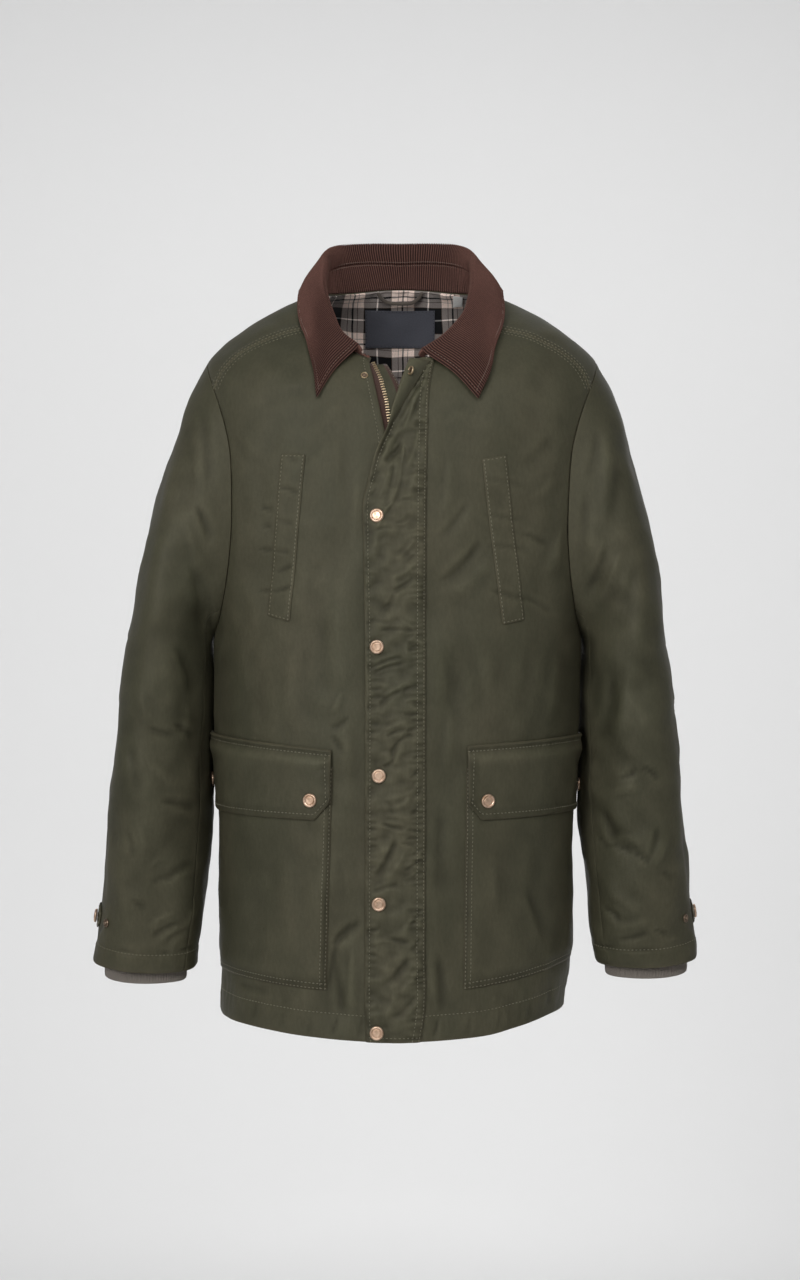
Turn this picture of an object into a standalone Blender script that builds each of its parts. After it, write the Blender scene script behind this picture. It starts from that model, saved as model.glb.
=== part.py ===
"""Waxed cotton jacket with a corduroy collar, worn shape with nobody in it (metres, +Z up).

The front faces -Y and the wearer's left side is +X.  The origin is the middle of the wearer's
shoulders at the base of the neck.  Every cloth piece is a thin closed wall laid out on two smooth
surfaces: the body, a stack of closed rings from hem to neckline, and the sleeve, a row of closed
sections from armhole to cuff.  Angles on the body run from 0 at centre front to +90 degrees at
the wearer's left side and 180 at centre back.
"""

import math

import bmesh
import bpy
import numpy as np
from mathutils import Matrix, Vector

# ------------------------------------------------------------------ driving dimensions (metres)
CLOTH = 0.0020  # outer cloth with its lining
SINGLE = 0.0013  # one layer, as on flaps and welts
CORDUROY = 0.0022
KNIT = 0.0024
SEAM_GAP = 0.0003  # between two pieces sewn edge to edge
LAY_GAP = 0.0006  # under a piece that lies on another
HEM_RISE = 0.008  # the hem rises at the wearer's left side
HEM_TUCK = 0.008  # and draws in there
CHEST_FILL = 0.007  # how far the chest stands forward in front of each armhole
HANG_TOP = 0.0  # the jacket hangs a little to the wearer's right below this height
HANG_DROP = 0.55
HANG_START = 0.0025
HANG_SHIFT = -0.0070

# Body rings.  Columns: length up the side, half width, front depth, back depth, height at centre
# front, at the side and at centre back, roundness of the outline (2 is an ellipse), and how the
# front height falls away round the ring (1 is fastest).
BODY_RINGS = (
    (0.000, 0.1925, 0.152, 0.140, -0.7800, -0.7660, -0.7720, 2.30, 2.0),  # hem
    (0.080, 0.1900, 0.151, 0.139, -0.7000, -0.6880, -0.6920, 2.30, 2.0),
    (0.215, 0.1905, 0.148, 0.137, -0.5620, -0.5530, -0.5560, 2.40, 2.0),  # pocket flap
    (0.310, 0.1948, 0.1455, 0.136, -0.4640, -0.4580, -0.4600, 2.45, 2.0),
    (0.405, 0.1968, 0.143, 0.135, -0.3660, -0.3630, -0.3640, 2.50, 2.0),  # underarm
    (0.505, 0.2035, 0.140, 0.134, -0.2800, -0.2630, -0.2700, 2.55, 2.0),
    (0.605, 0.2100, 0.133, 0.130, -0.1980, -0.1630, -0.1720, 2.60, 2.0),  # chest
    (0.705, 0.2145, 0.122, 0.122, -0.1250, -0.0630, -0.0750, 2.50, 2.0),  # shoulder point
    (0.757, 0.1785, 0.115, 0.112, -0.1040, -0.0265, -0.0350, 2.35, 1.7),
    (0.808, 0.1350, 0.108, 0.098, -0.0850, 0.0005, 0.0030, 2.20, 1.4),
    (0.862, 0.0880, 0.098, 0.080, -0.0685, 0.0205, 0.0340, 2.10, 1.1),  # neckline
)
NECKLINE = 0.862
ARMHOLE_MIDDLE = 0.560
ARMHOLE_HALF = 0.150
ARMHOLE_FRONT = math.radians(26)
ARMHOLE_BACK = math.radians(27)
ARMHOLE_ROUND = 2.3
YOKE_FRONT = math.radians(44)  # where the front yoke seam meets the armhole, round the armhole
YOKE_BACK = math.radians(-42)  # where the back yoke seam meets it
YOKE_NECK = math.radians(57)  # where the front yoke seam meets the neckline, round the neck
SIDE_SEAM_HEM = math.radians(78)

# Sleeve sections.  Columns: place along the sleeve, outer edge X and Z, inner edge X and Z,
# front and back Y, and roundness.
SLEEVE_SECTIONS = (
    (0.00, 0.2160, -0.0630, 0.2000, -0.3600, -0.093, 0.094, 2.2),  # armhole
    (0.06, 0.2325, -0.0970, 0.2025, -0.3625, -0.097, 0.097, 2.2),
    (0.15, 0.2500, -0.1580, 0.2020, -0.3680, -0.099, 0.098, 2.2),
    (0.25, 0.2683, -0.2250, 0.2012, -0.3780, -0.099, 0.097, 2.2),
    (0.35, 0.2817, -0.2950, 0.1992, -0.3980, -0.097, 0.092, 2.2),
    (0.46, 0.2929, -0.3720, 0.1988, -0.4320, -0.094, 0.083, 2.2),
    (0.58, 0.3030, -0.4600, 0.2004, -0.4920, -0.089, 0.071, 2.2),  # elbow
    (0.71, 0.3112, -0.5500, 0.2020, -0.5680, -0.083, 0.057, 2.2),
    (0.82, 0.3172, -0.6200, 0.2070, -0.6330, -0.076, 0.044, 2.2),
    (0.92, 0.3235, -0.6770, 0.2135, -0.6850, -0.069, 0.031, 2.2),
    (1.00, 0.3280, -0.7108, 0.2175, -0.7168, -0.064, 0.022, 2.2),  # cuff edge
)
SLEEVE_EASE = 0.30  # how far down the armhole's own shape fades into the sections
SLEEVE_TWIST = 0.022  # the inner edge lies this much further back, the outer edge further forward
SLEEVE_DROOP = 0.007  # the front of the cuff edge hangs lower
LEFT_SHORTER = 0.0055  # the wearer's left cuff hangs this much higher
UNDER_FRONT = math.radians(141)  # front and back seams of the under sleeve, round the armhole
UNDER_BACK = math.radians(-112)

# Broad folds.  Columns: 1 for front or -1 for back, first and last point (X, Z) of its line,
# half width and height (below zero is a trough).
FOLDS = (
    (1, 0.150, -0.250, 0.075, -0.215, 0.020, -0.0022),
    (1, -0.150, -0.290, -0.080, -0.270, 0.018, -0.0020),
    (1, 0.085, -0.270, 0.045, -0.330, 0.020, -0.0028),
    (1, -0.055, -0.320, -0.052, -0.470, 0.022, 0.0022),
    (1, -0.052, -0.640, -0.070, -0.740, 0.018, -0.0024),
    (1, 0.048, -0.620, 0.044, -0.740, 0.018, -0.0026),
    (1, 0.120, -0.600, 0.165, -0.700, 0.026, -0.0022),
    (1, -0.120, -0.610, -0.160, -0.690, 0.026, -0.0020),
    (-1, -0.020, -0.180, -0.090, -0.420, 0.030, -0.0035),
    (-1, 0.030, -0.200, 0.100, -0.440, 0.030, -0.0035),
    (-1, -0.060, -0.520, -0.050, -0.740, 0.026, 0.0030),
    (-1, 0.070, -0.500, 0.060, -0.740, 0.026, 0.0030),
)

# Storm flap over the zip.  Columns: height, X of the free edge, X of the sewn edge.
STORM_FLAP = (
    (-0.7815, -0.0352, 0.0207),
    (-0.7500, -0.0366, 0.0255),
    (-0.6840, -0.0368, 0.0259),
    (-0.5290, -0.0363, 0.0264),
    (-0.3390, -0.0368, 0.0266),
    (-0.2560, -0.0385, 0.0270),
    (-0.2117, -0.0376, 0.0275),
    (-0.1925, -0.0326, 0.0277),
    (-0.1752, -0.0282, 0.0280),
    (-0.1615, -0.0232, 0.0284),
    (-0.1491, -0.0171, 0.0287),
    (-0.1368, -0.0121, 0.0290),
    (-0.1207, -0.0084, 0.0294),
    (-0.1070, -0.0034, 0.0302),
    (-0.0932, 0.0003, 0.0316),
    (-0.0745, 0.0078, 0.0350),
    (-0.0660, 0.0108, 0.0368),
)
# The flap's top corner, folded back over it.  Columns: height, X of the fold, X of the edge.
FLAP_CORNER = (
    (-0.1840, -0.0300, -0.0272),
    (-0.1653, -0.0240, -0.0205),
    (-0.1516, -0.0180, -0.0143),
    (-0.1379, -0.0122, -0.0082),
    (-0.1205, -0.0080, 0.0018),
    (-0.1031, -0.0022, 0.0117),
    (-0.0845, 0.0042, 0.0229),
    (-0.0705, 0.0097, 0.0330),
)
FLAP_LIFT = 0.0014
FLAP_RISE = 0.0020  # the flap stands this much higher over the zip
CORNER_LIFT = 0.0052

# Opening edges at centre front.  Columns: height, X of the wearer's right edge, of the left edge.
FRONT_EDGES = (
    (-0.7850, -0.0095, 0.0085),
    (-0.2400, -0.0095, 0.0085),
    (-0.1850, -0.0105, 0.0092),
    (-0.1411, -0.0164, 0.0120),
    (-0.1161, -0.0220, 0.0150),
    (-0.0867, -0.0284, 0.0185),
    (-0.0600, -0.0345, 0.0220),
)
# The zip.  Columns: height, X of the middle of the right teeth, of the left teeth, and of the
# guard's far edge.
ZIP_LINES = (
    (-0.7850, -0.0030, 0.0022, 0.0175),
    (-0.2400, -0.0030, 0.0022, 0.0175),
    (-0.1850, -0.0038, 0.0030, 0.0165),
    (-0.1411, -0.0098, 0.0060, 0.0140),
    (-0.1228, -0.0128, 0.0080, 0.0100),
    (-0.1091, -0.0146, 0.0095, 0.0052),
    (-0.0942, -0.0184, 0.0112, -0.0003),
    (-0.0867, -0.0202, 0.0120, -0.0029),
    (-0.0780, -0.0234, 0.0130, -0.0072),
    (-0.0694, -0.0271, 0.0140, -0.0125),
    (-0.0630, -0.0309, 0.0150, -0.0166),
)
ZIP_TAPE_UNDER = 0.0040  # how far the tape reaches under the front
ZIP_TEETH_WIDTH = 0.0030
ZIP_DEPTH = 0.0023
GUARD_DEPTH = 0.0034
GUARD_UNDER = 0.0080

# Chest welts: corners (X, Z) as inner top, outer top, outer bottom, inner bottom.
CHEST_WELTS = {
    "chest_welt_r": ((-0.0989, -0.1682), (-0.1249, -0.1677), (-0.1391, -0.3373), (-0.1150, -0.3442)),
    "chest_welt_l": ((0.0854, -0.1736), (0.1116, -0.1690), (0.1302, -0.3420), (0.1067, -0.3473)),
}

# Lower pockets, angles in degrees from centre front and lengths up the side.
# Columns: side (+1 wearer's left), inner and outer angle at the top, inner and outer angle at the
# bottom, bottom at the inner corner and at the outer corner, top.
POCKETS = {
    "pocket_r": (-1, 24.6, 98.0, 26.6, 97.0, 0.050, 0.050, 0.278),
    "pocket_l": (1, 27.4, 98.0, 26.0, 97.0, 0.051, 0.058, 0.278),
}
POCKET_LIFT = 0.0024
POCKET_EDGE = 0.03  # share of its width over which a pocket rises from its sewn edge
# Pocket flaps.  Columns: side, inner and outer angle, top inside and outside, bottom inside and
# outside, and the share of the width and depth that the cut corner takes off.
POCKET_FLAPS = {
    "pocket_flap_r": (-1, 25.2, 101.0, 0.296, 0.309, 0.224, 0.222, 0.075, 0.26),
    "pocket_flap_l": (1, 27.7, 101.0, 0.300, 0.306, 0.224, 0.222, 0.065, 0.22),
}
POCKET_FLAP_LIFT = 0.0050
POCKET_SNAPS = {
    "pocket_snap_r_front": (-1, 32.4, 0.2440),
    "pocket_snap_r_side": (-1, 86.0, 0.2540),
    "pocket_snap_l_front": (1, 34.6, 0.2430),
    "pocket_snap_l_side": (1, 85.0, 0.2480),
}

# Snap caps on the storm flap: X and Z of each.
FLAP_SNAPS = (
    (-0.0240, -0.2338),
    (-0.0239, -0.3703),
    (-0.0218, -0.5042),
    (-0.0218, -0.6367),
    (-0.0238, -0.7697),
)
SNAP_RADIUS = 0.0074
SNAP_HEIGHT = 0.0028
STUD_RADIUS = 0.0046
STUD_HEIGHT = 0.0024
NECK_STUD = (-0.0375, -0.0846)
NECK_SOCKET = (0.0114, -0.0840)

# Collar.  Columns: angle round the neck (degrees, + to the wearer's left), X, Y and Z of the seam
# inside the collar, X, Y and Z of its top roll, angle and length on the body under the fall's
# edge, and the fall's height over the body there.
COLLAR = (
    (-25, -0.0410, -0.0897, -0.0570, -0.0433, -0.0962, -0.0500, -36.8, 0.694, 0.0066),
    (-36, -0.0586, -0.0785, -0.0440, -0.0618, -0.0860, -0.0345, -40.4, 0.737, 0.0068),
    (-50, -0.0693, -0.0560, -0.0225, -0.0727, -0.0640, -0.0095, -47.0, 0.780, 0.0066),
    (-70, -0.0800, -0.0260, 0.0080, -0.0820, -0.0300, 0.0240, -59.0, 0.812, 0.0065),
    (-92, -0.0815, 0.0080, 0.0340, -0.0830, 0.0080, 0.0520, -84.0, 0.834, 0.0080),
    (-115, -0.0780, 0.0420, 0.0500, -0.0815, 0.0450, 0.0730, -112.0, 0.836, 0.0110),
    (-138, -0.0600, 0.0680, 0.0600, -0.0650, 0.0710, 0.0835, -138.0, 0.834, 0.0120),
    (-160, -0.0320, 0.0800, 0.0640, -0.0340, 0.0850, 0.0875, -160.0, 0.832, 0.0120),
    (-180, 0.0000, 0.0840, 0.0640, 0.0000, 0.0890, 0.0880, -180.0, 0.832, 0.0120),
    (-200, 0.0320, 0.0800, 0.0640, 0.0345, 0.0850, 0.0877, -200.0, 0.832, 0.0115),
    (-222, 0.0590, 0.0680, 0.0598, 0.0640, 0.0710, 0.0832, -222.0, 0.834, 0.0105),
    (-245, 0.0765, 0.0420, 0.0490, 0.0800, 0.0450, 0.0710, -247.0, 0.837, 0.0090),
    (-268, 0.0800, 0.0080, 0.0320, 0.0812, 0.0080, 0.0500, -276.0, 0.837, 0.0072),
    (-290, 0.0768, -0.0260, 0.0070, 0.0783, -0.0300, 0.0220, -301.0, 0.814, 0.0064),
    (-310, 0.0655, -0.0560, -0.0240, 0.0680, -0.0650, -0.0120, -313.6, 0.780, 0.0070),
    (-324, 0.0490, -0.0785, -0.0440, 0.0500, -0.0880, -0.0350, -319.5, 0.737, 0.0085),
    (-345, 0.0225, -0.0910, -0.0620, 0.0230, -0.0985, -0.0545, -326.3, 0.696, 0.0085),
)
COLLAR_ROLL = 0.0045  # half the thickness of the rolled top edge
TIGHT_ROLL = 0.0026  # the same at the front ends
STAND_ENDS = (25.0, 330.0)  # degrees round the neck
STAND_TIP = (-20.0, -0.0345, -0.0925, -0.0608)  # its front end: angle, and top X, Y and Z
FALL_CLEAR = 0.0014  # under the fall
FALL_BELLY = 0.0040
COLLAR_STEPS = 20
STAND_ROWS = 2

# Pieces inside the neck.
LINING = 0.0008
LABEL_HALF = 0.0395
LABEL_TOP = 0.0110
LABEL_BOTTOM = -0.0290
TAG_X = 0.0650
TAG_HALF = 0.0052
TAG_TOP = 0.0270
TAG_BOTTOM = 0.0130
LOOP_HALF = 0.0260
LOOP_TOP = 0.0310
LOOP_SAG = 0.0130
LOOP_RADIUS = 0.0020

# Cuffs.
CUFF_REACH = 0.0140  # how far the knit shows below the sleeve
CUFF_INSET = 0.0090  # how far inside the sleeve the knit lies
TAB_PLACE = 0.895  # place of the tab along the sleeve
TAB_HALF_WIDTH = 0.0160
TAB_START = math.radians(-76)
TAB_END = math.radians(6)
TAB_TIP = math.radians(14)
CUFF_STUD = math.radians(36)

# Node colours: linear base colour, roughness, metallic.
FINISHES = {
    "waxed_cotton": ((0.064, 0.060, 0.043), 0.55, 0.0),
    "corduroy": ((0.072, 0.040, 0.031), 0.85, 0.0),
    "flannel": ((0.40, 0.33, 0.28), 0.9, 0.0),
    "zip_tape": ((0.075, 0.040, 0.030), 0.85, 0.0),
    "zip_metal": ((0.45, 0.33, 0.16), 0.35, 1.0),
    "snap_copper": ((0.55, 0.33, 0.20), 0.35, 1.0),
    "knit": ((0.092, 0.082, 0.076), 0.95, 0.0),
    "label": ((0.030, 0.032, 0.038), 0.8, 0.0),
    "size_tag": ((0.80, 0.79, 0.76), 0.8, 0.0),
}


# ------------------------------------------------------------------ smooth surfaces
def smooth(table, key):
    """Values between the rows of a table, on a smooth curve through them; column 0 is the key."""
    table = np.asarray(table, float)
    keys, values = table[:, 0], table[:, 1:]
    slopes = np.gradient(values, keys, axis=0)
    key = np.clip(np.asarray(key, float), keys[0], keys[-1])
    row = np.clip(np.searchsorted(keys, key, side="right") - 1, 0, len(keys) - 2)
    step = (keys[row + 1] - keys[row])[..., None]
    u = (key - keys[row])[..., None] / step
    return (
        (2 * u**3 - 3 * u**2 + 1) * values[row]
        + (u**3 - 2 * u**2 + u) * step * slopes[row]
        + (-2 * u**3 + 3 * u**2) * values[row + 1]
        + (u**3 - u**2) * step * slopes[row + 1]
    )


def straight(table, key):
    """Values between the rows of a table, on straight lines."""
    table = np.asarray(table, float)
    return np.stack([np.interp(key, table[:, 0], column) for column in table[:, 1:].T], axis=-1)


def ease(u):
    """0 to 1 with no kink at either end."""
    u = np.clip(u, 0.0, 1.0)
    return u * u * (3 - 2 * u)


def hang(x, z):
    """X with the small sideways hang of the jacket added."""
    return x + HANG_START + HANG_SHIFT * ease((HANG_TOP - z) / HANG_DROP)


def fold_height(x, y, z):
    """Height of the broad folds at a point of the body."""
    total = np.zeros_like(x)
    for side, x0, z0, x1, z1, half, height in FOLDS:
        run = np.array([x1 - x0, z1 - z0])
        length2 = float(run @ run)
        along = np.clip(((x - x0) * run[0] + (z - z0) * run[1]) / length2, 0.0, 1.0)
        off = np.hypot(x - x0 - along * run[0], z - z0 - along * run[1])
        total = total + np.where(y * side < 0, height * ease(1 - off / (2 * half)), 0.0)
    return total


def bare_body(angle, up):
    """Points of the body surface, with no folds."""
    columns = np.moveaxis(smooth(BODY_RINGS, up), -1, 0)
    width, front, back, z_front, z_side, z_back, power, fall = columns
    sine, cosine = np.sin(angle), np.cos(angle)
    depth = np.where(cosine > 0, front, back)
    reach = ((np.abs(sine) / width) ** power + (np.abs(cosine) / depth) ** power) ** (-1 / power)
    z = z_side + (z_front - z_side) * np.maximum(cosine, 0) ** fall
    z = z + (z_back - z_side) * np.maximum(-cosine, 0) ** 2
    x = hang(reach * sine, z)
    z = z + HEM_RISE * ease((x - 0.07) / 0.12) * ease((0.12 - up) / 0.12)
    x = x - HEM_TUCK * ease((x - 0.08) / 0.10) * ease((0.050 - up) / 0.050)
    return np.stack([x, -reach * cosine - CHEST_FILL * near_armhole(angle, up), z], axis=-1)


def near_armhole(angle, up):
    """1 along the front of each armhole, falling to 0 away from it."""
    aside = math.pi / 2 - np.abs((angle + math.pi) % (2 * math.pi) - math.pi)
    share = np.maximum(aside, 0) / ARMHOLE_FRONT
    tall = np.abs((up - ARMHOLE_MIDDLE) / ARMHOLE_HALF)
    ring = (share**ARMHOLE_ROUND + tall**ARMHOLE_ROUND) ** (1 / ARMHOLE_ROUND)
    return np.exp(-(((ring - 1) / 0.42) ** 2)) * ease(share / 0.9) * ease((1.25 - tall) / 0.6)


def unit(vectors):
    """Vectors of length 1."""
    return vectors / np.maximum(np.linalg.norm(vectors, axis=-1, keepdims=True), 1e-12)


def body_normal(angle, up):
    """Outward directions of the body surface."""
    small = 1e-4
    across = bare_body(angle + small, up) - bare_body(angle - small, up)
    along = bare_body(angle, np.minimum(up + small, NECKLINE)) - bare_body(angle, up - small)
    return unit(np.cross(across, along))


def body(angle, up, lift=0.0):
    """Points of the body cloth, raised off its outer face by lift."""
    angle, up = np.broadcast_arrays(np.asarray(angle, float), np.asarray(up, float))
    points = bare_body(angle, up)
    height = fold_height(points[..., 0], points[..., 1], points[..., 2]) + lift
    return points + body_normal(angle, up) * height[..., None]


def on_front(x, z):
    """Angle and length up the body of the front points that have this X and Z."""
    x, z = np.broadcast_arrays(np.asarray(x, float), np.asarray(z, float))
    angle = np.zeros_like(x)
    for _ in range(10):
        low, high = np.zeros_like(x), np.full_like(x, NECKLINE)
        for _ in range(24):
            middle = (low + high) / 2
            below = bare_body(angle, middle)[..., 2] < z
            low, high = np.where(below, middle, low), np.where(below, high, middle)
        up = (low + high) / 2
        low, high = np.full_like(x, -math.pi / 2), np.full_like(x, math.pi / 2)
        for _ in range(24):
            middle = (low + high) / 2
            left = bare_body(middle, up)[..., 0] < x
            low, high = np.where(left, middle, low), np.where(left, high, middle)
        angle = (low + high) / 2
    return angle, up


def armhole(turn):
    """Angle and length up the body round the armhole; turn is 0 on top and 90 degrees in front."""
    cosine, sine = np.cos(turn), np.sin(turn)
    power = ARMHOLE_ROUND
    reach = (np.abs(cosine) ** power + np.abs(sine) ** power) ** (-1 / power)
    depth = np.where(sine > 0, ARMHOLE_FRONT, ARMHOLE_BACK)
    return math.pi / 2 - depth * sine * reach, ARMHOLE_MIDDLE + ARMHOLE_HALF * cosine * reach


def sleeve_section(turn, along):
    """Points of the plain sleeve sections, on the +X side, with no sideways hang."""
    columns = np.moveaxis(smooth(SLEEVE_SECTIONS, along), -1, 0)
    out_x, out_z, in_x, in_z, front, back, power = columns
    cosine, sine = np.cos(turn), np.sin(turn)
    reach = (np.abs(cosine) ** power + np.abs(sine) ** power) ** (-1 / power)
    x = (out_x + in_x) / 2 + (out_x - in_x) / 2 * cosine * reach
    z = (out_z + in_z) / 2 + (out_z - in_z) / 2 * cosine * reach
    z = z - SLEEVE_DROOP * ease((along - 0.6) / 0.4) * np.maximum(sine, 0)
    y = (front + back) / 2 - (back - front) / 2 * sine * reach
    y = y - SLEEVE_TWIST * ease(along / 0.35) * (1 - ease((along - 0.6) / 0.35)) * cosine * reach
    return np.stack([x, y, z], axis=-1)


def bare_sleeve(side, turn, along):
    """Points of the sleeve surface on one side."""
    points = sleeve_section(turn, along)
    angle, up = armhole(turn)
    rim = bare_body(angle, up)
    rim = np.stack([rim[..., 0] - hang(0.0, rim[..., 2]), rim[..., 1], rim[..., 2]], axis=-1)
    fade = (1 - np.clip(along / SLEEVE_EASE, 0, 1)) ** 3
    points = points + (rim - sleeve_section(turn, np.zeros_like(along))) * fade[..., None]
    x = hang(side * points[..., 0], points[..., 2])
    z = points[..., 2] + max(side, 0) * LEFT_SHORTER * ease((along - 0.3) / 0.7)
    return np.stack([x, points[..., 1], z], axis=-1)


def sleeve_normal(side, turn, along):
    """Outward directions of the sleeve surface."""
    small = 1e-4
    across = bare_sleeve(side, turn + small, along) - bare_sleeve(side, turn - small, along)
    down = bare_sleeve(side, turn, np.clip(along + small, 0, 1))
    down = down - bare_sleeve(side, turn, np.clip(along - small, 0, 1))
    return unit(np.cross(across, down)) * side


def sleeve(side, turn, along, lift=0.0):
    """Points of the sleeve cloth, raised off its outer face by lift."""
    turn, along, lift = np.broadcast_arrays(
        np.asarray(turn, float), np.asarray(along, float), np.asarray(lift, float)
    )
    points = bare_sleeve(side, turn, along)
    return points + sleeve_normal(side, turn, along) * lift[..., None]


def armhole_mitre(side, turn):
    """Direction that halves the corner between body and sleeve cloth at the armhole."""
    angle, up = armhole(turn)
    out_of_body = body_normal(side * angle, up)
    out_of_sleeve = sleeve_normal(side, turn, np.full_like(turn, 0.02))
    return unit(out_of_body + out_of_sleeve)


# ------------------------------------------------------------------ meshes
def materials():
    """One Principled material for each finish."""
    made = {}
    for name, (colour, roughness, metallic) in FINISHES.items():
        material = bpy.data.materials.new(name)
        material.use_nodes = True
        shader = material.node_tree.nodes["Principled BSDF"]
        shader.inputs["Base Color"].default_value = (*colour, 1.0)
        shader.inputs["Roughness"].default_value = roughness
        shader.inputs["Metallic"].default_value = metallic
        made[name] = material
    return made


def add_object(name, mesh, finish):
    """Puts a mesh in the jacket's collection with its material."""
    mesh.materials.append(FINISH[finish])
    made = bpy.data.objects.new(name, mesh)
    JACKET.objects.link(made)
    return made


def wall(name, outer, inner, finish, wrap=False):
    """A closed wall between two grids of points (rows x columns x 3), outer face first.

    The rows and columns turn right-handed about the outward direction.  wrap joins the last
    column to the first, for a tube.
    """
    rows, columns = outer.shape[:2]
    points = np.concatenate([outer.reshape(-1, 3), inner.reshape(-1, 3)])
    back = rows * columns
    faces = []

    def quad(a, b, c, d):
        faces.append((a, b, c))
        faces.append((a, c, d))

    last = columns if wrap else columns - 1
    for r in range(rows - 1):
        for c in range(last):
            a, b = r * columns + c, r * columns + (c + 1) % columns
            quad(a, b, b + columns, a + columns)
            faces.append((back + a, back + b + columns, back + b))
            faces.append((back + a, back + a + columns, back + b + columns))
    top = (rows - 1) * columns
    for c in range(last):
        n = (c + 1) % columns
        quad(back + c, back + n, n, c)
        quad(top + c, top + n, back + top + n, back + top + c)
    if not wrap:
        end = columns - 1
        for r in range(rows - 1):
            a = r * columns
            quad(back + a, a, a + columns, back + a + columns)
            quad(a + end, back + a + end, back + a + columns + end, a + columns + end)
    mesh = bpy.data.meshes.new(name)
    mesh.from_pydata(points.tolist(), [], faces)
    made = add_object(name, mesh, finish)
    face_out(made)
    mesh.shade_smooth()
    mesh.set_sharp_from_angle(angle=math.radians(40))
    return made


def face_out(made):
    """Turns a closed mesh outward if it came out inside out."""
    work = bmesh.new()
    work.from_mesh(made.data)
    if work.calc_volume(signed=True) < 0:
        bmesh.ops.reverse_faces(work, faces=work.faces)
    work.to_mesh(made.data)
    work.free()


def draw_in(outer, inner, gap=SEAM_GAP / 2, edges="bottom top left right"):
    """Draws the named edges of both grids in by gap, along the cloth."""
    outer, inner = outer.copy(), inner.copy()
    places = {"bottom": (0, 1), "top": (-1, -2), "left": (0, 1), "right": (-1, -2)}
    for edge in edges.split():
        rim, next_in = places[edge]
        if edge in ("bottom", "top"):
            shift = unit(outer[next_in] - outer[rim]) * gap
            outer[rim] += shift
            inner[rim] += shift
        else:
            shift = unit(outer[:, next_in] - outer[:, rim]) * gap
            outer[:, rim] += shift
            inner[:, rim] += shift
    return outer, inner


def coons(bottom, top, left, right):
    """Grid of (angle, length) pairs that fills four edges, rows from bottom to top."""
    across = np.linspace(0, 1, len(bottom))[None, :, None]
    upward = np.linspace(0, 1, len(left))[:, None, None]
    ruled = (1 - upward) * bottom[None] + upward * top[None]
    ruled = ruled + (1 - across) * left[:, None] + across * right[:, None]
    low = (1 - across) * bottom[0] + across * bottom[-1]
    high = (1 - across) * top[0] + across * top[-1]
    return ruled - (1 - upward) * low - upward * high


def line(start, end, steps):
    """Points (angle, length) on a straight line, both ends included."""
    return np.linspace(np.asarray(start, float), np.asarray(end, float), steps + 1)


def panel_faces(grid, mitres):
    """Outer and inner face points of a panel; mitres turn the inner face at an armhole."""
    outer = body(grid[..., 0], grid[..., 1])
    inner = body(grid[..., 0], grid[..., 1], -CLOTH)
    for rows, columns, directions in mitres:
        inner[rows, columns] = outer[rows, columns] - directions * CLOTH
    return draw_in(outer, inner)


def panel(name, grid, mitres):
    """A body panel from its grid of (angle, length)."""
    return wall(name, *panel_faces(grid, mitres), "waxed_cotton")


# ------------------------------------------------------------------ body panels
SIDE_ROWS = 7
ARM_ROWS = 7
YOKE_ROWS = 4
FRONT_COLUMNS = 8
BACK_COLUMNS = 14
YOKE_ARM_COLUMNS = 4


def side_seam(side):
    """(angle, length) points of a side seam, hem to underarm."""
    angle, up = armhole(np.array(math.pi))
    return line((side * SIDE_SEAM_HEM, 0.0), (side * float(angle), float(up)), SIDE_ROWS)


def armhole_run(side, start, end, steps):
    """(angle, length) points along the armhole between two turns."""
    angle, up = armhole(np.linspace(start, end, steps + 1))
    return np.stack([side * angle, up], axis=-1)


def yoke_seam(side):
    """(angle, length) points of the front yoke seam, armhole to neckline."""
    angle, up = armhole(np.array(YOKE_FRONT))
    return line((side * float(angle), float(up)), (side * YOKE_NECK, NECKLINE), YOKE_ROWS)


def front_panel(name, side):
    """One front: hem, opening edge, neckline, yoke seam, armhole and side seam."""
    outer_edge = np.concatenate([
        side_seam(side),
        armhole_run(side, math.pi, YOKE_FRONT, ARM_ROWS)[1:],
        yoke_seam(side)[1:],
    ])
    rows = len(outer_edge)
    column = 0 if side < 0 else 1
    heights = np.interp(np.arange(rows), (0, SIDE_ROWS, rows - 1), (0, 0.405, NECKLINE))
    front_z = bare_body(np.zeros(rows), heights)[:, 2]
    edge_x = straight(FRONT_EDGES, front_z)[:, column]
    opening = np.stack(on_front(edge_x, front_z), axis=-1)
    opening[-1, 1] = NECKLINE
    hem = line(opening[0], outer_edge[0], FRONT_COLUMNS)
    neck = line(opening[-1], outer_edge[-1], FRONT_COLUMNS)
    grid = coons(hem, neck, opening, outer_edge)
    turns = np.linspace(math.pi, YOKE_FRONT, ARM_ROWS + 1)
    mitre = (slice(SIDE_ROWS, SIDE_ROWS + ARM_ROWS + 1), -1, armhole_mitre(side, turns))
    return panel(name, grid, (mitre,))


def back_panel():
    """The back, hem to back yoke seam, side seam to side seam."""
    def edge(side):
        return np.concatenate([
            side_seam(side),
            armhole_run(side, -math.pi, YOKE_BACK, ARM_ROWS)[1:],
        ])
    left, right = edge(1), edge(-1)
    right[:, 0] += 2 * math.pi
    hem = line(left[0], right[0], BACK_COLUMNS)
    seam = line(left[-1], right[-1], BACK_COLUMNS)
    grid = coons(hem, seam, left, right)
    turns = np.linspace(-math.pi, YOKE_BACK, ARM_ROWS + 1)
    rows = slice(SIDE_ROWS, None)
    mitres = ((rows, 0, armhole_mitre(1, turns)), (rows, -1, armhole_mitre(-1, turns)))
    return panel("back_panel", grid, mitres)


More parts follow.
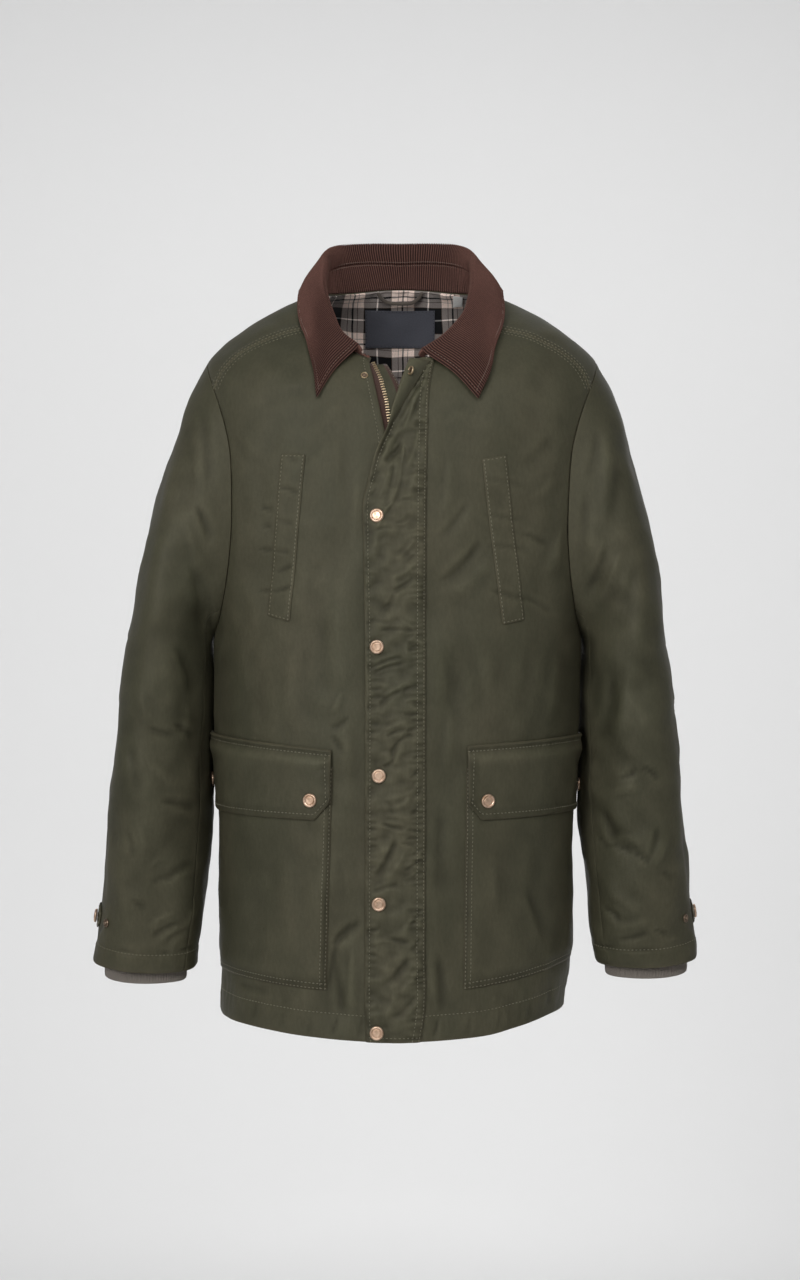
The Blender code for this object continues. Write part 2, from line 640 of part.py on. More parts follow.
def yoke_grid():
    """(angle, length) grid of the yoke, outer edge to neckline, wearer's left to right."""
    left = armhole_run(1, YOKE_FRONT, YOKE_BACK, YOKE_ARM_COLUMNS)
    right = armhole_run(-1, YOKE_BACK, YOKE_FRONT, YOKE_ARM_COLUMNS)
    right[:, 0] += 2 * math.pi
    outer_edge = np.concatenate([left, line(left[-1], right[0], BACK_COLUMNS)[1:-1], right])
    share = np.concatenate([
        np.linspace(0, 0.24, YOKE_ARM_COLUMNS + 1),
        np.linspace(0.24, 0.76, BACK_COLUMNS + 1)[1:-1],
        np.linspace(0.76, 1, YOKE_ARM_COLUMNS + 1),
    ])
    neck_angle = YOKE_NECK + share * (2 * math.pi - 2 * YOKE_NECK)
    neck = np.stack([neck_angle, np.full_like(neck_angle, NECKLINE)], axis=-1)
    return coons(outer_edge, neck, yoke_seam(1), yoke_seam(-1) + (2 * math.pi, 0))


def yoke_faces():
    """Outer and inner face points of the yoke."""
    turns = np.linspace(YOKE_FRONT, YOKE_BACK, YOKE_ARM_COLUMNS + 1)
    count = YOKE_ARM_COLUMNS + 1
    mitres = (
        (0, slice(0, count), armhole_mitre(1, turns)),
        (0, slice(-count, None), armhole_mitre(-1, turns[::-1])),
    )
    return panel_faces(yoke_grid(), mitres)


def yoke():
    """The yoke, one piece over both shoulders and round the back of the neck."""
    wall("shoulder_yoke", *yoke_faces(), "waxed_cotton")


# ------------------------------------------------------------------ sleeves
SLEEVE_PLACES = np.array([0, 0.06, 0.14, 0.24, 0.35, 0.47, 0.60, 0.73, 0.86, 1.0])


def sleeve_wall(name, side, turns, places, finish, lift=-CLOTH, thick=CLOTH, edges="left right"):
    """A wall on the sleeve cloth over a run of turns and a run of places along the sleeve."""
    turn, along = np.meshgrid(turns, places)
    inner = sleeve(side, turn, along, lift)
    outer = sleeve(side, turn, along, lift + thick)
    if along[0, 0] == 0:
        inner[0] = outer[0] - armhole_mitre(side, turns) * thick
        shift = unit(outer[1] - outer[0]) * SEAM_GAP
        outer[0] += shift
        inner[0] += shift
    outer, inner = draw_in(outer, inner, gap=SEAM_GAP, edges=edges)
    return wall(name, outer, inner, finish)


def armhole_turns():
    """Turns of every point that the body panels have round the armhole."""
    front = np.linspace(math.pi, YOKE_FRONT, ARM_ROWS + 1)
    top = np.linspace(YOKE_FRONT, YOKE_BACK, YOKE_ARM_COLUMNS + 1)
    rear = np.linspace(YOKE_BACK, -math.pi, ARM_ROWS + 1)
    return np.concatenate([front, top[1:], rear[1:]])


def sleeve_pieces(side, letter):
    """Upper sleeve and under sleeve, sewn at a front and a back seam."""
    turns = armhole_turns()
    front_seam = int(np.argmin(np.abs(turns - UNDER_FRONT)))
    back_seam = int(np.argmin(np.abs(turns - UNDER_BACK)))
    upper = turns[front_seam : back_seam + 1]
    under = np.concatenate([turns[back_seam:], turns[1 : front_seam + 1] - 2 * math.pi])
    sleeve_wall("sleeve_upper_" + letter, side, upper, SLEEVE_PLACES, "waxed_cotton")
    sleeve_wall("sleeve_under_" + letter, side, under, SLEEVE_PLACES, "waxed_cotton")


def knit_cuff(side, letter):
    """Rib cuff inside the sleeve end: sewn in at its top, it shows below the cuff edge."""
    turns = armhole_turns()[:-1]
    profile = (  # place along the sleeve, depth under the sleeve's lining, drop below that
        (SLEEVE_PLACES[-2], LAY_GAP, 0.0),
        (0.93, 0.7 * CUFF_INSET, 0.0),
        (1.0, CUFF_INSET, 0.0),
        (1.0, CUFF_INSET, CUFF_REACH),
    )
    outer, inner = [], []
    for along, depth, drop in profile:
        places = np.full_like(turns, along)
        for rings, extra in ((outer, 0.0), (inner, KNIT)):
            ring = sleeve(side, turns, places, -CLOTH - depth - extra)
            ring[:, 2] -= drop
            rings.append(ring)
    wall("knit_cuff_" + letter, np.array(outer), np.array(inner), "knit", wrap=True)


def cuff_tab(side, letter):
    """Adjuster tab round the outside of the cuff, with its snap and the stud in front."""
    turns = np.linspace(TAB_START, TAB_END, 8)
    turns = np.append(turns, TAB_TIP)
    half = TAB_HALF_WIDTH / 0.66
    widths = np.full(len(turns), half)
    widths[-1] = 0.45 * half
    rows = []
    for share in (-1.0, 0.0, 1.0):
        rows.append(sleeve_grid(side, turns, TAB_PLACE + share * widths))
    inner = np.array([row[0] for row in rows])
    outer = np.array([row[1] for row in rows])
    wall("cuff_tab_" + letter, outer, inner, "waxed_cotton")
    snap_on_sleeve("cuff_snap_" + letter, side, TAB_END - 0.10, LAY_GAP + SINGLE, SNAP_RADIUS)
    snap_on_sleeve("cuff_stud_" + letter, side, CUFF_STUD, -0.0002, STUD_RADIUS)


def sleeve_grid(side, turns, places):
    """Lower and upper face points of a tab row on the sleeve."""
    return sleeve(side, turns, places, LAY_GAP), sleeve(side, turns, places, LAY_GAP + SINGLE)


# ------------------------------------------------------------------ hardware
def snap_profile(radius, height):
    """(radius, height) corners of a snap cap with a rolled rim and a dished middle."""
    return ((radius, 0.0), (radius, height * 0.55), (radius * 0.80, height))


def snap(name, place, outward, radius, height, finish="snap_copper", sides=10):
    """A turned cap that stands on a point of the cloth."""
    profile = snap_profile(radius, height)
    work = bmesh.new()
    rings = []
    for ring_radius, level in profile:
        ring = []
        for k in range(sides):
            turn = 2 * math.pi * k / sides
            spot = (ring_radius * math.cos(turn), ring_radius * math.sin(turn), level)
            ring.append(work.verts.new(spot))
        rings.append(ring)
    work.faces.new(rings[0][::-1])
    work.faces.new(rings[-1])
    for low, high in zip(rings, rings[1:]):
        for k in range(sides):
            n = (k + 1) % sides
            work.faces.new((low[k], low[n], high[n], high[k]))
    mesh = bpy.data.meshes.new(name)
    work.to_mesh(mesh)
    work.free()
    turned = Vector(outward).to_track_quat("Z", "Y").to_matrix().to_4x4()
    mesh.transform(Matrix.Translation(Vector(place)) @ turned)
    made = add_object(name, mesh, finish)
    face_out(made)
    mesh.shade_smooth()
    mesh.set_sharp_from_angle(angle=math.radians(40))
    return made


def snap_on_body(name, angle, up, lift, radius=SNAP_RADIUS, height=SNAP_HEIGHT):
    """A snap on the body cloth, clear of the cloth under its rim."""
    angle, up = np.array(float(angle)), np.array(float(up))
    outward = body_normal(angle, up)
    place = body(angle, up, lift + SEAM_GAP + 0.0002)
    return snap(name, place.tolist(), outward.tolist(), radius, height)


def snap_on_sleeve(name, side, turn, lift, radius, height=STUD_HEIGHT):
    """A snap on the sleeve cloth."""
    turn, along = np.array(float(turn)), np.array(TAB_PLACE)
    outward = sleeve_normal(side, turn, along)
    place = sleeve(side, turn, along, lift + SEAM_GAP + 0.0003)
    return snap(name, place.tolist(), outward.tolist(), radius, height)


# ------------------------------------------------------------------ centre front
def flap_lift(share):
    """Lift of the storm flap's inner face, by share of its width from the free edge."""
    return FLAP_LIFT + FLAP_RISE * np.sin(np.pi * np.clip(share, 0, 1))


def storm_flap():
    """The storm flap, sewn down its inner side and folded back at its top corner."""
    heights = np.concatenate([np.linspace(-0.7815, -0.24, 10), np.linspace(-0.21, -0.066, 8)])
    free_x, sewn_x = straight(STORM_FLAP, heights).T
    share = np.linspace(0, 1, 5)
    x = free_x[:, None] + (sewn_x - free_x)[:, None] * share[None]
    angle, up = on_front(x, np.repeat(heights[:, None], 5, axis=1))
    lift = flap_lift(share)[None] + np.zeros_like(x)
    outer, inner = body_pair(angle, up, lift, SINGLE)
    wall("storm_flap", outer, inner, "waxed_cotton")


def body_pair(angle, up, lift, thick):
    """Outer and inner face points of a piece that lies on the body at a changing lift."""
    return body(angle, up, lift + thick), body(angle, up, lift)


def flap_corner():
    """The top corner of the storm flap, turned back over the flap."""
    table = np.asarray(FLAP_CORNER)
    heights = np.linspace(table[0, 0], table[-1, 0], 8)
    fold_x, edge_x = straight(FLAP_CORNER, heights).T
    share = np.linspace(0, 1, 4)
    x = fold_x[:, None] + (edge_x - fold_x)[:, None] * share[None]
    angle, up = on_front(x, np.repeat(heights[:, None], 4, axis=1))
    outer, inner = body_pair(angle, up, np.full_like(x, CORNER_LIFT), SINGLE)
    wall("storm_flap_corner", outer, inner, "waxed_cotton")


def strip(name, heights, low_x, high_x, lift, thick, finish, columns=1):
    """A strip up the front between two X lines."""
    share = np.linspace(0, 1, columns + 1)
    x = low_x[:, None] + (high_x - low_x)[:, None] * share[None]
    angle, up = on_front(x, np.repeat(heights[:, None], columns + 1, axis=1))
    outer, inner = body_pair(angle, up, np.full_like(x, lift), thick)
    return wall(name, outer, inner, finish)


def zip_fastener():
    """Tapes and tooth strips of both halves, the slider, and the guard behind the zip."""
    heights = np.concatenate([np.linspace(-0.755, -0.24, 7), np.linspace(-0.19, -0.070, 6)])
    edges = straight(FRONT_EDGES, heights).T
    right_teeth, left_teeth, guard_edge = straight(ZIP_LINES, heights).T
    depth, half = -CLOTH - ZIP_DEPTH, ZIP_TEETH_WIDTH / 2
    for letter, edge, middle, inward in (("r", edges[0], right_teeth, 1), ("l", edges[1], left_teeth, -1)):
        near, far = edge - inward * ZIP_TAPE_UNDER, middle - inward * (half + SEAM_GAP)
        strip("zip_tape_" + letter, heights, *sorted_pair(near, far), depth, 0.0009, "zip_tape")
        low, high = middle - half, middle + half
        strip("zip_teeth_" + letter, heights, low, high, depth - 0.0005, 0.0022, "zip_metal")
    low, lift = edges[0] - GUARD_UNDER, -CLOTH - GUARD_DEPTH - SINGLE
    strip("zip_guard", heights, low, guard_edge, lift, SINGLE, "waxed_cotton", columns=3)


def sorted_pair(first, second):
    """Two X lines, lower first."""
    return (first, second) if first[0] < second[0] else (second, first)


def zip_slider():
    """Slider body at the foot of the open stretch of the zip, under the flap."""
    half_x, top_z, bottom_z = 0.0034, -0.176, -0.187
    angle, up = on_front(np.array([[-half_x, half_x]] * 2), np.array([[bottom_z] * 2, [top_z] * 2]))
    outer, inner = body_pair(angle, up, np.full((2, 2), -0.0021), 0.0016)
    wall("zip_slider", outer, inner, "zip_metal")


# ------------------------------------------------------------------ pockets
def chest_welt(name, corners):
    """A narrow slanted welt on the chest."""
    inner_top, outer_top, outer_bottom, inner_bottom = (np.array(corner) for corner in corners)
    down = np.linspace(1, 0, 6)[:, None, None]
    across = np.linspace(0, 1, 3)[None, :, None]
    top = inner_top + (outer_top - inner_top) * across
    bottom = inner_bottom + (outer_bottom - inner_bottom) * across
    places = bottom + (top - bottom) * (1 - down)
    angle, up = on_front(places[..., 0], places[..., 1])
    outer, inner = body_pair(angle, up, np.full_like(angle, LAY_GAP + 0.0002), SINGLE)
    wall(name, outer, inner, "waxed_cotton")


def pocket_grid(side, top, bottom, columns, rows):
    """Grid of (angle, length) between a top line and a bottom line on one side of the body."""
    across = np.linspace(0, 1, columns + 1)
    top_line, low_line = (
        np.stack([np.interp(across, (0, 1), pair) for pair in ends], axis=-1) for ends in (top, bottom)
    )
    upward = np.linspace(0, 1, rows + 1)[:, None, None]
    grid = low_line[None] + (top_line - low_line)[None] * upward
    grid[..., 0] = np.radians(grid[..., 0]) * side
    return grid, across, upward[:, 0, 0]


def pocket(name, row):
    """A patch pocket: sewn round three sides and standing a little off the panel inside them."""
    side, in_top, out_top, in_low, out_low, low_in, low_out, top = row
    grid, across, upward = pocket_grid(
        side, ((in_top, out_top), (top, top)), ((in_low, out_low), (low_in, low_out)), 12, 5
    )
    rise = ease(np.minimum(across, 1 - across) / POCKET_EDGE)[None] * ease(upward / 0.08)[:, None]
    lift = LAY_GAP + POCKET_LIFT * rise
    outer, inner = body_pair(grid[..., 0], grid[..., 1], lift, SINGLE)
    wall(name, outer, inner, "waxed_cotton")


def pocket_flap(name, row):
    """A pocket flap: sewn along its top, over the pocket's mouth, with a cut front corner."""
    side, inside, outside, top_in, top_out, low_in, low_out, cut_width, cut_depth = row
    grid, across, upward = pocket_grid(
        side, ((inside, outside), (top_in, top_out)), ((inside, outside), (low_in, low_out)), 12, 4
    )
    raise_low = np.interp(across, (0, cut_width, 1), (cut_depth, 0, 0))
    height = upward[:, None] + (1 - upward[:, None]) * raise_low[None]
    grid[..., 1] = grid[0:1, :, 1] + (grid[-1:, :, 1] - grid[0:1, :, 1]) * height
    down = 1 - upward[:, None] + np.zeros_like(across)[None]
    lift = LAY_GAP + (POCKET_FLAP_LIFT - LAY_GAP) * ease(down / 0.22)
    outer, inner = body_pair(grid[..., 0], grid[..., 1], lift, SINGLE)
    wall(name, outer, inner, "waxed_cotton")


# ------------------------------------------------------------------ collar and neck
def collar_columns():
    """Neckline, inner seam, top roll and fall edge points round the collar."""
    table = np.asarray(COLLAR, float)
    keys = -table[:, 0]
    table = np.column_stack([keys, table[:, 1:]])
    stations = np.linspace(keys[0], keys[-1], COLLAR_STEPS + 1)
    rows = smooth(table, stations)
    seam, roll = rows[:, 0:3], rows[:, 3:6]
    edge = body(np.radians(rows[:, 6]), rows[:, 7], rows[:, 8])
    neck_angle = -np.radians(stations)
    neck = body(neck_angle, np.full_like(stations, NECKLINE), 0.0)
    outward = edge - roll
    outward[:, 2] = 0
    edge_angle, edge_up = np.radians(rows[:, 6]), rows[:, 7]
    return stations, neck, seam, roll, edge, unit(outward), edge_angle, edge_up


def profile_points(stages, shares):
    """Points on a smooth line through the stages (each columns x 3), at the given shares."""
    stack = np.array(stages)
    count, columns = stack.shape[:2]
    lengths = np.linalg.norm(np.diff(stack, axis=0), axis=-1).mean(axis=1)
    keys = np.concatenate([[0], np.cumsum(lengths)])
    keys = keys / keys[-1]
    table = np.column_stack([keys, stack.reshape(count, -1)])
    return smooth(table, shares).reshape(len(shares), columns, 3)


def wall_from_face(name, face, thick, finish, sign=1.0):
    """A wall behind a face given as a grid of points; sign says on which side the cloth lies."""
    across = np.gradient(face, axis=1)
    along = np.gradient(face, axis=0)
    behind = face - sign * unit(np.cross(across, along)) * thick
    return wall(name, face, behind, finish)


def push_off_body(face, edge_angle, edge_up, neck_angle):
    """Keeps the outer part of the fall clear of the shoulders and chest under it."""
    need = CORDUROY + FALL_CLEAR
    for row, share in enumerate(np.linspace(0, 1, len(face))):
        angle = neck_angle + (edge_angle - neck_angle) * share
        up = NECKLINE + (edge_up - NECKLINE) * share
        outward = body_normal(angle, np.minimum(up, NECKLINE - 0.001))
        height = ((face[row] - body(angle, up)) * outward).sum(axis=-1)
        face[row] += outward * np.maximum(need - height, 0)[:, None]
    return face


def collar():
    """Collar stand inside the neck, and the fall that rolls over it."""
    stations, neck, seam, roll, edge, outward, edge_angle, edge_up = collar_columns()
    up = np.array([0, 0, 1.0])
    kept = (stations >= STAND_ENDS[0]) & (stations <= STAND_ENDS[1])
    tip_neck = body(np.radians([STAND_TIP[0]]), np.array([NECKLINE]))
    low = np.concatenate([tip_neck, neck[kept]])
    high = np.concatenate([[STAND_TIP[1:]], seam[kept]])
    rise = unit(high - low)
    rows = (low + rise * (SEAM_GAP + 0.0004), high - rise * (SEAM_GAP + 0.0009))
    stand = profile_points(rows, np.linspace(0, 1, STAND_ROWS + 1))
    wall_from_face("collar_stand", stand, CORDUROY, "corduroy", sign=-1.0)
    height = np.linalg.norm(roll - seam, axis=-1, keepdims=True)
    radius = np.clip(0.40 * height, TIGHT_ROLL, COLLAR_ROLL)
    inside = roll - outward * radius - up * radius * 1.2
    outside = roll + outward * radius - up * radius * 0.9
    middle = (outside + edge) / 2 + (outward * 0.7 + up * 0.7) * FALL_BELLY
    inner_rows = profile_points((seam, inside, roll, outside), np.array([0, 0.45, 0.72, 1.0]))
    outer_rows = profile_points((outside, middle, edge), np.linspace(0, 1, 5)[1:])
    outer_rows = push_off_body(outer_rows, edge_angle, edge_up, -np.radians(stations))
    face = np.concatenate([inner_rows, outer_rows])
    wall_from_face("collar_fall", face, CORDUROY, "corduroy", sign=-1.0)


def neck_lining():
    """Check flannel inside the yoke, where the open neck shows it, made from the yoke's points."""
    cloth_out, cloth_in = (face[1:] for face in yoke_faces())
    inward = unit(cloth_in - cloth_out)
    outer = cloth_in + inward * LAY_GAP
    inner = outer + inward * LINING
    wall("neck_lining", outer, inner, "flannel")


def on_back_inside(x, z, depth):
    """Points inside the back of the neck with this X and Z, at a depth under the body surface."""
    x, z = np.broadcast_arrays(np.asarray(x, float), np.asarray(z, float))
    low, high = np.full(x.shape, 0.60), np.full(x.shape, NECKLINE)
    angle = math.pi - np.arcsin(np.clip(x / 0.11, -1, 1))
    for _ in range(40):
        middle = (low + high) / 2
        place = body(angle, middle, -depth)
        below = place[..., 2] < z
        low, high = np.where(below, middle, low), np.where(below, high, middle)
        angle = angle + np.clip((place[..., 0] - x) / 0.12, -0.05, 0.05)
    return body(angle, (low + high) / 2, -depth)


def neck_trims():
    """Blank label, blank size tag and hanger loop on the lining at the back of the neck."""
    lining_face = CLOTH + LAY_GAP + LINING + 0.0006
    rows = (
        ("neck_label", 0.0, LABEL_HALF, LABEL_BOTTOM, LABEL_TOP, 6, 2, "label"),
        ("size_tag", TAG_X, TAG_HALF, TAG_BOTTOM, TAG_TOP, 1, 1, "size_tag"),
    )
    for name, middle, half, bottom, top, columns, lines, finish in rows:
        x, z = np.meshgrid(np.linspace(middle - half, middle + half, columns + 1),
                           np.linspace(bottom, top, lines + 1))
        near = on_back_inside(x, z, lining_face + LAY_GAP)
        far = on_back_inside(x, z, lining_face + LAY_GAP + 0.0006)
        wall(name, near, far, finish)
    hanger_loop(lining_face)


def hanger_loop(lining_face):
    """A corded hanger loop that sags between its two sewn ends."""
    share = np.linspace(-1, 1, 11)
    heights = LOOP_TOP - LOOP_SAG * (1 - share**2)
    away = lining_face + LOOP_RADIUS - 0.0002 + 0.0040 * (1 - share**2)
    points = on_back_inside(LOOP_HALF * share, heights, away)
    curve = bpy.data.curves.new("hanger_loop", "CURVE")
    curve.dimensions = "3D"
    curve.bevel_depth = LOOP_RADIUS
    curve.bevel_resolution = 1
    curve.use_fill_caps = True
    spline = curve.splines.new("POLY")
    spline.points.add(len(points) - 1)
    for target, point in zip(spline.points, points):
        target.co = (*point, 1.0)
    add_object("hanger_loop", curve, "zip_tape")


# ------------------------------------------------------------------ the jacket
def body_pieces():
    """Fronts, back and yoke."""
    front_panel("front_r", -1)
    front_panel("front_l", 1)
    back_panel()
    yoke()


def closure():
    """Storm flap, zip and snaps down the centre front."""
    zip_fastener()
    zip_slider()
    storm_flap()
    flap_corner()
    for number, (x, z) in enumerate(FLAP_SNAPS, start=1):
        angle, up = on_front(x, z)
        free_x, sewn_x = straight(STORM_FLAP, np.array(z))
        lift = float(flap_lift((x - free_x) / (sewn_x - free_x))) + SINGLE
        snap_on_body("flap_snap_%d" % number, angle, up, lift)
    angle, up = on_front(*NECK_STUD)
    snap_on_body("neck_stud", angle, up, 0.0, STUD_RADIUS, STUD_HEIGHT)
    angle, up = on_front(*NECK_SOCKET)
    snap_on_body("neck_socket", angle, up, CORNER_LIFT + SINGLE, STUD_RADIUS * 1.2, STUD_HEIGHT)


def pockets():
    """Chest welts, lower pockets with their flaps, and the pocket snaps."""
    for name, corners in CHEST_WELTS.items():
        chest_welt(name, corners)
    for name, row in POCKETS.items():
        pocket(name, row)
    for name, row in POCKET_FLAPS.items():
        pocket_flap(name, row)
    for name, (side, degrees, up) in POCKET_SNAPS.items():
        snap_on_body(name, side * math.radians(degrees), up, POCKET_FLAP_LIFT + SINGLE)


def sleeves():
    """Both sleeves with their knit cuffs and tabs."""
    for side, letter in ((-1, "r"), (1, "l")):
        sleeve_pieces(side, letter)
        knit_cuff(side, letter)
        cuff_tab(side, letter)


for old in list(bpy.data.objects):
    bpy.data.objects.remove(old, do_unlink=True)
JACKET = bpy.data.collections.new("waxed_cotton_jacket")
bpy.context.scene.collection.children.link(JACKET)
FINISH = materials()
body_pieces()
sleeves()
collar()
neck_lining()
neck_trims()
closure()
pockets()
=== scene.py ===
"""Waxed cotton jacket with a corduroy collar, worn shape with nobody in it (metres, +Z up).

Fine cloth walls with their creases, seams, puckers and stitches, laid out on the same body and
sleeve surfaces as the frame's solids.  Angles on the body run from 0 at centre front to +90
degrees at the wearer's left side and 180 at centre back; _r is the wearer's right, at -X.
"""

from __future__ import annotations

import logging
import math
from dataclasses import dataclass, field
from enum import Enum

import bpy
import numpy as np
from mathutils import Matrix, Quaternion, Vector

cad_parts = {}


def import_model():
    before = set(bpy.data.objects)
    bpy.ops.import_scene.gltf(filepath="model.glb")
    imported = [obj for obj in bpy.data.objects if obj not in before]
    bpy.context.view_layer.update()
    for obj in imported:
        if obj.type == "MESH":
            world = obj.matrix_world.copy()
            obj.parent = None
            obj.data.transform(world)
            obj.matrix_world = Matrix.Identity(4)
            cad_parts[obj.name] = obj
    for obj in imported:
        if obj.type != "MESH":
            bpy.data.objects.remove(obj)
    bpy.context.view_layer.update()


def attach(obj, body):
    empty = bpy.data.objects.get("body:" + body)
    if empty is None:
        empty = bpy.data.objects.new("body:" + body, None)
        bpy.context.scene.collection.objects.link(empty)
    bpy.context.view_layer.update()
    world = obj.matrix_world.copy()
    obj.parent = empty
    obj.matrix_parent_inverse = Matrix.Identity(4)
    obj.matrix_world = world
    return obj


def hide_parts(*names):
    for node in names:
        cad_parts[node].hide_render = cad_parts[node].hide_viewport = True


LOG = logging.getLogger("jacket")
Array = np.ndarray
TURN = 2 * math.pi


# ------------------------------------------------------------------ sizes shared by the pieces
CLOTH = 0.0020
SINGLE = 0.0013
CORDUROY = 0.0022
KNIT = 0.0024
LAY_GAP = 0.0006
SEAM_GAP = 0.00015
NECKLINE = 0.862
RIMS = (0.0, 0.0005, 0.0012, 0.0022, 0.0036)  # first steps in from an edge of the cloth
STITCH_ROWS = (0.0022, 0.0068)  # a double row of stitches, from its edge
MITRE_FADE = 0.004  # distance over which an edge turned at the armhole straightens out
SLOPE_STEP = 1e-4  # step that the slope of a surface is measured over
SNAP_SEAT = 0.0003  # height of a snap's foot over the cloth


# ------------------------------------------------------------------ number helpers
def smooth(table: Array | tuple, key: Array | float) -> Array:
    """Reads a table on a smooth curve through its rows.

    Args:
        table: Rows of (key, values...), keys rising.
        key: Where to read it.

    Returns:
        The values, with the columns last.
    """
    table = np.asarray(table, float)
    keys, values = table[:, 0], table[:, 1:]
    slopes = np.gradient(values, keys, axis=0)
    key = np.clip(np.asarray(key, float), keys[0], keys[-1])
    row = np.clip(np.searchsorted(keys, key, side="right") - 1, 0, len(keys) - 2)
    step = (keys[row + 1] - keys[row])[..., None]
    u = (key - keys[row])[..., None] / step
    return (
        (2 * u**3 - 3 * u**2 + 1) * values[row]
        + (u**3 - 2 * u**2 + u) * step * slopes[row]
        + (-2 * u**3 + 3 * u**2) * values[row + 1]
        + (u**3 - u**2) * step * slopes[row + 1]
    )


def straight(table: tuple, key: Array) -> Array:
    """Reads a table on straight lines between its rows."""
    table = np.asarray(table, float)
    return np.stack([np.interp(key, table[:, 0], column) for column in table[:, 1:].T], axis=-1)


def ease(u: Array | float) -> Array:
    """0 to 1 with no kink at either end."""
    u = np.clip(u, 0.0, 1.0)
    return u * u * (3 - 2 * u)


def unit(vectors: Array) -> Array:
    """Vectors of length 1."""
    return vectors / np.maximum(np.linalg.norm(vectors, axis=-1, keepdims=True), 1e-12)


def run_length(points: Array, axis: int) -> Array:
    """Distance along a grid from its first row (axis 0) or column (axis 1).

    Args:
        points: Grid of points.
        axis: Axis to follow.

    Returns:
        The distance at each point.
    """
    steps = np.linalg.norm(np.diff(points, axis=axis), axis=-1)
    start = np.zeros_like(np.take(steps, [0], axis=axis))
    return np.cumsum(np.concatenate([start, steps], axis=axis), axis=axis)


def spaced(length: float, step: float, first: bool = True, last: bool = True) -> Array:
    """Shares 0 to 1 along a length, close together where the cloth is turned in.

    Args:
        length: Length of the cloth in metres.
        step: Usual spacing.
        first: Whether the start is a turned edge.
        last: Whether the end is a turned edge.

    Returns:
        Rising shares with 0 and 1 among them.
    """
    low = np.array(RIMS if first else RIMS[:1]) / length
    high = 1 - np.array(RIMS if last else RIMS[:1])[::-1] / length
    count = max(2, round((high[0] - low[-1]) * length / step))
    return np.concatenate([low[:-1], np.linspace(low[-1], high[0], count + 1), high[1:]])


def wrapped(angle: Array) -> Array:
    """An angle brought between half a turn back and half a turn on."""
    return (angle + math.pi) % TURN - math.pi


def reach_of(a: Array, b: Array, power: Array | float) -> Array:
    """Reach of a rounded outline towards (a, b); power 2 is a circle, more is squarer."""
    return (np.abs(a) ** power + np.abs(b) ** power) ** (-1 / power)


def grid_normals(points: Array) -> Array:
    """Directions square to a grid."""
    return unit(np.cross(np.gradient(points, axis=1), np.gradient(points, axis=0)))


def coons(bottom: Array, top: Array, left: Array, right: Array, across: Array, upward: Array) -> Array:
    """Fills four edges with a grid of (angle, length) pairs, rows from bottom to top.

    Args:
        bottom: Places along the lower edge, left to right.
        top: The same along the upper edge.
        left: Places up the left edge.
        right: The same up the right edge.
        across: Shares of the columns, 0 to 1.
        upward: Shares of the rows, 0 to 1.

    Returns:
        The grid.
    """
    c, r = across[None, :, None], upward[:, None, None]
    ruled = (1 - r) * bottom[None] + r * top[None] + (1 - c) * left[:, None] + c * right[:, None]
    low = (1 - c) * bottom[0] + c * bottom[-1]
    high = (1 - c) * top[0] + c * top[-1]
    return ruled - (1 - r) * low - r * high


def line(start: tuple | Array, end: tuple | Array, shares: Array) -> Array:
    """Points on a straight line at the given shares."""
    start, end = np.asarray(start, float), np.asarray(end, float)
    return start + (end - start) * np.asarray(shares)[:, None]


# ------------------------------------------------------------------ creases
class Facing(Enum):
    """Side that a crease is drawn on: the two axes it is drawn in, and the way that side faces."""

    FRONT = (0, 2, (0.0, -1.0, 0.0))
    BACK = (0, 2, (0.0, 1.0, 0.0))
    LEFT = (1, 2, (1.0, 0.0, 0.0))
    RIGHT = (1, 2, (-1.0, 0.0, 0.0))


@dataclass(frozen=True)
class Creases:
    """Soft troughs and ridges drawn on one side of the cloth.

    rows has a row for each, in millimetres: across and up of its first point, the same of its
    last point, how far its middle bows sideways, half width and height.  A height below zero is
    a trough.
    """

    facing: Facing
    rows: tuple[tuple[float, ...], ...]
    fade: float = 0.30  # share of the length over which an end dies away

    def height(self, points: Array, normals: Array) -> Array:
        """Adds up the creases.

        Args:
            points: Points of the cloth.
            normals: Outward directions there.

        Returns:
            Height of all the creases at each point.
        """
        first, second, outward = self.facing.value
        a, b = points[..., first] * 1000, points[..., second] * 1000
        total = np.zeros_like(a)
        for a0, b0, a1, b1, bow, half, height in self.rows:
            length = math.hypot(a1 - a0, b1 - b0)
            ua, ub = (a1 - a0) / length, (b1 - b0) / length
            along = ((a - a0) * ua + (b - b0) * ub) / length
            off = -(a - a0) * ub + (b - b0) * ua - bow * 4 * along * (1 - along)
            width = half * (0.75 + 0.5 * ease(along)) * np.where(off > 0, 1.25, 0.8)
            q2 = (off / width) ** 2
            ends = ease(along / self.fade) * ease((1 - along) / self.fade)
            total += height * ends * (1 - 0.75 * q2) * np.exp(-q2 / 1.5)
        facing = (normals * np.array(outward)).sum(axis=-1)
        return total / 1000 * ease((facing - 0.10) / 0.35)


@dataclass(frozen=True)
class Ripple:
    """Fine unevenness of worn cloth: waves in all directions, the long ones highest."""

    seed: int
    height: float
    longest: float = 0.110
    shortest: float = 0.022
    count: int = 40

    def at(self, points: Array) -> Array:
        """Height at each point.

        Args:
            points: The points.

        Returns:
            Their height.
        """
        random = np.random.default_rng(self.seed)
        wavelength = self.shortest * (self.longest / self.shortest) ** random.random(self.count)
        ways = unit(random.normal(size=(self.count, 3)) * (1.0, 1.0, 0.75))
        phases = random.random(self.count) * TURN
        total = np.zeros(points.shape[:-1])
        for way, wave, phase in zip(ways, wavelength, phases):
            total += wave * np.sin(points @ (way * TURN / wave) + phase)
        return total * self.height / (self.longest * math.sqrt(self.count) * 0.30)


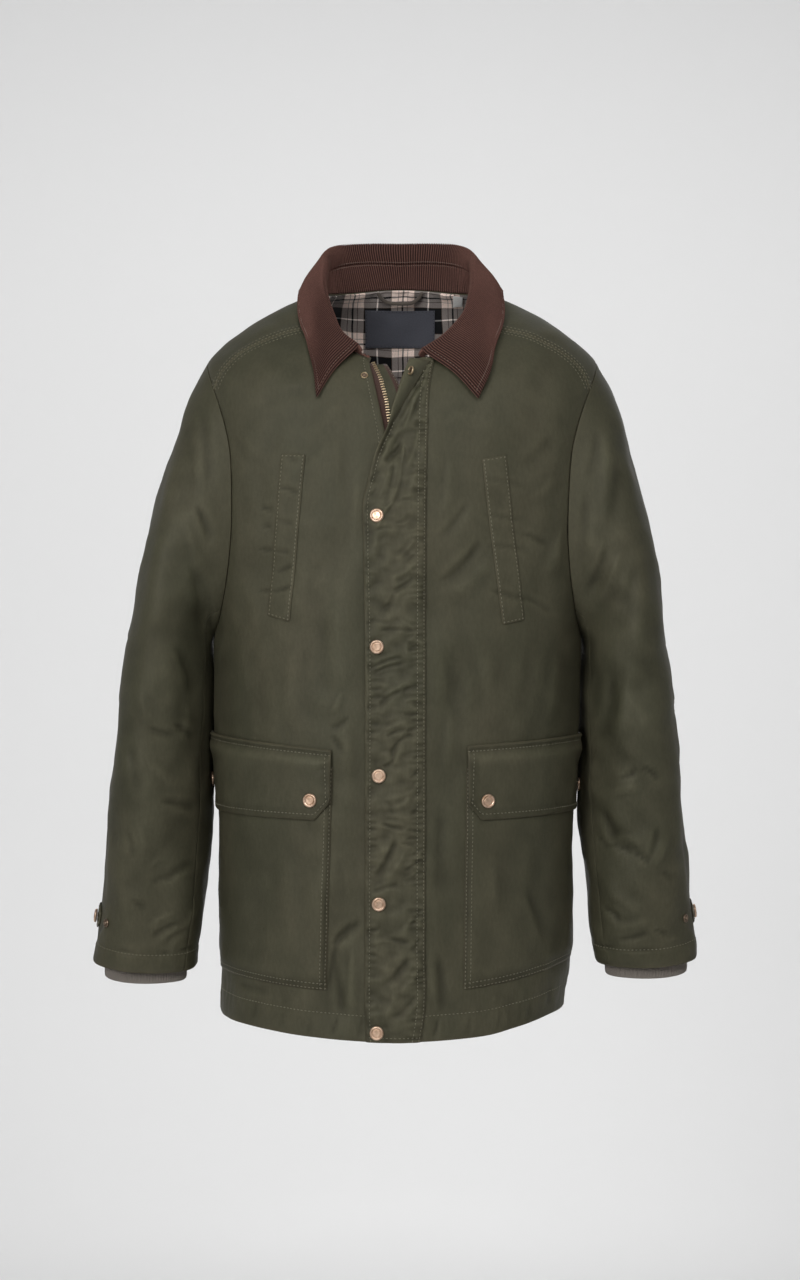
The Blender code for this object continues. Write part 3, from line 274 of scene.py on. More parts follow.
# ------------------------------------------------------------------ where the creases lie
# Columns, in millimetres: X and Z of the first point, of the last point, bow of the middle, half
# width, height.
FRONT_CREASES = (
    (-122, -172, -106, -178, 1.5, 2.4, -1.3), (-130, -203, -104, -213, 2.5, 2.4, -1.5),
    (-149, -224, -133, -228, 1, 2.6, -1.5), (-133, -238, -109, -243, 1.2, 2.4, -1.1),
    (-149, -242, -134, -246, 0, 2.3, -1), (-152, -268, -132, -269, 0, 2.5, -1.3),
    (-134, -270, -114, -273, 1, 2.3, -1.1), (-132, -292, -111, -284, -1.2, 2.5, -1.5),
    (-152, -311, -134, -312, 0, 2.4, -1.2), (-138, -313, -111, -306, -1.2, 2.5, -1.6),
    (-105, -185, -77, -154, 2.1, 5.2, -0.6),
    (-98, -321, -82, -279, 2.1, 7.3, -0.7), (-63, -279, -61, -426, 0, 14.7, 1),
    (-82, -321, -86, -447, 2.1, 9.4, -0.6), (-40, -651, -71, -675, 2.1, 5.3, -2),
    (-68, -693, -60, -761, 0, 4.4, -1.9), (-50, -677, -52, -750, 0, 4, 1.5),
    (-155, -363, -161, -455, 3.1, 12.6, -0.9), (-176, -279, -145, -363, 4.2, 10.5, 0.7),
    (-105, -363, -119, -451, -3.1, 8.4, 0.7), (-168, -562, -149, -688, 5.2, 14.7, -1.1),
    (-120, -572, -105, -698, -4.2, 12.6, 0.9), (-176, -729, -136, -734, 0, 4.2, -1),
    (-65, -753, -72, -776, 0, 1.8, -1.7), (-40, -748, -43, -778, 0, 2.7, -0.9),
    (-92, -755, -98, -776, 0, 2.5, -0.8), (-121, -748, -126, -771, 0, 2.5, -0.8),
    (-151, -742, -157, -765, 0, 2.5, -0.8), (-94, -91, -145, -114, 3.1, 8.4, -0.6),
    (-63, -112, -105, -154, 3.1, 8.4, 0.6), (-182, -143, -147, -185, -3.1, 7.3, -0.7),
    (-58, -143, -50, -237, -3.1, 8.4, -0.7), (-47, -185, -50, -279, 2.1, 6.3, 0.7),
    (-52, -447, -45, -520, 2.1, 7.3, -0.7), (-58, -583, -50, -656, 0, 7.3, 0.6),
    (88, -254, 36, -309, 4.2, 6.3, -1.9), (73, -214, 38, -260, 3.1, 5.2, -1.1),
    (96, -275, 50, -321, 3.1, 7.3, 1.1), (84, -195, 136, -204, 2.1, 3.1, -0.8),
    (84, -229, 136, -237, -2.1, 3.1, -0.8), (88, -265, 140, -271, 2.1, 3.1, -0.9),
    (90, -309, 142, -321, -2.1, 3.6, -1.1), (126, -251, 161, -266, 2.1, 3.6, -1.1),
    (128, -317, 161, -336, 2.1, 3.6, -1.1), (168, -185, 136, -216, 3.1, 6.3, 0.9),
    (163, -143, 126, -185, 3.1, 8.4, -1.1), (174, -237, 151, -300, 3.1, 7.3, 1.2),
    (40, -688, 46, -756, 0, 5.2, -1.4), (31, -677, 34, -740, 0, 4.2, 0.9),
    (52, -363, 65, -468, -3.1, 11.5, -1.4), (84, -373, 96, -457, 3.1, 10.5, 1.3),
    (136, -363, 126, -455, 3.1, 12.6, -1.3), (168, -363, 159, -455, 0, 8.4, 1.1),
    (105, -572, 121, -698, -4.2, 13.6, -1.7), (147, -562, 155, -688, 3.1, 11.5, 1.4),
    (41, -750, 35, -776, 0, 1.8, -2), (73, -753, 69, -773, 0, 2.5, -1.1),
    (105, -748, 102, -769, 0, 2.5, -0.8), (136, -740, 134, -763, 0, 2.5, -1.1),
    (159, -729, 157, -753, 0, 2.5, -1.1), (42, -133, 73, -112, 2.1, 8.4, -0.9),
    (52, -164, 46, -237, 2.1, 6.3, 0.9), (42, -531, 40, -635, 0, 7.3, -1.1),
    (54, -426, 48, -510, 0, 6.3, 0.9),
    (-52, -655, -73, -681, 2, 3.2, -2.2), (-63, -668, -74, -733, -3, 3.4, -1.8),
    (-73, -460, -60, -483, 1, 3.2, -1.6), (-52, -441, -73, -457, 1.5, 3.2, -1.6),
    (129, -620, 155, -685, 2, 6, -1.6),
    (-60, -415, -72, -440, 1, 3, 1.3),
)
SLEEVE_R_CREASES = (
    (-215, -107, -201, -208, 3.2, 6.4, -1.9), (-225, -128, -214, -213, 3.2, 6.4, 0.9),
    (-218, -218, -200, -261, 2.1, 5.4, -2.2), (-229, -235, -214, -299, 3.2, 6.4, 1),
    (-223, -277, -210, -363, 4.3, 8.6, -2), (-268, -277, -255, -363, 3.2, 12.8, 0.9),
    (-240, -363, -218, -427, 3.2, 7.5, -1.9), (-257, -363, -240, -449, 3.2, 8.6, 0.9),
    (-280, -417, -268, -453, 2.1, 5.4, 1), (-270, -455, -238, -464, -2.1, 4.2, -1.7),
    (-244, -451, -221, -472, 2.1, 4.2, -1.8), (-229, -427, -233, -472, 2.1, 4.3, 0.9),
    (-210, -449, -214, -530, 2.1, 7.5, -2.2), (-291, -470, -278, -534, 2.1, 6.7, -1.4),
    (-272, -491, -240, -524, 2.1, 5, 0.9), (-259, -534, -218, -547, 2.1, 5, -1.8),
    (-283, -556, -271, -590, 2.1, 3.4, 0.9), (-295, -562, -285, -598, 2.1, 4.2, -1.5),
    (-268, -607, -248, -593, 2.1, 3.4, 0.9), (-250, -620, -218, -601, 2.1, 5, -1.8),
    (-268, -624, -240, -616, 2.1, 4.2, -1.2), (-233, -664, -268, -685, -3.2, 3.4, -1.7),
    (-227, -673, -254, -689, -2.1, 2.9, -1.4), (-240, -654, -270, -673, -3.2, 3.4, 1),
    (-223, -648, -233, -673, 2.1, 3.4, 0.9), (-261, -697, -246, -700, 0, 2.2, -1.1),
    (-308, -693, -283, -700, 0, 2.5, -0.9), (-238, -697, -223, -695, 0, 2.2, -1.1),
    (-291, -641, -272, -654, 2.1, 4.2, -1.1), (-283, -128, -253, -181, 4.3, 12.8, -1.2),
    (-268, -85, -235, -106, 3.2, 9.6, -1.1),
)
SLEEVE_L_CREASES = (
    (208, -138, 196, -196, 3.2, 6.4, -2.4), (196, -196, 187, -290, 2.1, 5.4, -2.1),
    (218, -149, 211, -235, 3.2, 7.5, 1.3), (231, -160, 221, -256, 3.2, 8.6, -1.5),
    (235, -262, 201, -339, 4.3, 6.4, 1.4), (221, -256, 193, -320, 4.3, 6.4, -2.3),
    (250, -277, 221, -363, 4.3, 8.6, -1.7), (226, -389, 214, -479, 3.2, 7.5, -2.9),
    (244, -384, 231, -474, 3.2, 8.6, 1.3), (210, -363, 201, -427, 3.2, 6.4, 0.9),
    (263, -320, 257, -427, 2.1, 11.8, -1.2), (210, -487, 206, -534, 0, 5, 1),
    (231, -511, 253, -499, -3.2, 3.4, -1.7), (253, -499, 276, -513, 3.2, 3.4, -1.7),
    (225, -524, 257, -515, -3.2, 5, 1.1), (216, -541, 227, -584, 2.1, 5, -1.8),
    (221, -584, 248, -591, 2.1, 3.4, -1.7), (248, -591, 268, -603, 2.1, 3.4, -1.7),
    (227, -573, 261, -584, 2.1, 4.2, 1.2), (262, -602, 276, -559, -3.2, 3.4, -1.7),
    (270, -607, 287, -566, -3.2, 4.2, 1.1), (211, -573, 223, -590, 1.1, 2.9, -1.4),
    (216, -648, 238, -667, 2.1, 3.4, -1.7), (221, -635, 257, -656, 2.1, 5, 0.9),
    (231, -684, 270, -673, -3.2, 3.4, -1.7), (270, -673, 287, -682, 2.1, 2.9, -1.4),
    (227, -671, 268, -661, -3.2, 4.2, 1.2), (241, -697, 272, -695, 0, 2.2, -1.1),
    (283, -688, 300, -682, 0, 2.5, 0.8), (214, -691, 229, -697, 0, 2.5, -1.3),
    (278, -609, 295, -620, 0, 5, -1.2), (244, -427, 263, -459, 2.1, 6.4, 0.9),
)
FLAP_CREASES = (
    (31, -85, 3, -151, 4.2, 3.3, 1.6), (3, -151, -6, -218, 3.1, 1.8, 1.6),
    (-6, -218, -24, -249, -3.1, 1.8, 1.4), (2, -156, -19, -177, 3.1, 3.5, -2),
    (-6, -174, -17, -224, 2.1, 2, -1.3), (3, -169, -7, -227, 2.1, 2.3, -1.4),
    (-12, -178, -23, -218, 2.1, 2.1, 0.8), (-20, -186, -30, -200, -2.1, 1.7, -1.2),
    (-24, -203, -30, -214, 0, 1.9, -0.8), (15, -114, -4, -151, 2.1, 2.7, 1.2),
    (19, -139, 5, -186, 3.1, 2.7, 1.2), (18, -171, 6, -218, 3.1, 3.7, 0.9),
    (0, -217, 22, -219, 1, 1.7, -1.1), (-6, -241, 10, -236, -2.1, 1.9, -1.2),
    (-26, -250, -6, -248, 2.1, 1.8, -1.3), (-20, -253, -15, -286, -3.1, 5.2, -1.2),
    (16, -257, -6, -280, 2.1, 2.7, 1.1), (20, -267, 0, -286, 2.1, 2.3, -0.9),
    (19, -280, -12, -300, 3.1, 2.9, 1.3), (14, -297, -9, -313, 2.1, 2.9, -1.6),
    (6, -307, -19, -328, 2.1, 4.2, 0.8), (-6, -313, -18, -333, 2.1, 2.9, -1.3),
    (-37, -347, -25, -341, -1, 1.6, -1.3), (-28, -342, -9, -345, -1, 1.7, -1),
    (-23, -354, 17, -355, 2.1, 2, -1.4), (-1, -339, 17, -352, -2.1, 1.7, 1.1),
    (17, -352, 7, -364, 3.1, 1.7, 1.1), (8, -363, 11, -381, -3.1, 1.8, 0.9),
    (21, -363, 8, -375, 1, 1.9, -0.9), (-30, -393, 5, -381, 2.1, 1.9, -1),
    (-30, -389, -2, -380, 2.1, 1.9, 0.7), (-30, -399, 7, -388, 2.1, 2, -1.1),
    (-27, -395, 2, -385, 2.1, 1.7, 0.8), (-35, -407, -12, -406, 1, 1.7, -1),
    (-35, -414, -17, -413, -1, 1.7, -1), (-35, -424, -14, -423, 1, 1.8, -1.1),
    (-35, -433, -21, -432, 0, 1.7, -0.8), (-35, -442, -17, -441, 1, 1.7, -0.8),
    (24, -413, 2, -416, -2.1, 2.3, -1.7), (4, -415, -23, -436, -4.2, 3.1, -2),
    (10, -407, -17, -427, -3.1, 3.1, 1.2), (4, -427, 22, -424, 1, 2.1, 1),
    (3, -439, 21, -438, -2.1, 1.9, -1.2), (9, -445, 23, -443, 0, 1.7, 0.8),
    (-15, -465, 8, -456, 2.1, 2.1, -1.6), (6, -458, 19, -455, 0, 1.9, -1.2),
    (-17, -458, 10, -449, 2.1, 2.1, 1), (-5, -472, 16, -461, 2.1, 2.1, -1.6),
    (-33, -459, -19, -458, 0, 1.7, -1), (-35, -468, -21, -468, 1, 1.7, -0.9),
    (-35, -449, -21, -450, -1, 1.7, -0.8), (0, -468, -8, -487, -3.1, 2.5, -1.5),
    (-6, -485, -19, -495, 2.1, 2.3, -1.4), (4, -475, -4, -494, -3.1, 2.7, 1),
    (20, -479, 9, -492, 1, 1.9, -0.9), (20, -493, 9, -507, 2.1, 1.9, -1.2),
    (19, -509, 6, -524, 2.1, 2.1, 1.1), (22, -515, 11, -528, 2.1, 1.9, -1.1),
    (12, -524, -12, -539, 3.1, 3.5, 1.2), (21, -533, 10, -544, 1, 2, -1.2),
    (-17, -529, -8, -548, 3.1, 3.5, -0.9), (-35, -522, -23, -521, 0, 1.7, -0.8),
    (-21, -553, 8, -560, -1, 2.3, -1.8), (6, -559, 23, -563, 0, 2, -1.4),
    (-17, -546, 15, -551, 2.1, 3.1, 1), (5, -570, 22, -569, 1, 1.9, -1.6),
    (0, -573, 21, -581, 1, 1.8, -1.2), (22, -580, 12, -586, 0, 1.8, -1.6),
    (-35, -553, -23, -553, 0, 1.7, -1), (-35, -561, -22, -560, 1, 1.7, -1),
    (-35, -570, -23, -571, 0, 1.7, -1), (-35, -578, -23, -577, 0, 1.7, -0.9),
    (-35, -588, -23, -589, 0, 1.7, -0.9), (-35, -600, -24, -599, 0, 1.7, -0.8),
    (-4, -565, -27, -612, 3.1, 3.7, -2), (4, -581, -15, -612, 3.1, 3.5, 1.1),
    (22, -589, 4, -602, 1, 2.1, -1.7), (20, -600, 4, -611, 1, 2.1, 0.9),
    (-30, -626, 0, -616, 1, 2.3, -1.2),
    (-37, -665, -20, -662, -1, 1.9, -1.3), (-15, -671, 12, -677, -1, 2.7, -1.3),
    (-29, -678, -6, -673, 1, 2.9, 0.9), (20, -640, 10, -660, 2.1, 2.3, -1.3),
    (20, -668, 10, -687, 2.1, 2.3, -1.3), (12, -646, 2, -666, 2.1, 2.7, 0.8),
    (-35, -681, -23, -681, 0, 1.7, -0.9), (-35, -689, -23, -690, 0, 1.7, -0.9),
    (-35, -698, -24, -698, 0, 1.7, -0.8), (10, -690, -23, -727, 3.1, 4.8, -1.6),
    (19, -702, -4, -731, 3.1, 4.2, 1.1), (21, -704, 15, -718, 0, 2.1, -1.1),
    (19, -727, -7, -755, 2.1, 3.9, -1.2), (-6, -727, -17, -758, 2.1, 3.5, 0.9),
    (-35, -711, -24, -712, 0, 1.7, -0.8), (-35, -738, -25, -738, 0, 1.7, -0.7),
    (21, -739, 12, -751, 0, 2.1, -0.9),
    (36, -72, -14, -163, -3, 2.6, -2), (33, -84, 2, -150, -2, 2.6, 1.4),
)
BACK_CREASES = (
    (-60, -190, -110, -300, 6, 9, -1.4), (60, -180, 120, -290, -6, 9, -1.5),
    (-20, -200, -30, -330, 4, 12, 1.3), (150, -250, 90, -310, 5, 7, -1.3),
    (-150, -260, -85, -320, -5, 7, -1.4), (-120, -400, -60, -470, 5, 9, -1),
    (40, -380, 110, -450, -5, 10, 1), (0, -420, -14, -560, 6, 12, -1.3),
    (80, -500, 96, -640, 6, 11, 1.4), (-90, -520, -104, -660, -5, 11, -1.3),
    (-30, -600, -36, -750, 3, 9, 1.2), (50, -610, 44, -752, 3, 8, -1.2),
    (130, -560, 142, -700, 4, 10, -1), (-140, -600, -150, -740, 4, 9, 1),
    (-170, -300, -120, -340, -4, 5, -1.4), (168, -310, 118, -352, 4, 5, -1.3),
    (-165, -340, -125, -372, -4, 5, 1), (20, -120, 70, -150, -4, 8, -1),
    (-20, -118, -72, -152, 4, 8, -0.8), (-100, -756, -104, -772, 0, 3, -0.7),
    (-40, -758, -42, -774, 0, 3, -0.7), (10, -756, 8, -774, 0, 3, -0.6),
    (70, -756, 72, -772, 0, 3, -0.7), (120, -752, 124, -768, 0, 3, -0.6),
)
SLEEVE_BACK_CREASES = (
    (230, -160, 250, -240, 5, 9, 1.3), (262, -230, 244, -320, 5, 8, -1.5),
    (226, -300, 262, -352, -5, 6, -1.7), (286, -330, 240, -372, 5, 6, -1.8),
    (222, -372, 276, -404, -5, 6, 1.5), (292, -392, 236, -436, 6, 6, -1.9),
    (226, -430, 282, -458, -5, 5, -1.7), (296, -450, 250, -486, 5, 6, 1.3),
    (230, -480, 286, -520, -5, 7, -1.5), (300, -520, 262, -590, 6, 8, -1.3),
    (236, -560, 254, -640, 4, 8, 1.3), (292, -600, 276, -680, 3, 7, -1.3),
    (240, -662, 270, -690, 4, 4, -1.3), (300, -660, 284, -700, 3, 4, 1),
)
# The same for the sides, with Y in place of X.
SLEEVE_SIDE_CREASES = (
    (-50, -150, -20, -230, 6, 9, 1), (40, -160, 10, -250, 6, 9, -1),
    (-60, -260, -10, -330, -6, 8, -1.4), (50, -300, 0, -372, 6, 8, 1.3),
    (-64, -350, 10, -392, -5, 6, -1.5), (60, -380, 4, -420, 5, 6, -1.5),
    (-66, -410, -6, -452, -5, 6, 1.3), (40, -440, -22, -480, 5, 6, -1.4),
    (-70, -470, -20, -520, -4, 7, -1.2), (30, -520, -10, -600, 5, 9, 1),
    (-56, -560, -40, -650, 4, 8, -1.2), (0, -600, -14, -690, 3, 8, -1),
    (-50, -668, -22, -694, 3, 4, -1.3), (10, -660, -8, -690, 3, 4, 1),
)


# ------------------------------------------------------------------ the body surface
class Surface:
    """A surface that cloth is laid on; a place on it is a pair of numbers."""

    def face(self, first: Array, second: Array) -> tuple[Array, Array, Array]:
        """Bare points, outward directions and relief of a grid of places."""
        raise NotImplementedError

    def place(self, first: Array, second: Array, lift: Array | float = 0.0) -> Array:
        """Points of the cloth's outer face, raised by lift."""
        points, normals, relief = self.face(first, second)
        return points + normals * (relief + lift)[..., None]


@dataclass(frozen=True)
class Body(Surface):
    """The body surface: closed rings from hem to neckline.

    rings has a row for each ring: length up the side, half width, front depth, back depth, height
    at centre front, at the side and at centre back, roundness of the outline, and how the front
    height falls away round the ring.
    """

    rings: tuple = (
        (0.000, 0.1925, 0.152, 0.140, -0.7800, -0.7660, -0.7720, 2.30, 2.0),
        (0.080, 0.1900, 0.151, 0.139, -0.7000, -0.6880, -0.6920, 2.30, 2.0),
        (0.215, 0.1905, 0.148, 0.137, -0.5620, -0.5530, -0.5560, 2.40, 2.0),
        (0.310, 0.1948, 0.1455, 0.136, -0.4640, -0.4580, -0.4600, 2.45, 2.0),
        (0.405, 0.1968, 0.143, 0.135, -0.3660, -0.3630, -0.3640, 2.50, 2.0),
        (0.505, 0.2035, 0.140, 0.134, -0.2800, -0.2630, -0.2700, 2.55, 2.0),
        (0.605, 0.2100, 0.133, 0.130, -0.1980, -0.1630, -0.1720, 2.60, 2.0),
        (0.705, 0.2145, 0.122, 0.122, -0.1250, -0.0630, -0.0750, 2.50, 2.0),
        (0.757, 0.1785, 0.115, 0.112, -0.1040, -0.0265, -0.0350, 2.35, 1.7),
        (0.808, 0.1350, 0.108, 0.098, -0.0850, 0.0005, 0.0030, 2.20, 1.4),
        (0.862, 0.0880, 0.098, 0.080, -0.0685, 0.0205, 0.0340, 2.10, 1.1),
    )
    # Broad folds.  Columns: 1 for front or -1 for back, first and last point (X, Z), half width
    # and height.
    folds: tuple = (
        (1, 0.150, -0.250, 0.075, -0.215, 0.020, -0.0022),
        (1, -0.150, -0.290, -0.080, -0.270, 0.018, -0.0020),
        (1, 0.085, -0.270, 0.045, -0.330, 0.020, -0.0028),
        (1, -0.055, -0.320, -0.052, -0.470, 0.022, 0.0022),
        (1, -0.052, -0.640, -0.070, -0.740, 0.018, -0.0024),
        (1, 0.048, -0.620, 0.044, -0.740, 0.018, -0.0026),
        (1, 0.120, -0.600, 0.165, -0.700, 0.026, -0.0022),
        (1, -0.120, -0.610, -0.160, -0.690, 0.026, -0.0020),
        (-1, -0.020, -0.180, -0.090, -0.420, 0.030, -0.0035),
        (-1, 0.030, -0.200, 0.100, -0.440, 0.030, -0.0035),
        (-1, -0.060, -0.520, -0.050, -0.740, 0.026, 0.0030),
        (-1, 0.070, -0.500, 0.060, -0.740, 0.026, 0.0030),
    )
    creases: tuple[Creases, ...] = (
        Creases(Facing.FRONT, FRONT_CREASES),
        Creases(Facing.BACK, BACK_CREASES),
    )
    ripple: Ripple = Ripple(seed=11, height=0.0005)
    hang_top: float = 0.0
    hang_drop: float = 0.55
    hang_start: float = 0.0025
    hang_shift: float = -0.0070
    hem_rise: float = 0.008
    hem_tuck: float = 0.008
    armhole_middle: float = 0.560
    armhole_half: float = 0.150
    armhole_front: float = math.radians(26)
    armhole_back: float = math.radians(27)
    armhole_round: float = 2.3
    chest_fill: float = 0.007
    side_fill: float = 0.0050
    search_steps: int = 14

    def hang(self, x: Array, z: Array) -> Array:
        """X with the small sideways hang of the jacket added."""
        return x + self.hang_start + self.hang_shift * ease((self.hang_top - z) / self.hang_drop)

    def bare(self, angle: Array, up: Array) -> Array:
        """Places the surface with no folds.

        Args:
            angle: Angle round the body.
            up: Length up its side.

        Returns:
            The points.
        """
        columns = np.moveaxis(smooth(self.rings, up), -1, 0)
        width, front, back, z_front, z_side, z_back, power, fall = columns
        sine, cosine = np.sin(angle), np.cos(angle)
        depth = np.where(cosine > 0, front, back)
        reach = reach_of(sine / width, cosine / depth, power)
        z = z_side + (z_front - z_side) * np.maximum(cosine, 0) ** fall
        z = z + (z_back - z_side) * np.maximum(-cosine, 0) ** 2
        x = self.hang(reach * sine, z)
        z = z + self.hem_rise * ease((x - 0.07) / 0.12) * ease((0.12 - up) / 0.12)
        x = x - self.hem_tuck * ease((x - 0.08) / 0.10) * ease((0.050 - up) / 0.050)
        forward = self.chest_fill * self.near_armhole(angle, up)
        return np.stack([x, -reach * cosine - forward, z], axis=-1)

    def near_armhole(self, angle: Array, up: Array) -> Array:
        """1 along the front of each armhole, falling to 0 away from it.

        Args:
            angle: Angle round the body.
            up: Length up its side.

        Returns:
            The share at each place.
        """
        aside = math.pi / 2 - np.abs(wrapped(angle))
        share, power = np.maximum(aside, 0) / self.armhole_front, self.armhole_round
        tall = np.abs((up - self.armhole_middle) / self.armhole_half)
        ring = (share**power + tall**power) ** (1 / power)
        return np.exp(-(((ring - 1) / 0.42) ** 2)) * ease(share / 0.9) * ease((1.25 - tall) / 0.6)

    def normal(self, angle: Array, up: Array) -> Array:
        """Outward directions.

        Args:
            angle: Angle round the body.
            up: Length up its side.

        Returns:
            The directions, of length 1.
        """
        across = self.bare(angle + SLOPE_STEP, up) - self.bare(angle - SLOPE_STEP, up)
        above = self.bare(angle, np.minimum(up + SLOPE_STEP, NECKLINE))
        return unit(np.cross(across, above - self.bare(angle, up - SLOPE_STEP)))

    def armhole(self, turn: Array) -> tuple[Array, Array]:
        """Angle and length up the body round the armhole; turn is 0 on top, 90 degrees in front.

        Args:
            turn: Where on the armhole.

        Returns:
            The angles and the lengths.
        """
        cosine, sine = np.cos(turn), np.sin(turn)
        reach = reach_of(cosine, sine, self.armhole_round)
        depth = np.where(sine > 0, self.armhole_front, self.armhole_back)
        up = self.armhole_middle + self.armhole_half * cosine * reach
        return math.pi / 2 - depth * sine * reach, up

    def calm(self, angle: Array, up: Array) -> Array:
        """0 at the armholes and the neckline, where other cloth is sewn on, 1 away from them.

        Args:
            angle: Angle round the body.
            up: Length up its side.

        Returns:
            The share at each place.
        """
        aside = math.pi / 2 - np.abs(wrapped(angle))
        depth = np.where(aside > 0, self.armhole_front, self.armhole_back)
        power = self.armhole_round
        ring = np.abs(aside / depth) ** power
        ring = ring + np.abs((up - self.armhole_middle) / self.armhole_half) ** power
        return ease((ring ** (1 / power) - 1) / 0.22) * ease((NECKLINE - up) / 0.035)

    def relief(self, angle: Array, up: Array, points: Array, normals: Array) -> Array:
        """Adds up folds, creases and ripples.

        Args:
            angle: Angle round the body.
            up: Length up its side.
            points: Bare points there.
            normals: Outward directions there.

        Returns:
            Their height at each point.
        """
        x, y, z = points[..., 0], points[..., 1], points[..., 2]
        broad = np.zeros_like(x)
        for side, x0, z0, x1, z1, half, height in self.folds:
            run = np.array([x1 - x0, z1 - z0])
            along = np.clip(((x - x0) * run[0] + (z - z0) * run[1]) / float(run @ run), 0.0, 1.0)
            off = np.hypot(x - x0 - along * run[0], z - z0 - along * run[1])
            broad += np.where(y * side < 0, height * ease(1 - off / (2 * half)), 0.0)
        fine = self.ripple.at(points)
        for creases in self.creases:
            fine = fine + creases.height(points, normals)
        side = self.side_fill * ease((z + 0.500) / 0.035) * ease((-0.335 - z) / 0.035)
        side = side * np.exp(-(((y + 0.030) / 0.026) ** 2)) * (np.abs(x) > 0.15)
        return broad + side + fine * self.calm(angle, up)

    def face(self, angle: Array, up: Array) -> tuple[Array, Array, Array]:
        """Bare points, outward directions and relief of a grid of places.

        Args:
            angle: Angle round the body.
            up: Length up its side.

        Returns:
            The points, the directions and the relief.
        """
        angle, up = np.broadcast_arrays(np.asarray(angle, float), np.asarray(up, float))
        points, normals = self.bare(angle, up), self.normal(angle, up)
        return points, normals, self.relief(angle, up, points, normals)

    def on_front(self, x: Array, z: Array) -> tuple[Array, Array]:
        """Finds places on the front from a first guess, by Newton's steps.

        Args:
            x: X of each point.
            z: Z of each point.

        Returns:
            Angle and length up the body of the front points that have this X and Z.
        """
        x, z = np.broadcast_arrays(np.asarray(x, float), np.asarray(z, float))
        angle, up = np.clip(x / 0.14, -1.2, 1.2), np.clip((z + 0.78) * 0.98, 0.01, NECKLINE - 0.01)
        for _ in range(self.search_steps):
            now = self.bare(angle, up)
            by_angle = (self.bare(angle + SLOPE_STEP, up) - now) / SLOPE_STEP
            lower = np.minimum(up, NECKLINE - SLOPE_STEP)
            by_up = (self.bare(angle, lower + SLOPE_STEP) - self.bare(angle, lower)) / SLOPE_STEP
            dx, dz = x - now[..., 0], z - now[..., 2]
            square = by_angle[..., 0] * by_up[..., 2] - by_up[..., 0] * by_angle[..., 2]
            square = np.where(np.abs(square) < 1e-6, 1e-6, square)
            step_angle = (dx * by_up[..., 2] - dz * by_up[..., 0]) / square
            step_up = (dz * by_angle[..., 0] - dx * by_angle[..., 2]) / square
            angle = np.clip(angle + np.clip(step_angle, -0.15, 0.15), -1.6, 1.6)
            up = np.clip(up + np.clip(step_up, -0.05, 0.05), 0.0, NECKLINE)
        return angle, up

    def front_at(self, x: Array, z: Array) -> tuple[Array, Array, Array]:
        """Bare points, outward directions and relief of front points that have this X and Z."""
        return self.face(*self.on_front(x, z))

    def strip(self, near: Array, far: Array, heights: Array, shares: Array) -> tuple[Array, ...]:
        """Lays out a strip of the front between two lines.

        Args:
            near: X of the first line at each height.
            far: X of the other line.
            heights: Z of each row.
            shares: Shares of the way across, 0 to 1.

        Returns:
            X of each point, then bare points, outward directions and relief.
        """
        x = near[:, None] + (far - near)[:, None] * shares[None]
        return x, *self.front_at(x, np.repeat(heights[:, None], len(shares), axis=1))


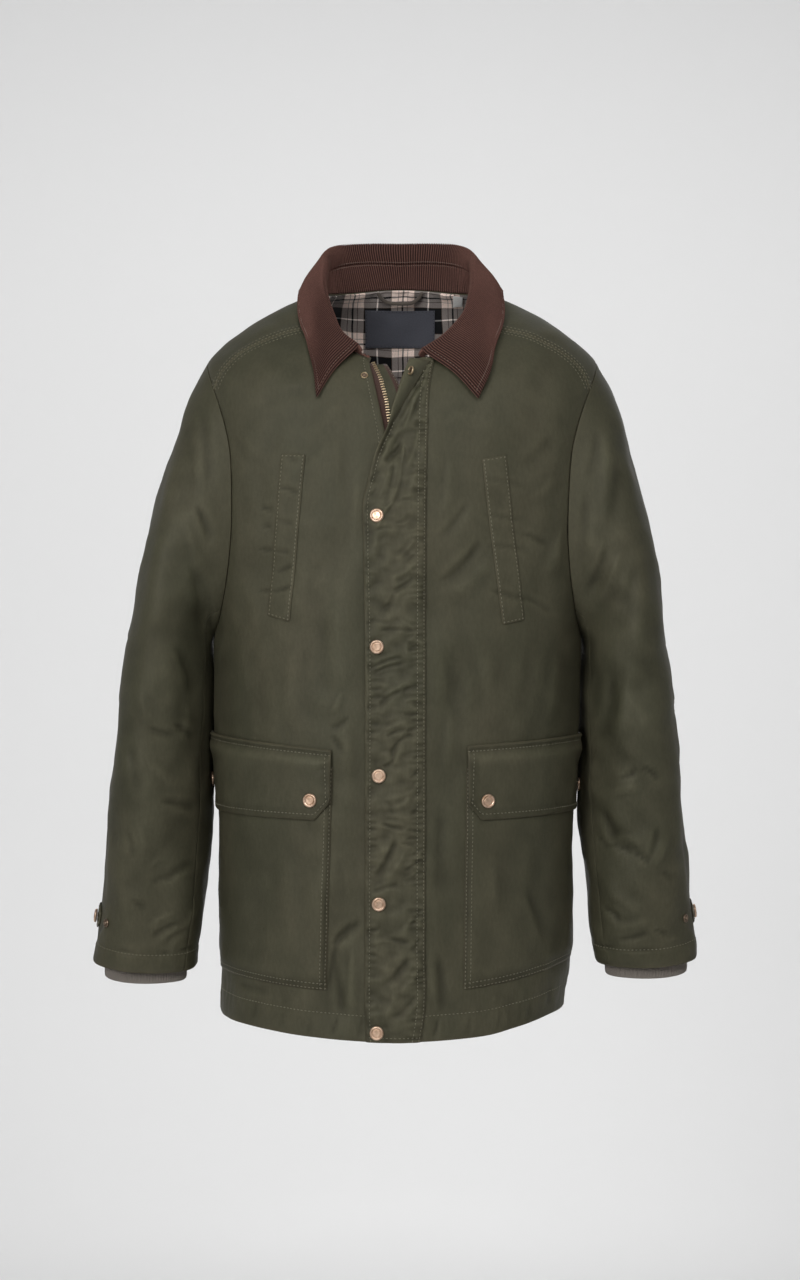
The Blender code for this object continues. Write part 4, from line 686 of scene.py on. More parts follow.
# ------------------------------------------------------------------ the sleeve surface
@dataclass(frozen=True)
class Sleeve(Surface):
    """The surface of one sleeve: closed sections from armhole to cuff.

    sections has a row for each: place along the sleeve, outer edge X and Z, inner edge X and Z,
    front and back Y, and roundness.
    """

    side: int
    body: Body
    creases: tuple[Creases, ...] = ()
    ripple: Ripple = Ripple(seed=23, height=0.0011)
    sections: tuple = (
        (0.00, 0.2160, -0.0630, 0.2000, -0.3600, -0.093, 0.094, 2.2),
        (0.06, 0.2325, -0.0970, 0.2025, -0.3625, -0.097, 0.097, 2.2),
        (0.15, 0.2500, -0.1580, 0.2020, -0.3680, -0.099, 0.098, 2.2),
        (0.25, 0.2683, -0.2250, 0.2012, -0.3780, -0.099, 0.097, 2.2),
        (0.35, 0.2817, -0.2950, 0.1992, -0.3980, -0.097, 0.092, 2.2),
        (0.46, 0.2929, -0.3720, 0.1988, -0.4320, -0.094, 0.083, 2.2),
        (0.58, 0.3030, -0.4600, 0.2004, -0.4920, -0.089, 0.071, 2.2),
        (0.71, 0.3112, -0.5500, 0.2020, -0.5680, -0.083, 0.057, 2.2),
        (0.82, 0.3172, -0.6200, 0.2070, -0.6330, -0.076, 0.044, 2.2),
        (0.92, 0.3235, -0.6770, 0.2135, -0.6850, -0.069, 0.031, 2.2),
        (1.00, 0.3280, -0.7108, 0.2175, -0.7168, -0.064, 0.022, 2.2),
    )
    ease_in: float = 0.30
    droop: float = 0.007
    twist: float = 0.022
    left_shorter: float = 0.0055

    def section(self, turn: Array, along: Array) -> Array:
        """Points of the plain sections, on the +X side.

        Args:
            turn: Angle round the sleeve.
            along: Share of the way from armhole to cuff.

        Returns:
            The points.
        """
        columns = np.moveaxis(smooth(self.sections, along), -1, 0)
        out_x, out_z, in_x, in_z, front, back, power = columns
        cosine, sine = np.cos(turn), np.sin(turn)
        reach = reach_of(cosine, sine, power)
        x = (out_x + in_x) / 2 + (out_x - in_x) / 2 * cosine * reach
        z = (out_z + in_z) / 2 + (out_z - in_z) / 2 * cosine * reach
        z = z - self.droop * ease((along - 0.6) / 0.4) * np.maximum(sine, 0)
        y = (front + back) / 2 - (back - front) / 2 * sine * reach
        bend = ease(along / 0.35) * (1 - ease((along - 0.6) / 0.35))
        y = y - self.twist * bend * cosine * reach
        return np.stack([x, y, z], axis=-1)

    def bare(self, turn: Array, along: Array) -> Array:
        """Places the surface with no creases.

        Args:
            turn: Angle round the sleeve.
            along: Share of the way from armhole to cuff.

        Returns:
            The points.
        """
        points = self.section(turn, along)
        rim = self.body.bare(*self.body.armhole(turn))
        level = self.body.hang(np.zeros_like(rim[..., 2]), rim[..., 2])
        rim = np.stack([rim[..., 0] - level, rim[..., 1], rim[..., 2]], axis=-1)
        fade = (1 - np.clip(along / self.ease_in, 0, 1)) ** 3
        points = points + (rim - self.section(turn, np.zeros_like(along))) * fade[..., None]
        x = self.body.hang(self.side * points[..., 0], points[..., 2])
        z = points[..., 2] + max(self.side, 0) * self.left_shorter * ease((along - 0.3) / 0.7)
        return np.stack([x, points[..., 1], z], axis=-1)

    def normal(self, turn: Array, along: Array) -> Array:
        """Outward directions.

        Args:
            turn: Angle round the sleeve.
            along: Share of the way from armhole to cuff.

        Returns:
            The directions, of length 1.
        """
        across = self.bare(turn + SLOPE_STEP, along) - self.bare(turn - SLOPE_STEP, along)
        down = self.bare(turn, np.clip(along + SLOPE_STEP, 0, 1))
        down = down - self.bare(turn, np.clip(along - SLOPE_STEP, 0, 1))
        return unit(np.cross(across, down)) * self.side

    def face(self, turn: Array, along: Array) -> tuple[Array, Array, Array]:
        """Bare points, outward directions and relief of a grid of places.

        Args:
            turn: Angle round the sleeve.
            along: Share of the way from armhole to cuff.

        Returns:
            The points, the directions and the relief.
        """
        turn, along = np.broadcast_arrays(np.asarray(turn, float), np.asarray(along, float))
        points, normals = self.bare(turn, along), self.normal(turn, along)
        relief = self.ripple.at(points)
        for creases in self.creases:
            relief = relief + creases.height(points, normals)
        return points, normals, relief * ease(along / 0.07)

    def mitre(self, turn: Array) -> Array:
        """Direction that halves the corner between body and sleeve cloth at the armhole.

        Args:
            turn: Where on the armhole.

        Returns:
            The directions, of length 1.
        """
        angle, up = self.body.armhole(turn)
        out_of_body = self.body.normal(self.side * angle, up)
        return unit(out_of_body + self.normal(turn, np.full_like(turn, 0.02)))


# ------------------------------------------------------------------ edges and faces of cloth
class Edge(Enum):
    """An edge of a grid: the axis that it runs along, and whether it is the far one."""

    BOTTOM = (1, False)
    TOP = (1, True)
    LEFT = (0, False)
    RIGHT = (0, True)


@dataclass(frozen=True)
class Seam:
    """How an edge of a piece is sewn: turned rim, raised allowance, stitch rows and puckers."""

    dip: float = 0.0007
    band: float = 0.0
    reach: float = 0.009
    rows: tuple[float, ...] = ()
    pucker: float = 0.0
    pitch: float = 0.0085
    wear: float = 0.6
    trim: tuple[float, float] = (0.002, 0.002)


class Face:
    """Outer face of a piece of cloth, a grid of points with rows from bottom to top."""

    def __init__(self, base: Array, normals: Array, relief: Array) -> None:
        """Lays the face on base, raised by relief along the normals.

        Args:
            base: Points of the smooth form.
            normals: Outward directions there.
            relief: Height over it.
        """
        self.base, self.normals = base, normals
        self.inner_relief = relief.copy()
        self.relief = relief.copy()
        self.wear = np.zeros(base.shape[:2])
        self.stitches: list[Array] = []

    @property
    def points(self) -> Array:
        """Points of the outer face."""
        return self.base + self.normals * self.relief[..., None]

    def distance(self, edge: Edge) -> Array:
        """Distance of each point from an edge, along the cloth.

        Args:
            edge: Which edge.

        Returns:
            The distance at each point.
        """
        axis, far = edge.value
        run = run_length(self.base, 1 - axis)
        if not far:
            return run
        return run[:, -1:] - run if axis == 0 else run[-1:] - run

    def along(self, edge: Edge) -> Array:
        """Distance of each point along an edge.

        Args:
            edge: Which edge.

        Returns:
            The distance at each point.
        """
        axis, far = edge.value
        index = -1 if far else 0
        rim = self.base[:, index] if axis == 0 else self.base[index]
        run = run_length(rim[:, None], 0)[:, 0]
        run = run[:, None] if axis == 0 else run[None, :]
        return run + np.zeros(self.base.shape[:2])

    def sew(self, edge: Edge, seam: Seam) -> Face:
        """Finishes an edge and keeps its stitch rows.

        Args:
            edge: Which edge.
            seam: How it is sewn.

        Returns:
            The face itself.
        """
        away, run = self.distance(edge), self.along(edge)
        pitch = seam.pitch
        wave = np.sin(TURN * run / pitch + 1.9 * np.sin(TURN * run / (pitch * 4.3) + away * 90))
        wave = wave * (0.62 + 0.38 * np.sin(TURN * run / (pitch * 7.3)))
        middle = float(np.mean(seam.rows)) if seam.rows else seam.reach / 2
        self.relief += seam.band * ease((seam.reach + 0.001 - away) / 0.003)
        self.relief += seam.pucker * wave * np.exp(-(((away - middle) / (0.9 * seam.reach)) ** 2))
        for row in seam.rows:
            self.relief -= 0.00022 * np.exp(-(((away - row) / 0.0011) ** 2))
        self.relief -= seam.dip * np.exp(-((away / 0.0012) ** 2))
        self.wear = np.maximum(self.wear, seam.wear * np.exp(-((away / 0.0019) ** 2)))
        for row in seam.rows:
            self.stitches.append(self.inset(edge, row, seam.trim))
        return self

    def inset(self, edge: Edge, distance: float, trim: tuple[float, float] = (0, 0)) -> Array:
        """A line on the face that keeps its distance from an edge.

        Args:
            edge: Which edge.
            distance: How far in.
            trim: Lengths left off at the start and at the end.

        Returns:
            Points of the line.
        """
        axis, _far = edge.value
        away, points = self.distance(edge), self.points
        if axis == 1:
            away, points = away.T, np.swapaxes(points, 0, 1)
        made = []
        for distances, row in zip(away, points):
            order = np.argsort(distances)
            made.append([np.interp(distance, distances[order], row[order, k]) for k in range(3)])
        made = np.array(made)
        run = run_length(made[:, None], 0)[:, 0]
        low, high = trim[0], run[-1] - trim[1]
        inside = run[(run > low + 1e-6) & (run < high - 1e-6)]
        run_to = np.concatenate([[low], inside, [high]])
        return np.stack([np.interp(run_to, run, made[:, k]) for k in range(3)], axis=-1)

    def inner(self, thick: float) -> Array:
        """Points of the inner face."""
        return self.base + self.normals * (self.inner_relief - thick)[..., None]

    def bent_inner(self, edge: Edge, way: Array, part: Array | tuple) -> Array:
        """Lays the inner face where an edge turns towards another piece.

        Args:
            edge: The edge that turns.
            way: Direction of the turned edge.
            part: Rows and columns that are wanted.

        Returns:
            Inner points of that part.
        """
        share = np.exp(-(self.distance(edge)[part] / MITRE_FADE))[..., None]
        bent = unit(way * share + self.normals[part] * (1 - share))
        flat = self.base[part] + self.normals[part] * self.inner_relief[part][..., None]
        return flat - bent * CLOTH

    def painted_fold_shading(self, reach: float = 0.010, full: float = 0.0014) -> Array:
        """Painted fold shading: 0 in a deep trough (painted shade), 1 on a high ridge (painted highlight),
        0.5 on flat cloth.

        Args:
            reach: Width of cloth that a fold is measured against.
            full: Height that gives the full tone.

        Returns:
            The tone at each point.
        """
        height = 0.6 * self.inner_relief + 0.4 * self.relief
        level = height
        for axis in (0, 1):
            run = run_length(self.base, axis).mean(axis=1 - axis)
            steps = np.expand_dims(np.gradient(run), 1 - axis)
            total = np.cumsum(steps * level, axis=axis)
            low, high = np.maximum(run - reach, run[0]), np.minimum(run + reach, run[-1])
            moved = np.moveaxis(total, axis, 0)
            ends = [
                np.array([np.interp(at, run, column) for column in moved.T]).T for at in (low, high)
            ]
            level = np.moveaxis((ends[1] - ends[0]) / (high - low)[:, None], 0, axis)
        return 0.5 + np.clip((height - level) / (2 * full), -0.5, 0.5)

    def chart(self, from_column: float = 0.0, from_top: bool = False) -> Array:
        """Measures where each point lies on the flat cloth, for weaves and checks.

        Args:
            from_column: Share of the columns at which across is 0.
            from_top: Whether up is 0 at the top rather than at the bottom.

        Returns:
            Place of each point in metres, across and up.
        """
        across, upward = run_length(self.base, 1), run_length(self.base, 0)
        column = int(round(from_column * (across.shape[1] - 1)))
        across = across - across[:, column : column + 1]
        if from_top:
            upward = upward - upward[-1:]
        return np.stack([across, upward], axis=-1)


# ------------------------------------------------------------------ meshes
def put(name: str, data: bpy.types.ID) -> bpy.types.Object:
    """Puts a mesh, a light or a camera in the scene.

    Args:
        name: Name of its object.
        data: What is put there.

    Returns:
        The object.
    """
    made = bpy.data.objects.new(name, data)
    bpy.context.scene.collection.objects.link(made)
    return made


def face_out(made: bpy.types.Object) -> None:
    """Turns a closed mesh outward if it came out inside out.

    Args:
        made: The piece.
    """
    mesh = made.data
    mesh.calc_loop_triangles()
    corners = np.empty(len(mesh.loop_triangles) * 3, np.int32)
    mesh.loop_triangles.foreach_get("vertices", corners)
    points = np.empty(len(mesh.vertices) * 3, np.float32)
    mesh.vertices.foreach_get("co", points)
    a, b, c = points.reshape(-1, 3)[corners].reshape(-1, 3, 3).transpose(1, 0, 2)
    if float((np.cross(a, b) * c).sum()) < 0:
        mesh.flip_normals()


def solid(name: str, points: list, faces: list, sharp: float | None = None) -> bpy.types.Object:
    """Makes a closed piece with its faces outward.

    Args:
        name: Name of the piece.
        points: Its points.
        faces: Numbers of the points of each face.
        sharp: Shades it smooth, with edges over this many degrees sharp.

    Returns:
        The piece.
    """
    mesh = bpy.data.meshes.new(name)
    mesh.from_pydata(points, [], faces)
    if sharp is not None:
        mesh.shade_smooth()
        mesh.set_sharp_from_angle(angle=math.radians(sharp))
    made = put(name, mesh)
    face_out(made)
    return made


def ring_faces(rings: int, sides: int) -> list[tuple[int, ...]]:
    """Faces between closed rings of points that follow each other.

    Args:
        rings: How many rings.
        sides: Points in a ring.

    Returns:
        Numbers of the points of each face.
    """
    return [
        (start + k, start + (k + 1) % sides, start + sides + (k + 1) % sides, start + sides + k)
        for start in range(0, (rings - 1) * sides, sides)
        for k in range(sides)
    ]


def square_to(outward: Array) -> tuple[Array, Array, Array]:
    """A direction made length 1, and two others square to it: level, and upright.

    Args:
        outward: The direction.

    Returns:
        The three directions.
    """
    outward = unit(np.asarray(outward, float))
    aside = unit(np.cross(outward, (0.0, 0.0, 1.0)))
    return outward, aside, np.cross(aside, outward)


def closed_wall(
    name: str,
    outer: Array,
    inner: Array,
    chart: Array,
    wear: Array | None = None,
    wrap: bool = False,
    fold: Array | None = None,
) -> bpy.types.Object:
    """Makes a closed wall of cloth between two grids.

    Args:
        name: Name of the piece.
        outer: Outer face, rows x columns x 3.
        inner: Inner face, the same shape.
        chart: Place on the cloth of each point, rows x columns x 2.
        wear: How worn each outer point is, 0 to 1; on corduroy, how deep it lies between two wales, which its
            finish paints as shade.
        wrap: Joins the last column to the first, for a tube.
        fold: Painted fold shading at each outer point, 0 (painted shade) in a trough to 1 (painted highlight)
            on a ridge.

    Returns:
        The piece; material slot 0 is the outer face and the rims, slot 1 the inner face.
    """
    rows, columns = outer.shape[:2]
    points = np.concatenate([outer.reshape(-1, 3), inner.reshape(-1, 3)])
    back = rows * columns
    index = np.arange(back).reshape(rows, columns)
    right = np.roll(index, -1, axis=1) if wrap else index[:, 1:]
    left = index if wrap else index[:, :-1]
    skin = np.stack([left[:-1], right[:-1], right[1:], left[1:]], axis=-1).reshape(-1, 4)
    under = skin[:, ::-1] + back
    low = np.stack([left[0] + back, right[0] + back, right[0], left[0]], axis=-1)
    high = np.stack([left[-1], right[-1], right[-1] + back, left[-1] + back], axis=-1)
    faces = [skin, low, high]
    if not wrap:
        a, b = index[:-1, 0], index[1:, 0]
        faces.append(np.stack([a + back, a, b, b + back], axis=-1))
        a, b = index[:-1, -1], index[1:, -1]
        faces.append(np.stack([a, a + back, b + back, b], axis=-1))
    outside = np.concatenate(faces)
    quads = np.concatenate([outside, under])
    centre = points.mean(axis=0)
    a, b, c, d = (points[quads[:, k]] - centre for k in range(4))
    volume = (np.cross(a, b) * c).sum() + (np.cross(a, c) * d).sum()
    if volume < 0:
        quads = quads[:, ::-1]
    mesh = bpy.data.meshes.new(name)
    mesh.vertices.add(len(points))
    mesh.vertices.foreach_set("co", points.astype(np.float32).ravel())
    mesh.loops.add(quads.size)
    mesh.loops.foreach_set("vertex_index", quads.astype(np.int32).ravel())
    mesh.polygons.add(len(quads))
    mesh.polygons.foreach_set("loop_start", np.arange(0, quads.size, 4, dtype=np.int32))
    slots = np.zeros(len(quads), np.int32)
    slots[len(outside) :] = 1
    mesh.polygons.foreach_set("material_index", slots)
    mesh.update(calc_edges=True)
    mesh.validate()
    flat = np.concatenate([chart.reshape(-1, 2)] * 2)
    layer = mesh.uv_layers.new(name="Chart")
    layer.data.foreach_set("uv", flat[quads.ravel()].astype(np.float32).ravel())
    # Real edge wear on the shell; on corduroy, the depth between wales, which is painted as shade.
    worn = np.zeros(len(points), np.float32)
    if wear is not None:
        worn[:back] = wear.ravel()
    mesh.attributes.new("wear", "FLOAT", "POINT").data.foreach_set("value", worn)
    # Painted fold shading for the shell: 0.5 leaves the colour as it is, less paints shade, more paints a
    # highlight.
    tone = np.full(len(points), 0.5, np.float32)
    if fold is not None:
        tone[:back] = fold.ravel()
    mesh.attributes.new("fold", "FLOAT", "POINT").data.foreach_set("value", tone)
    mesh.shade_smooth()
    return put(name, mesh)


def turned(name: str, profile: tuple, place: Array, outward: Array, sides: int = 36) -> bpy.types.Object:
    """Makes a turned piece from a profile of (radius, height), on its axis at both ends.

    Args:
        name: Name of the piece.
        profile: Corners from the middle of the underside to the middle of the top.
        place: Where the foot of its axis stands.
        outward: Way that the axis points.
        sides: Faces round it.

    Returns:
        The piece.
    """
    outward, aside, upright = square_to(outward)
    rings = np.array(profile[1:-1], float)
    turn = np.arange(sides) * TURN / sides
    spokes = np.cos(turn)[:, None] * aside + np.sin(turn)[:, None] * upright
    points = rings[:, 0][:, None, None] * spokes + rings[:, 1][:, None, None] * outward
    ends = np.array([profile[0][1] * outward, profile[-1][1] * outward])
    points = np.concatenate([points.reshape(-1, 3), ends]) + np.asarray(place)
    faces = ring_faces(len(rings), sides)
    foot, crown = len(points) - 2, len(points) - 1
    last = (len(rings) - 1) * sides
    for k in range(sides):
        n = (k + 1) % sides
        faces += [(foot, n, k), (crown, last + k, last + n)]
    return solid(name, points.tolist(), faces, 50)


def tube(name: str, path: Array, radius: float, sides: int = 12, squeeze: float = 1.0) -> bpy.types.Object:
    """Makes a round or flattened cord along a path, closed at both ends.

    Args:
        name: Name of the piece.
        path: Points of its middle line.
        radius: Half its width.
        sides: Faces round it.
        squeeze: Depth as a share of the width.

    Returns:
        The piece.
    """
    ways = unit(np.gradient(path, axis=0))
    aside = unit(np.cross(ways, (0.0, 1.0, 0.0)))
    deep = np.cross(aside, ways)
    turn = np.arange(sides) * TURN / sides
    ring = np.cos(turn)[None, :, None] * aside[:, None] * radius
    ring = ring + np.sin(turn)[None, :, None] * deep[:, None] * radius * squeeze
    points = path[:, None] + ring
    taper = points.copy()
    taper[0], taper[-1] = path[0] + ring[0] * 0.6, path[-1] + ring[-1] * 0.6
    last = (len(path) - 1) * sides
    faces = ring_faces(len(path), sides)
    faces += [tuple(range(sides))[::-1], tuple(last + k for k in range(sides))]
    return solid(name, taper.reshape(-1, 3).tolist(), faces, 60)


# ------------------------------------------------------------------ node trees
class Board:
    """A node tree that is being wired."""

    def __init__(self, tree: bpy.types.NodeTree) -> None:
        """Starts on an existing tree."""
        self.tree = tree

    def add(self, kind: str, inputs: dict | None = None, **settings: object) -> bpy.types.Node:
        """Adds a node.

        Args:
            kind: The node's type name.
            inputs: Value or socket for each input, by name or number.
            settings: Values of the node's own properties.

        Returns:
            The node.
        """
        node = self.tree.nodes.new(kind)
        for name, value in settings.items():
            setattr(node, name, value)
        self.fill(node, inputs or {})
        return node

    def fill(self, node: bpy.types.Node, inputs: dict) -> None:
        """Feeds a node's inputs, by name or number."""
        for key, value in inputs.items():
            self.feed(node.inputs[key], value)

    def feed(self, socket: bpy.types.NodeSocket, value: object) -> None:
        """Links a socket to an input, or sets the input's value.

        Args:
            socket: The input.
            value: A socket or a plain value.
        """
        if isinstance(value, bpy.types.NodeSocket):
            self.tree.links.new(value, socket)
        else:
            socket.default_value = value

    def maths(self, operation: str, *values: object, clamp: bool = False) -> bpy.types.NodeSocket:
        """A Math node's result."""
        inputs = dict(enumerate(values))
        return self.add("ShaderNodeMath", inputs, operation=operation, use_clamp=clamp).outputs[0]

    def scaled(self, value: object, gain: float, offset: float) -> bpy.types.NodeSocket:
        """A value times gain, plus offset."""
        return self.maths("ADD", self.maths("MULTIPLY", value, gain), offset)

    def contrast(self, value: object, middle: float, gain: float, clamp: bool = True) -> bpy.types.NodeSocket:
        """A value's distance from middle, times gain."""
        return self.maths("MULTIPLY", self.maths("SUBTRACT", value, middle), gain, clamp=clamp)

    def chart(self) -> bpy.types.NodeSocket:
        """Place on the flat cloth."""
        return self.add("ShaderNodeUVMap", uv_map="Chart").outputs[0]

    def attribute(self, name: str) -> bpy.types.NodeSocket:
        """A value that the mesh carries."""
        return self.add("ShaderNodeAttribute", attribute_name=name).outputs["Fac"]

    def bump(self, strength: float, distance: float, height: object) -> bpy.types.Node:
        """A Bump node."""
        inputs = {"Strength": strength, "Distance": distance, "Height": height}
        return self.add("ShaderNodeBump", inputs)

    def mix(self, share: object, first: object, second: object, blend: str = "MIX") -> bpy.types.NodeSocket:
        """A colour between two others."""
        inputs = {"Factor": share, 6: first, 7: second}
        return self.add("ShaderNodeMix", inputs, data_type="RGBA", blend_type=blend).outputs[2]

    def noise(
        self, vector: object, scale: object, detail: float = 2.0, rough: float = 0.5
    ) -> bpy.types.NodeSocket:
        """A noise texture's value."""
        inputs = {"Vector": vector, "Scale": scale, "Detail": detail, "Roughness": rough}
        return self.add("ShaderNodeTexNoise", inputs).outputs[0]

    def ramp(self, value: object, stops: tuple, constant: bool = False) -> bpy.types.NodeSocket:
        """A colour ramp's colour; stops are (position, colour).

        Args:
            value: Where to read it.
            stops: Its stops, in order.
            constant: Whether colours change at once.

        Returns:
            The colour.
        """
        node = self.add("ShaderNodeValToRGB", {0: value})
        ramp = node.color_ramp
        ramp.interpolation = "CONSTANT" if constant else "LINEAR"
        while len(ramp.elements) < len(stops):
            ramp.elements.new(1.0)
        for element, (position, colour) in zip(ramp.elements, stops):
            element.position = position
            element.color = (*colour, 1.0)
        return node.outputs[0]

    def group(self, tree: bpy.types.NodeTree, inputs: dict) -> bpy.types.Node:
        """Places a node group."""
        return self.add("ShaderNodeGroup", inputs, node_tree=tree)


def new_group(
    name: str, inputs: tuple, outputs: tuple, kind: str = "ShaderNodeTree"
) -> tuple[Board, bpy.types.Node, bpy.types.Node]:
    """Starts a node group.

    Args:
        name: Name of the group.
        inputs: (name, socket type, default) of each input.
        outputs: (name, socket type) of each output.
        kind: Kind of tree.

    Returns:
        Its board, its input node and its output node.
    """
    tree = bpy.data.node_groups.new(name, kind)
    for label, socket_type, default in inputs:
        socket = tree.interface.new_socket(name=label, in_out="INPUT", socket_type=socket_type)
        if default is not None:
            socket.default_value = default
    for label, socket_type in outputs:
        tree.interface.new_socket(name=label, in_out="OUTPUT", socket_type=socket_type)
    return Board(tree), tree.nodes.new("NodeGroupInput"), tree.nodes.new("NodeGroupOutput")


class Effects:
    """Shader groups that several finishes use."""

    def __init__(self) -> None:
        """Builds each group once."""
        self.weave = self._weave()
        self.mottle = self._mottle()
        self.worn = self._worn()
        self.check = self._check()

    @staticmethod
    def _weave() -> bpy.types.NodeTree:
        """Plain weave: which thread is on top, and how high.

        Returns:
            The group.
        """
        board, given, made = new_group(
            "thread_weave",
            (("Chart", "NodeSocketVector", None), ("Threads", "NodeSocketFloat", 900.0)),
            (("Height", "NodeSocketFloat"), ("Warp", "NodeSocketFloat")),
        )
        scaled = board.add("ShaderNodeVectorMath", {0: given.outputs[0]}, operation="SCALE")
        board.feed(scaled.inputs["Scale"], given.outputs[1])
        parts = board.add("ShaderNodeSeparateXYZ", {0: scaled.outputs[0]})
        sines = [board.maths("SINE", board.maths("MULTIPLY", parts.outputs[k], math.pi)) for k in (0, 1)]
        over = board.maths("GREATER_THAN", board.maths("MULTIPLY", *sines), 0.0)
        warp, weft = (board.maths("ABSOLUTE", s) for s in sines)
        blend = board.add("ShaderNodeMix", {"Factor": over, 2: weft, 3: warp}, data_type="FLOAT")
        board.feed(made.inputs[0], blend.outputs[0])
        board.feed(made.inputs[1], over)
        return board.tree

    @staticmethod
    def _mottle() -> bpy.types.NodeTree:
        """Cloudy unevenness at two scales.

        Returns:
            The group.
        """
        board, given, made = new_group(
            "cloudy_tone",
            (("Place", "NodeSocketVector", None), ("Scale", "NodeSocketFloat", 8.0)),
            (("Tone", "NodeSocketFloat"), ("Grain", "NodeSocketFloat")),
        )
        place, scale = given.outputs[:2]
        board.feed(made.inputs[0], board.noise(place, scale, 3.0, 0.55))
        board.feed(made.inputs[1], board.noise(place, board.maths("MULTIPLY", scale, 22.0), 4.0, 0.6))
        return board.tree

    @staticmethod
    def _worn() -> bpy.types.NodeTree:
        """Broken wear along turned edges, from the cloth's own wear value.

        Returns:
            The group.
        """
        board, given, made = new_group(
            "edge_wear",
            (
                ("Place", "NodeSocketVector", None),
                ("Wear", "NodeSocketFloat", 0.0),
                ("Amount", "NodeSocketFloat", 0.5),
            ),
            (("Mask", "NodeSocketFloat"),),
        )
        patches = board.noise(given.outputs[0], 160.0, 3.0, 0.6)
        broken = board.maths("MULTIPLY", given.outputs[1], board.maths("ADD", patches, 0.25))
        board.feed(made.inputs[0], board.maths("MULTIPLY", broken, given.outputs[2], clamp=True))
        return board.tree

    @staticmethod
    def _check() -> bpy.types.NodeTree:
        """A common check: the same run of stripes both ways, woven together.

        Returns:
            The group.
        """
        board, given, made = new_group(
            "common_check",
            (("Chart", "NodeSocketVector", None), ("Repeat", "NodeSocketFloat", 0.059)),
            (("Colour", "NodeSocketColor"),),
        )
        cream, tan, brown = (0.97, 0.84, 0.77), (0.24, 0.155, 0.110), (0.085, 0.045, 0.034)
        black, white = (0.006, 0.006, 0.008), (0.97, 0.94, 0.90)
        stops = (
            (0.0, white), (0.014, black), (0.262, tan), (0.276, cream), (0.397, brown),
            (0.409, cream), (0.482, black), (0.518, cream), (0.591, brown), (0.603, cream),
            (0.724, tan), (0.738, black), (0.986, white),
        )
        parts = board.add("ShaderNodeSeparateXYZ", {0: given.outputs[0]})
        stripes = []
        for k in (0, 1):
            place = board.maths("DIVIDE", parts.outputs[k], given.outputs[1])
            stripes.append(board.ramp(board.maths("FRACT", place), stops, constant=True))
        sums = board.maths("ADD", parts.outputs[0], parts.outputs[1])
        twill = board.maths("SINE", board.maths("MULTIPLY", sums, TURN * 700.0))
        even = board.mix(board.scaled(twill, 0.14, 0.5), stripes[0], stripes[1])
        deep = board.mix(1.0, stripes[0], stripes[1], "MULTIPLY")
        board.feed(made.inputs[0], board.mix(0.5, even, deep))
        return board.tree


# ------------------------------------------------------------------ finishes
@dataclass(frozen=True)
class Finish:
    """A finish with a Principled material; subclasses wire what feeds it."""

    name: str
    slot: str

    def material(self, effects: Effects) -> bpy.types.Material:
        """Builds the material.

        Args:
            effects: Shader groups to use.

        Returns:
            The material.
        """
        material = bpy.data.materials.new(self.name)
        material.use_nodes = True
        board = Board(material.node_tree)
        place = board.add("ShaderNodeTexCoord").outputs["Object"]
        board.fill(material.node_tree.nodes["Principled BSDF"], self.inputs(board, place, effects))
        return material

    def inputs(self, board: Board, place: bpy.types.NodeSocket, effects: Effects) -> dict:
        """Wires the finish.

        Args:
            board: The material's board.
            place: Place on the object.
            effects: Shader groups to use.

        Returns:
            What feeds each input of the Principled node.
        """
        raise NotImplementedError


@dataclass(frozen=True)
class WaxedCotton(Finish):
    """Dense waxed cloth: cloudy tone, soft sheen, fine weave, rubbed edges, and painted shade and highlight
    on its folds.
    """

    dark: tuple[float, float, float] = (0.0610, 0.0595, 0.0370)
    light: tuple[float, float, float] = (0.0780, 0.0725, 0.0460)
    rubbed: tuple[float, float, float] = (0.150, 0.128, 0.082)
    threads: float = 1500.0
    roughness: float = 0.55
    wear: float = 0.55

    def inputs(self, board: Board, place: bpy.types.NodeSocket, effects: Effects) -> dict:
        """Wires the finish.

        Args:
            board: The material's board.
            place: Place on the object.
            effects: Shader groups to use.

        Returns:
            What feeds each input of the Principled node.
        """
        drawn = board.add("ShaderNodeMapping", {"Vector": place, "Scale": (1.0, 1.0, 0.42)}).outputs[0]
        tone, grain = board.group(effects.mottle, {"Place": drawn, "Scale": 15.0}).outputs
        weave = board.group(effects.weave, {"Chart": board.chart(), "Threads": self.threads}).outputs[0]
        edges = {"Place": place, "Wear": board.attribute("wear"), "Amount": self.wear}
        worn = board.group(effects.worn, edges).outputs[0]
        base = board.mix(board.contrast(tone, 0.36, 3.2), (*self.dark, 1), (*self.light, 1))
        base = board.mix(1.0, base, board.scaled(grain, 0.5, 0.75), "MULTIPLY")
        # Painted shade in fold troughs and painted highlight on fold ridges: the colour runs from 0.6 times
        # in a deep trough to 1.4 times on a high ridge. In part it also stands for wax gathered in creases
        # and rubbed off ridges.
        base = board.mix(1.0, base, board.scaled(board.attribute("fold"), 0.80, 0.60), "MULTIPLY")
        crumple = board.bump(0.22, 0.0011, board.noise(place, 260.0, 4.0, 0.62))
        board.feed(crumple.inputs["Normal"], board.bump(0.10, 0.0005, weave).outputs[0])
        return {
            "Base Color": board.mix(worn, base, (*self.rubbed, 1)),
            "Roughness": board.scaled(tone, 0.22, self.roughness - 0.11),
            "Normal": crumple.outputs[0],
            "Specular IOR Level": 0.28,
            "Specular Tint": (1.0, 0.94, 0.78, 1),
        }


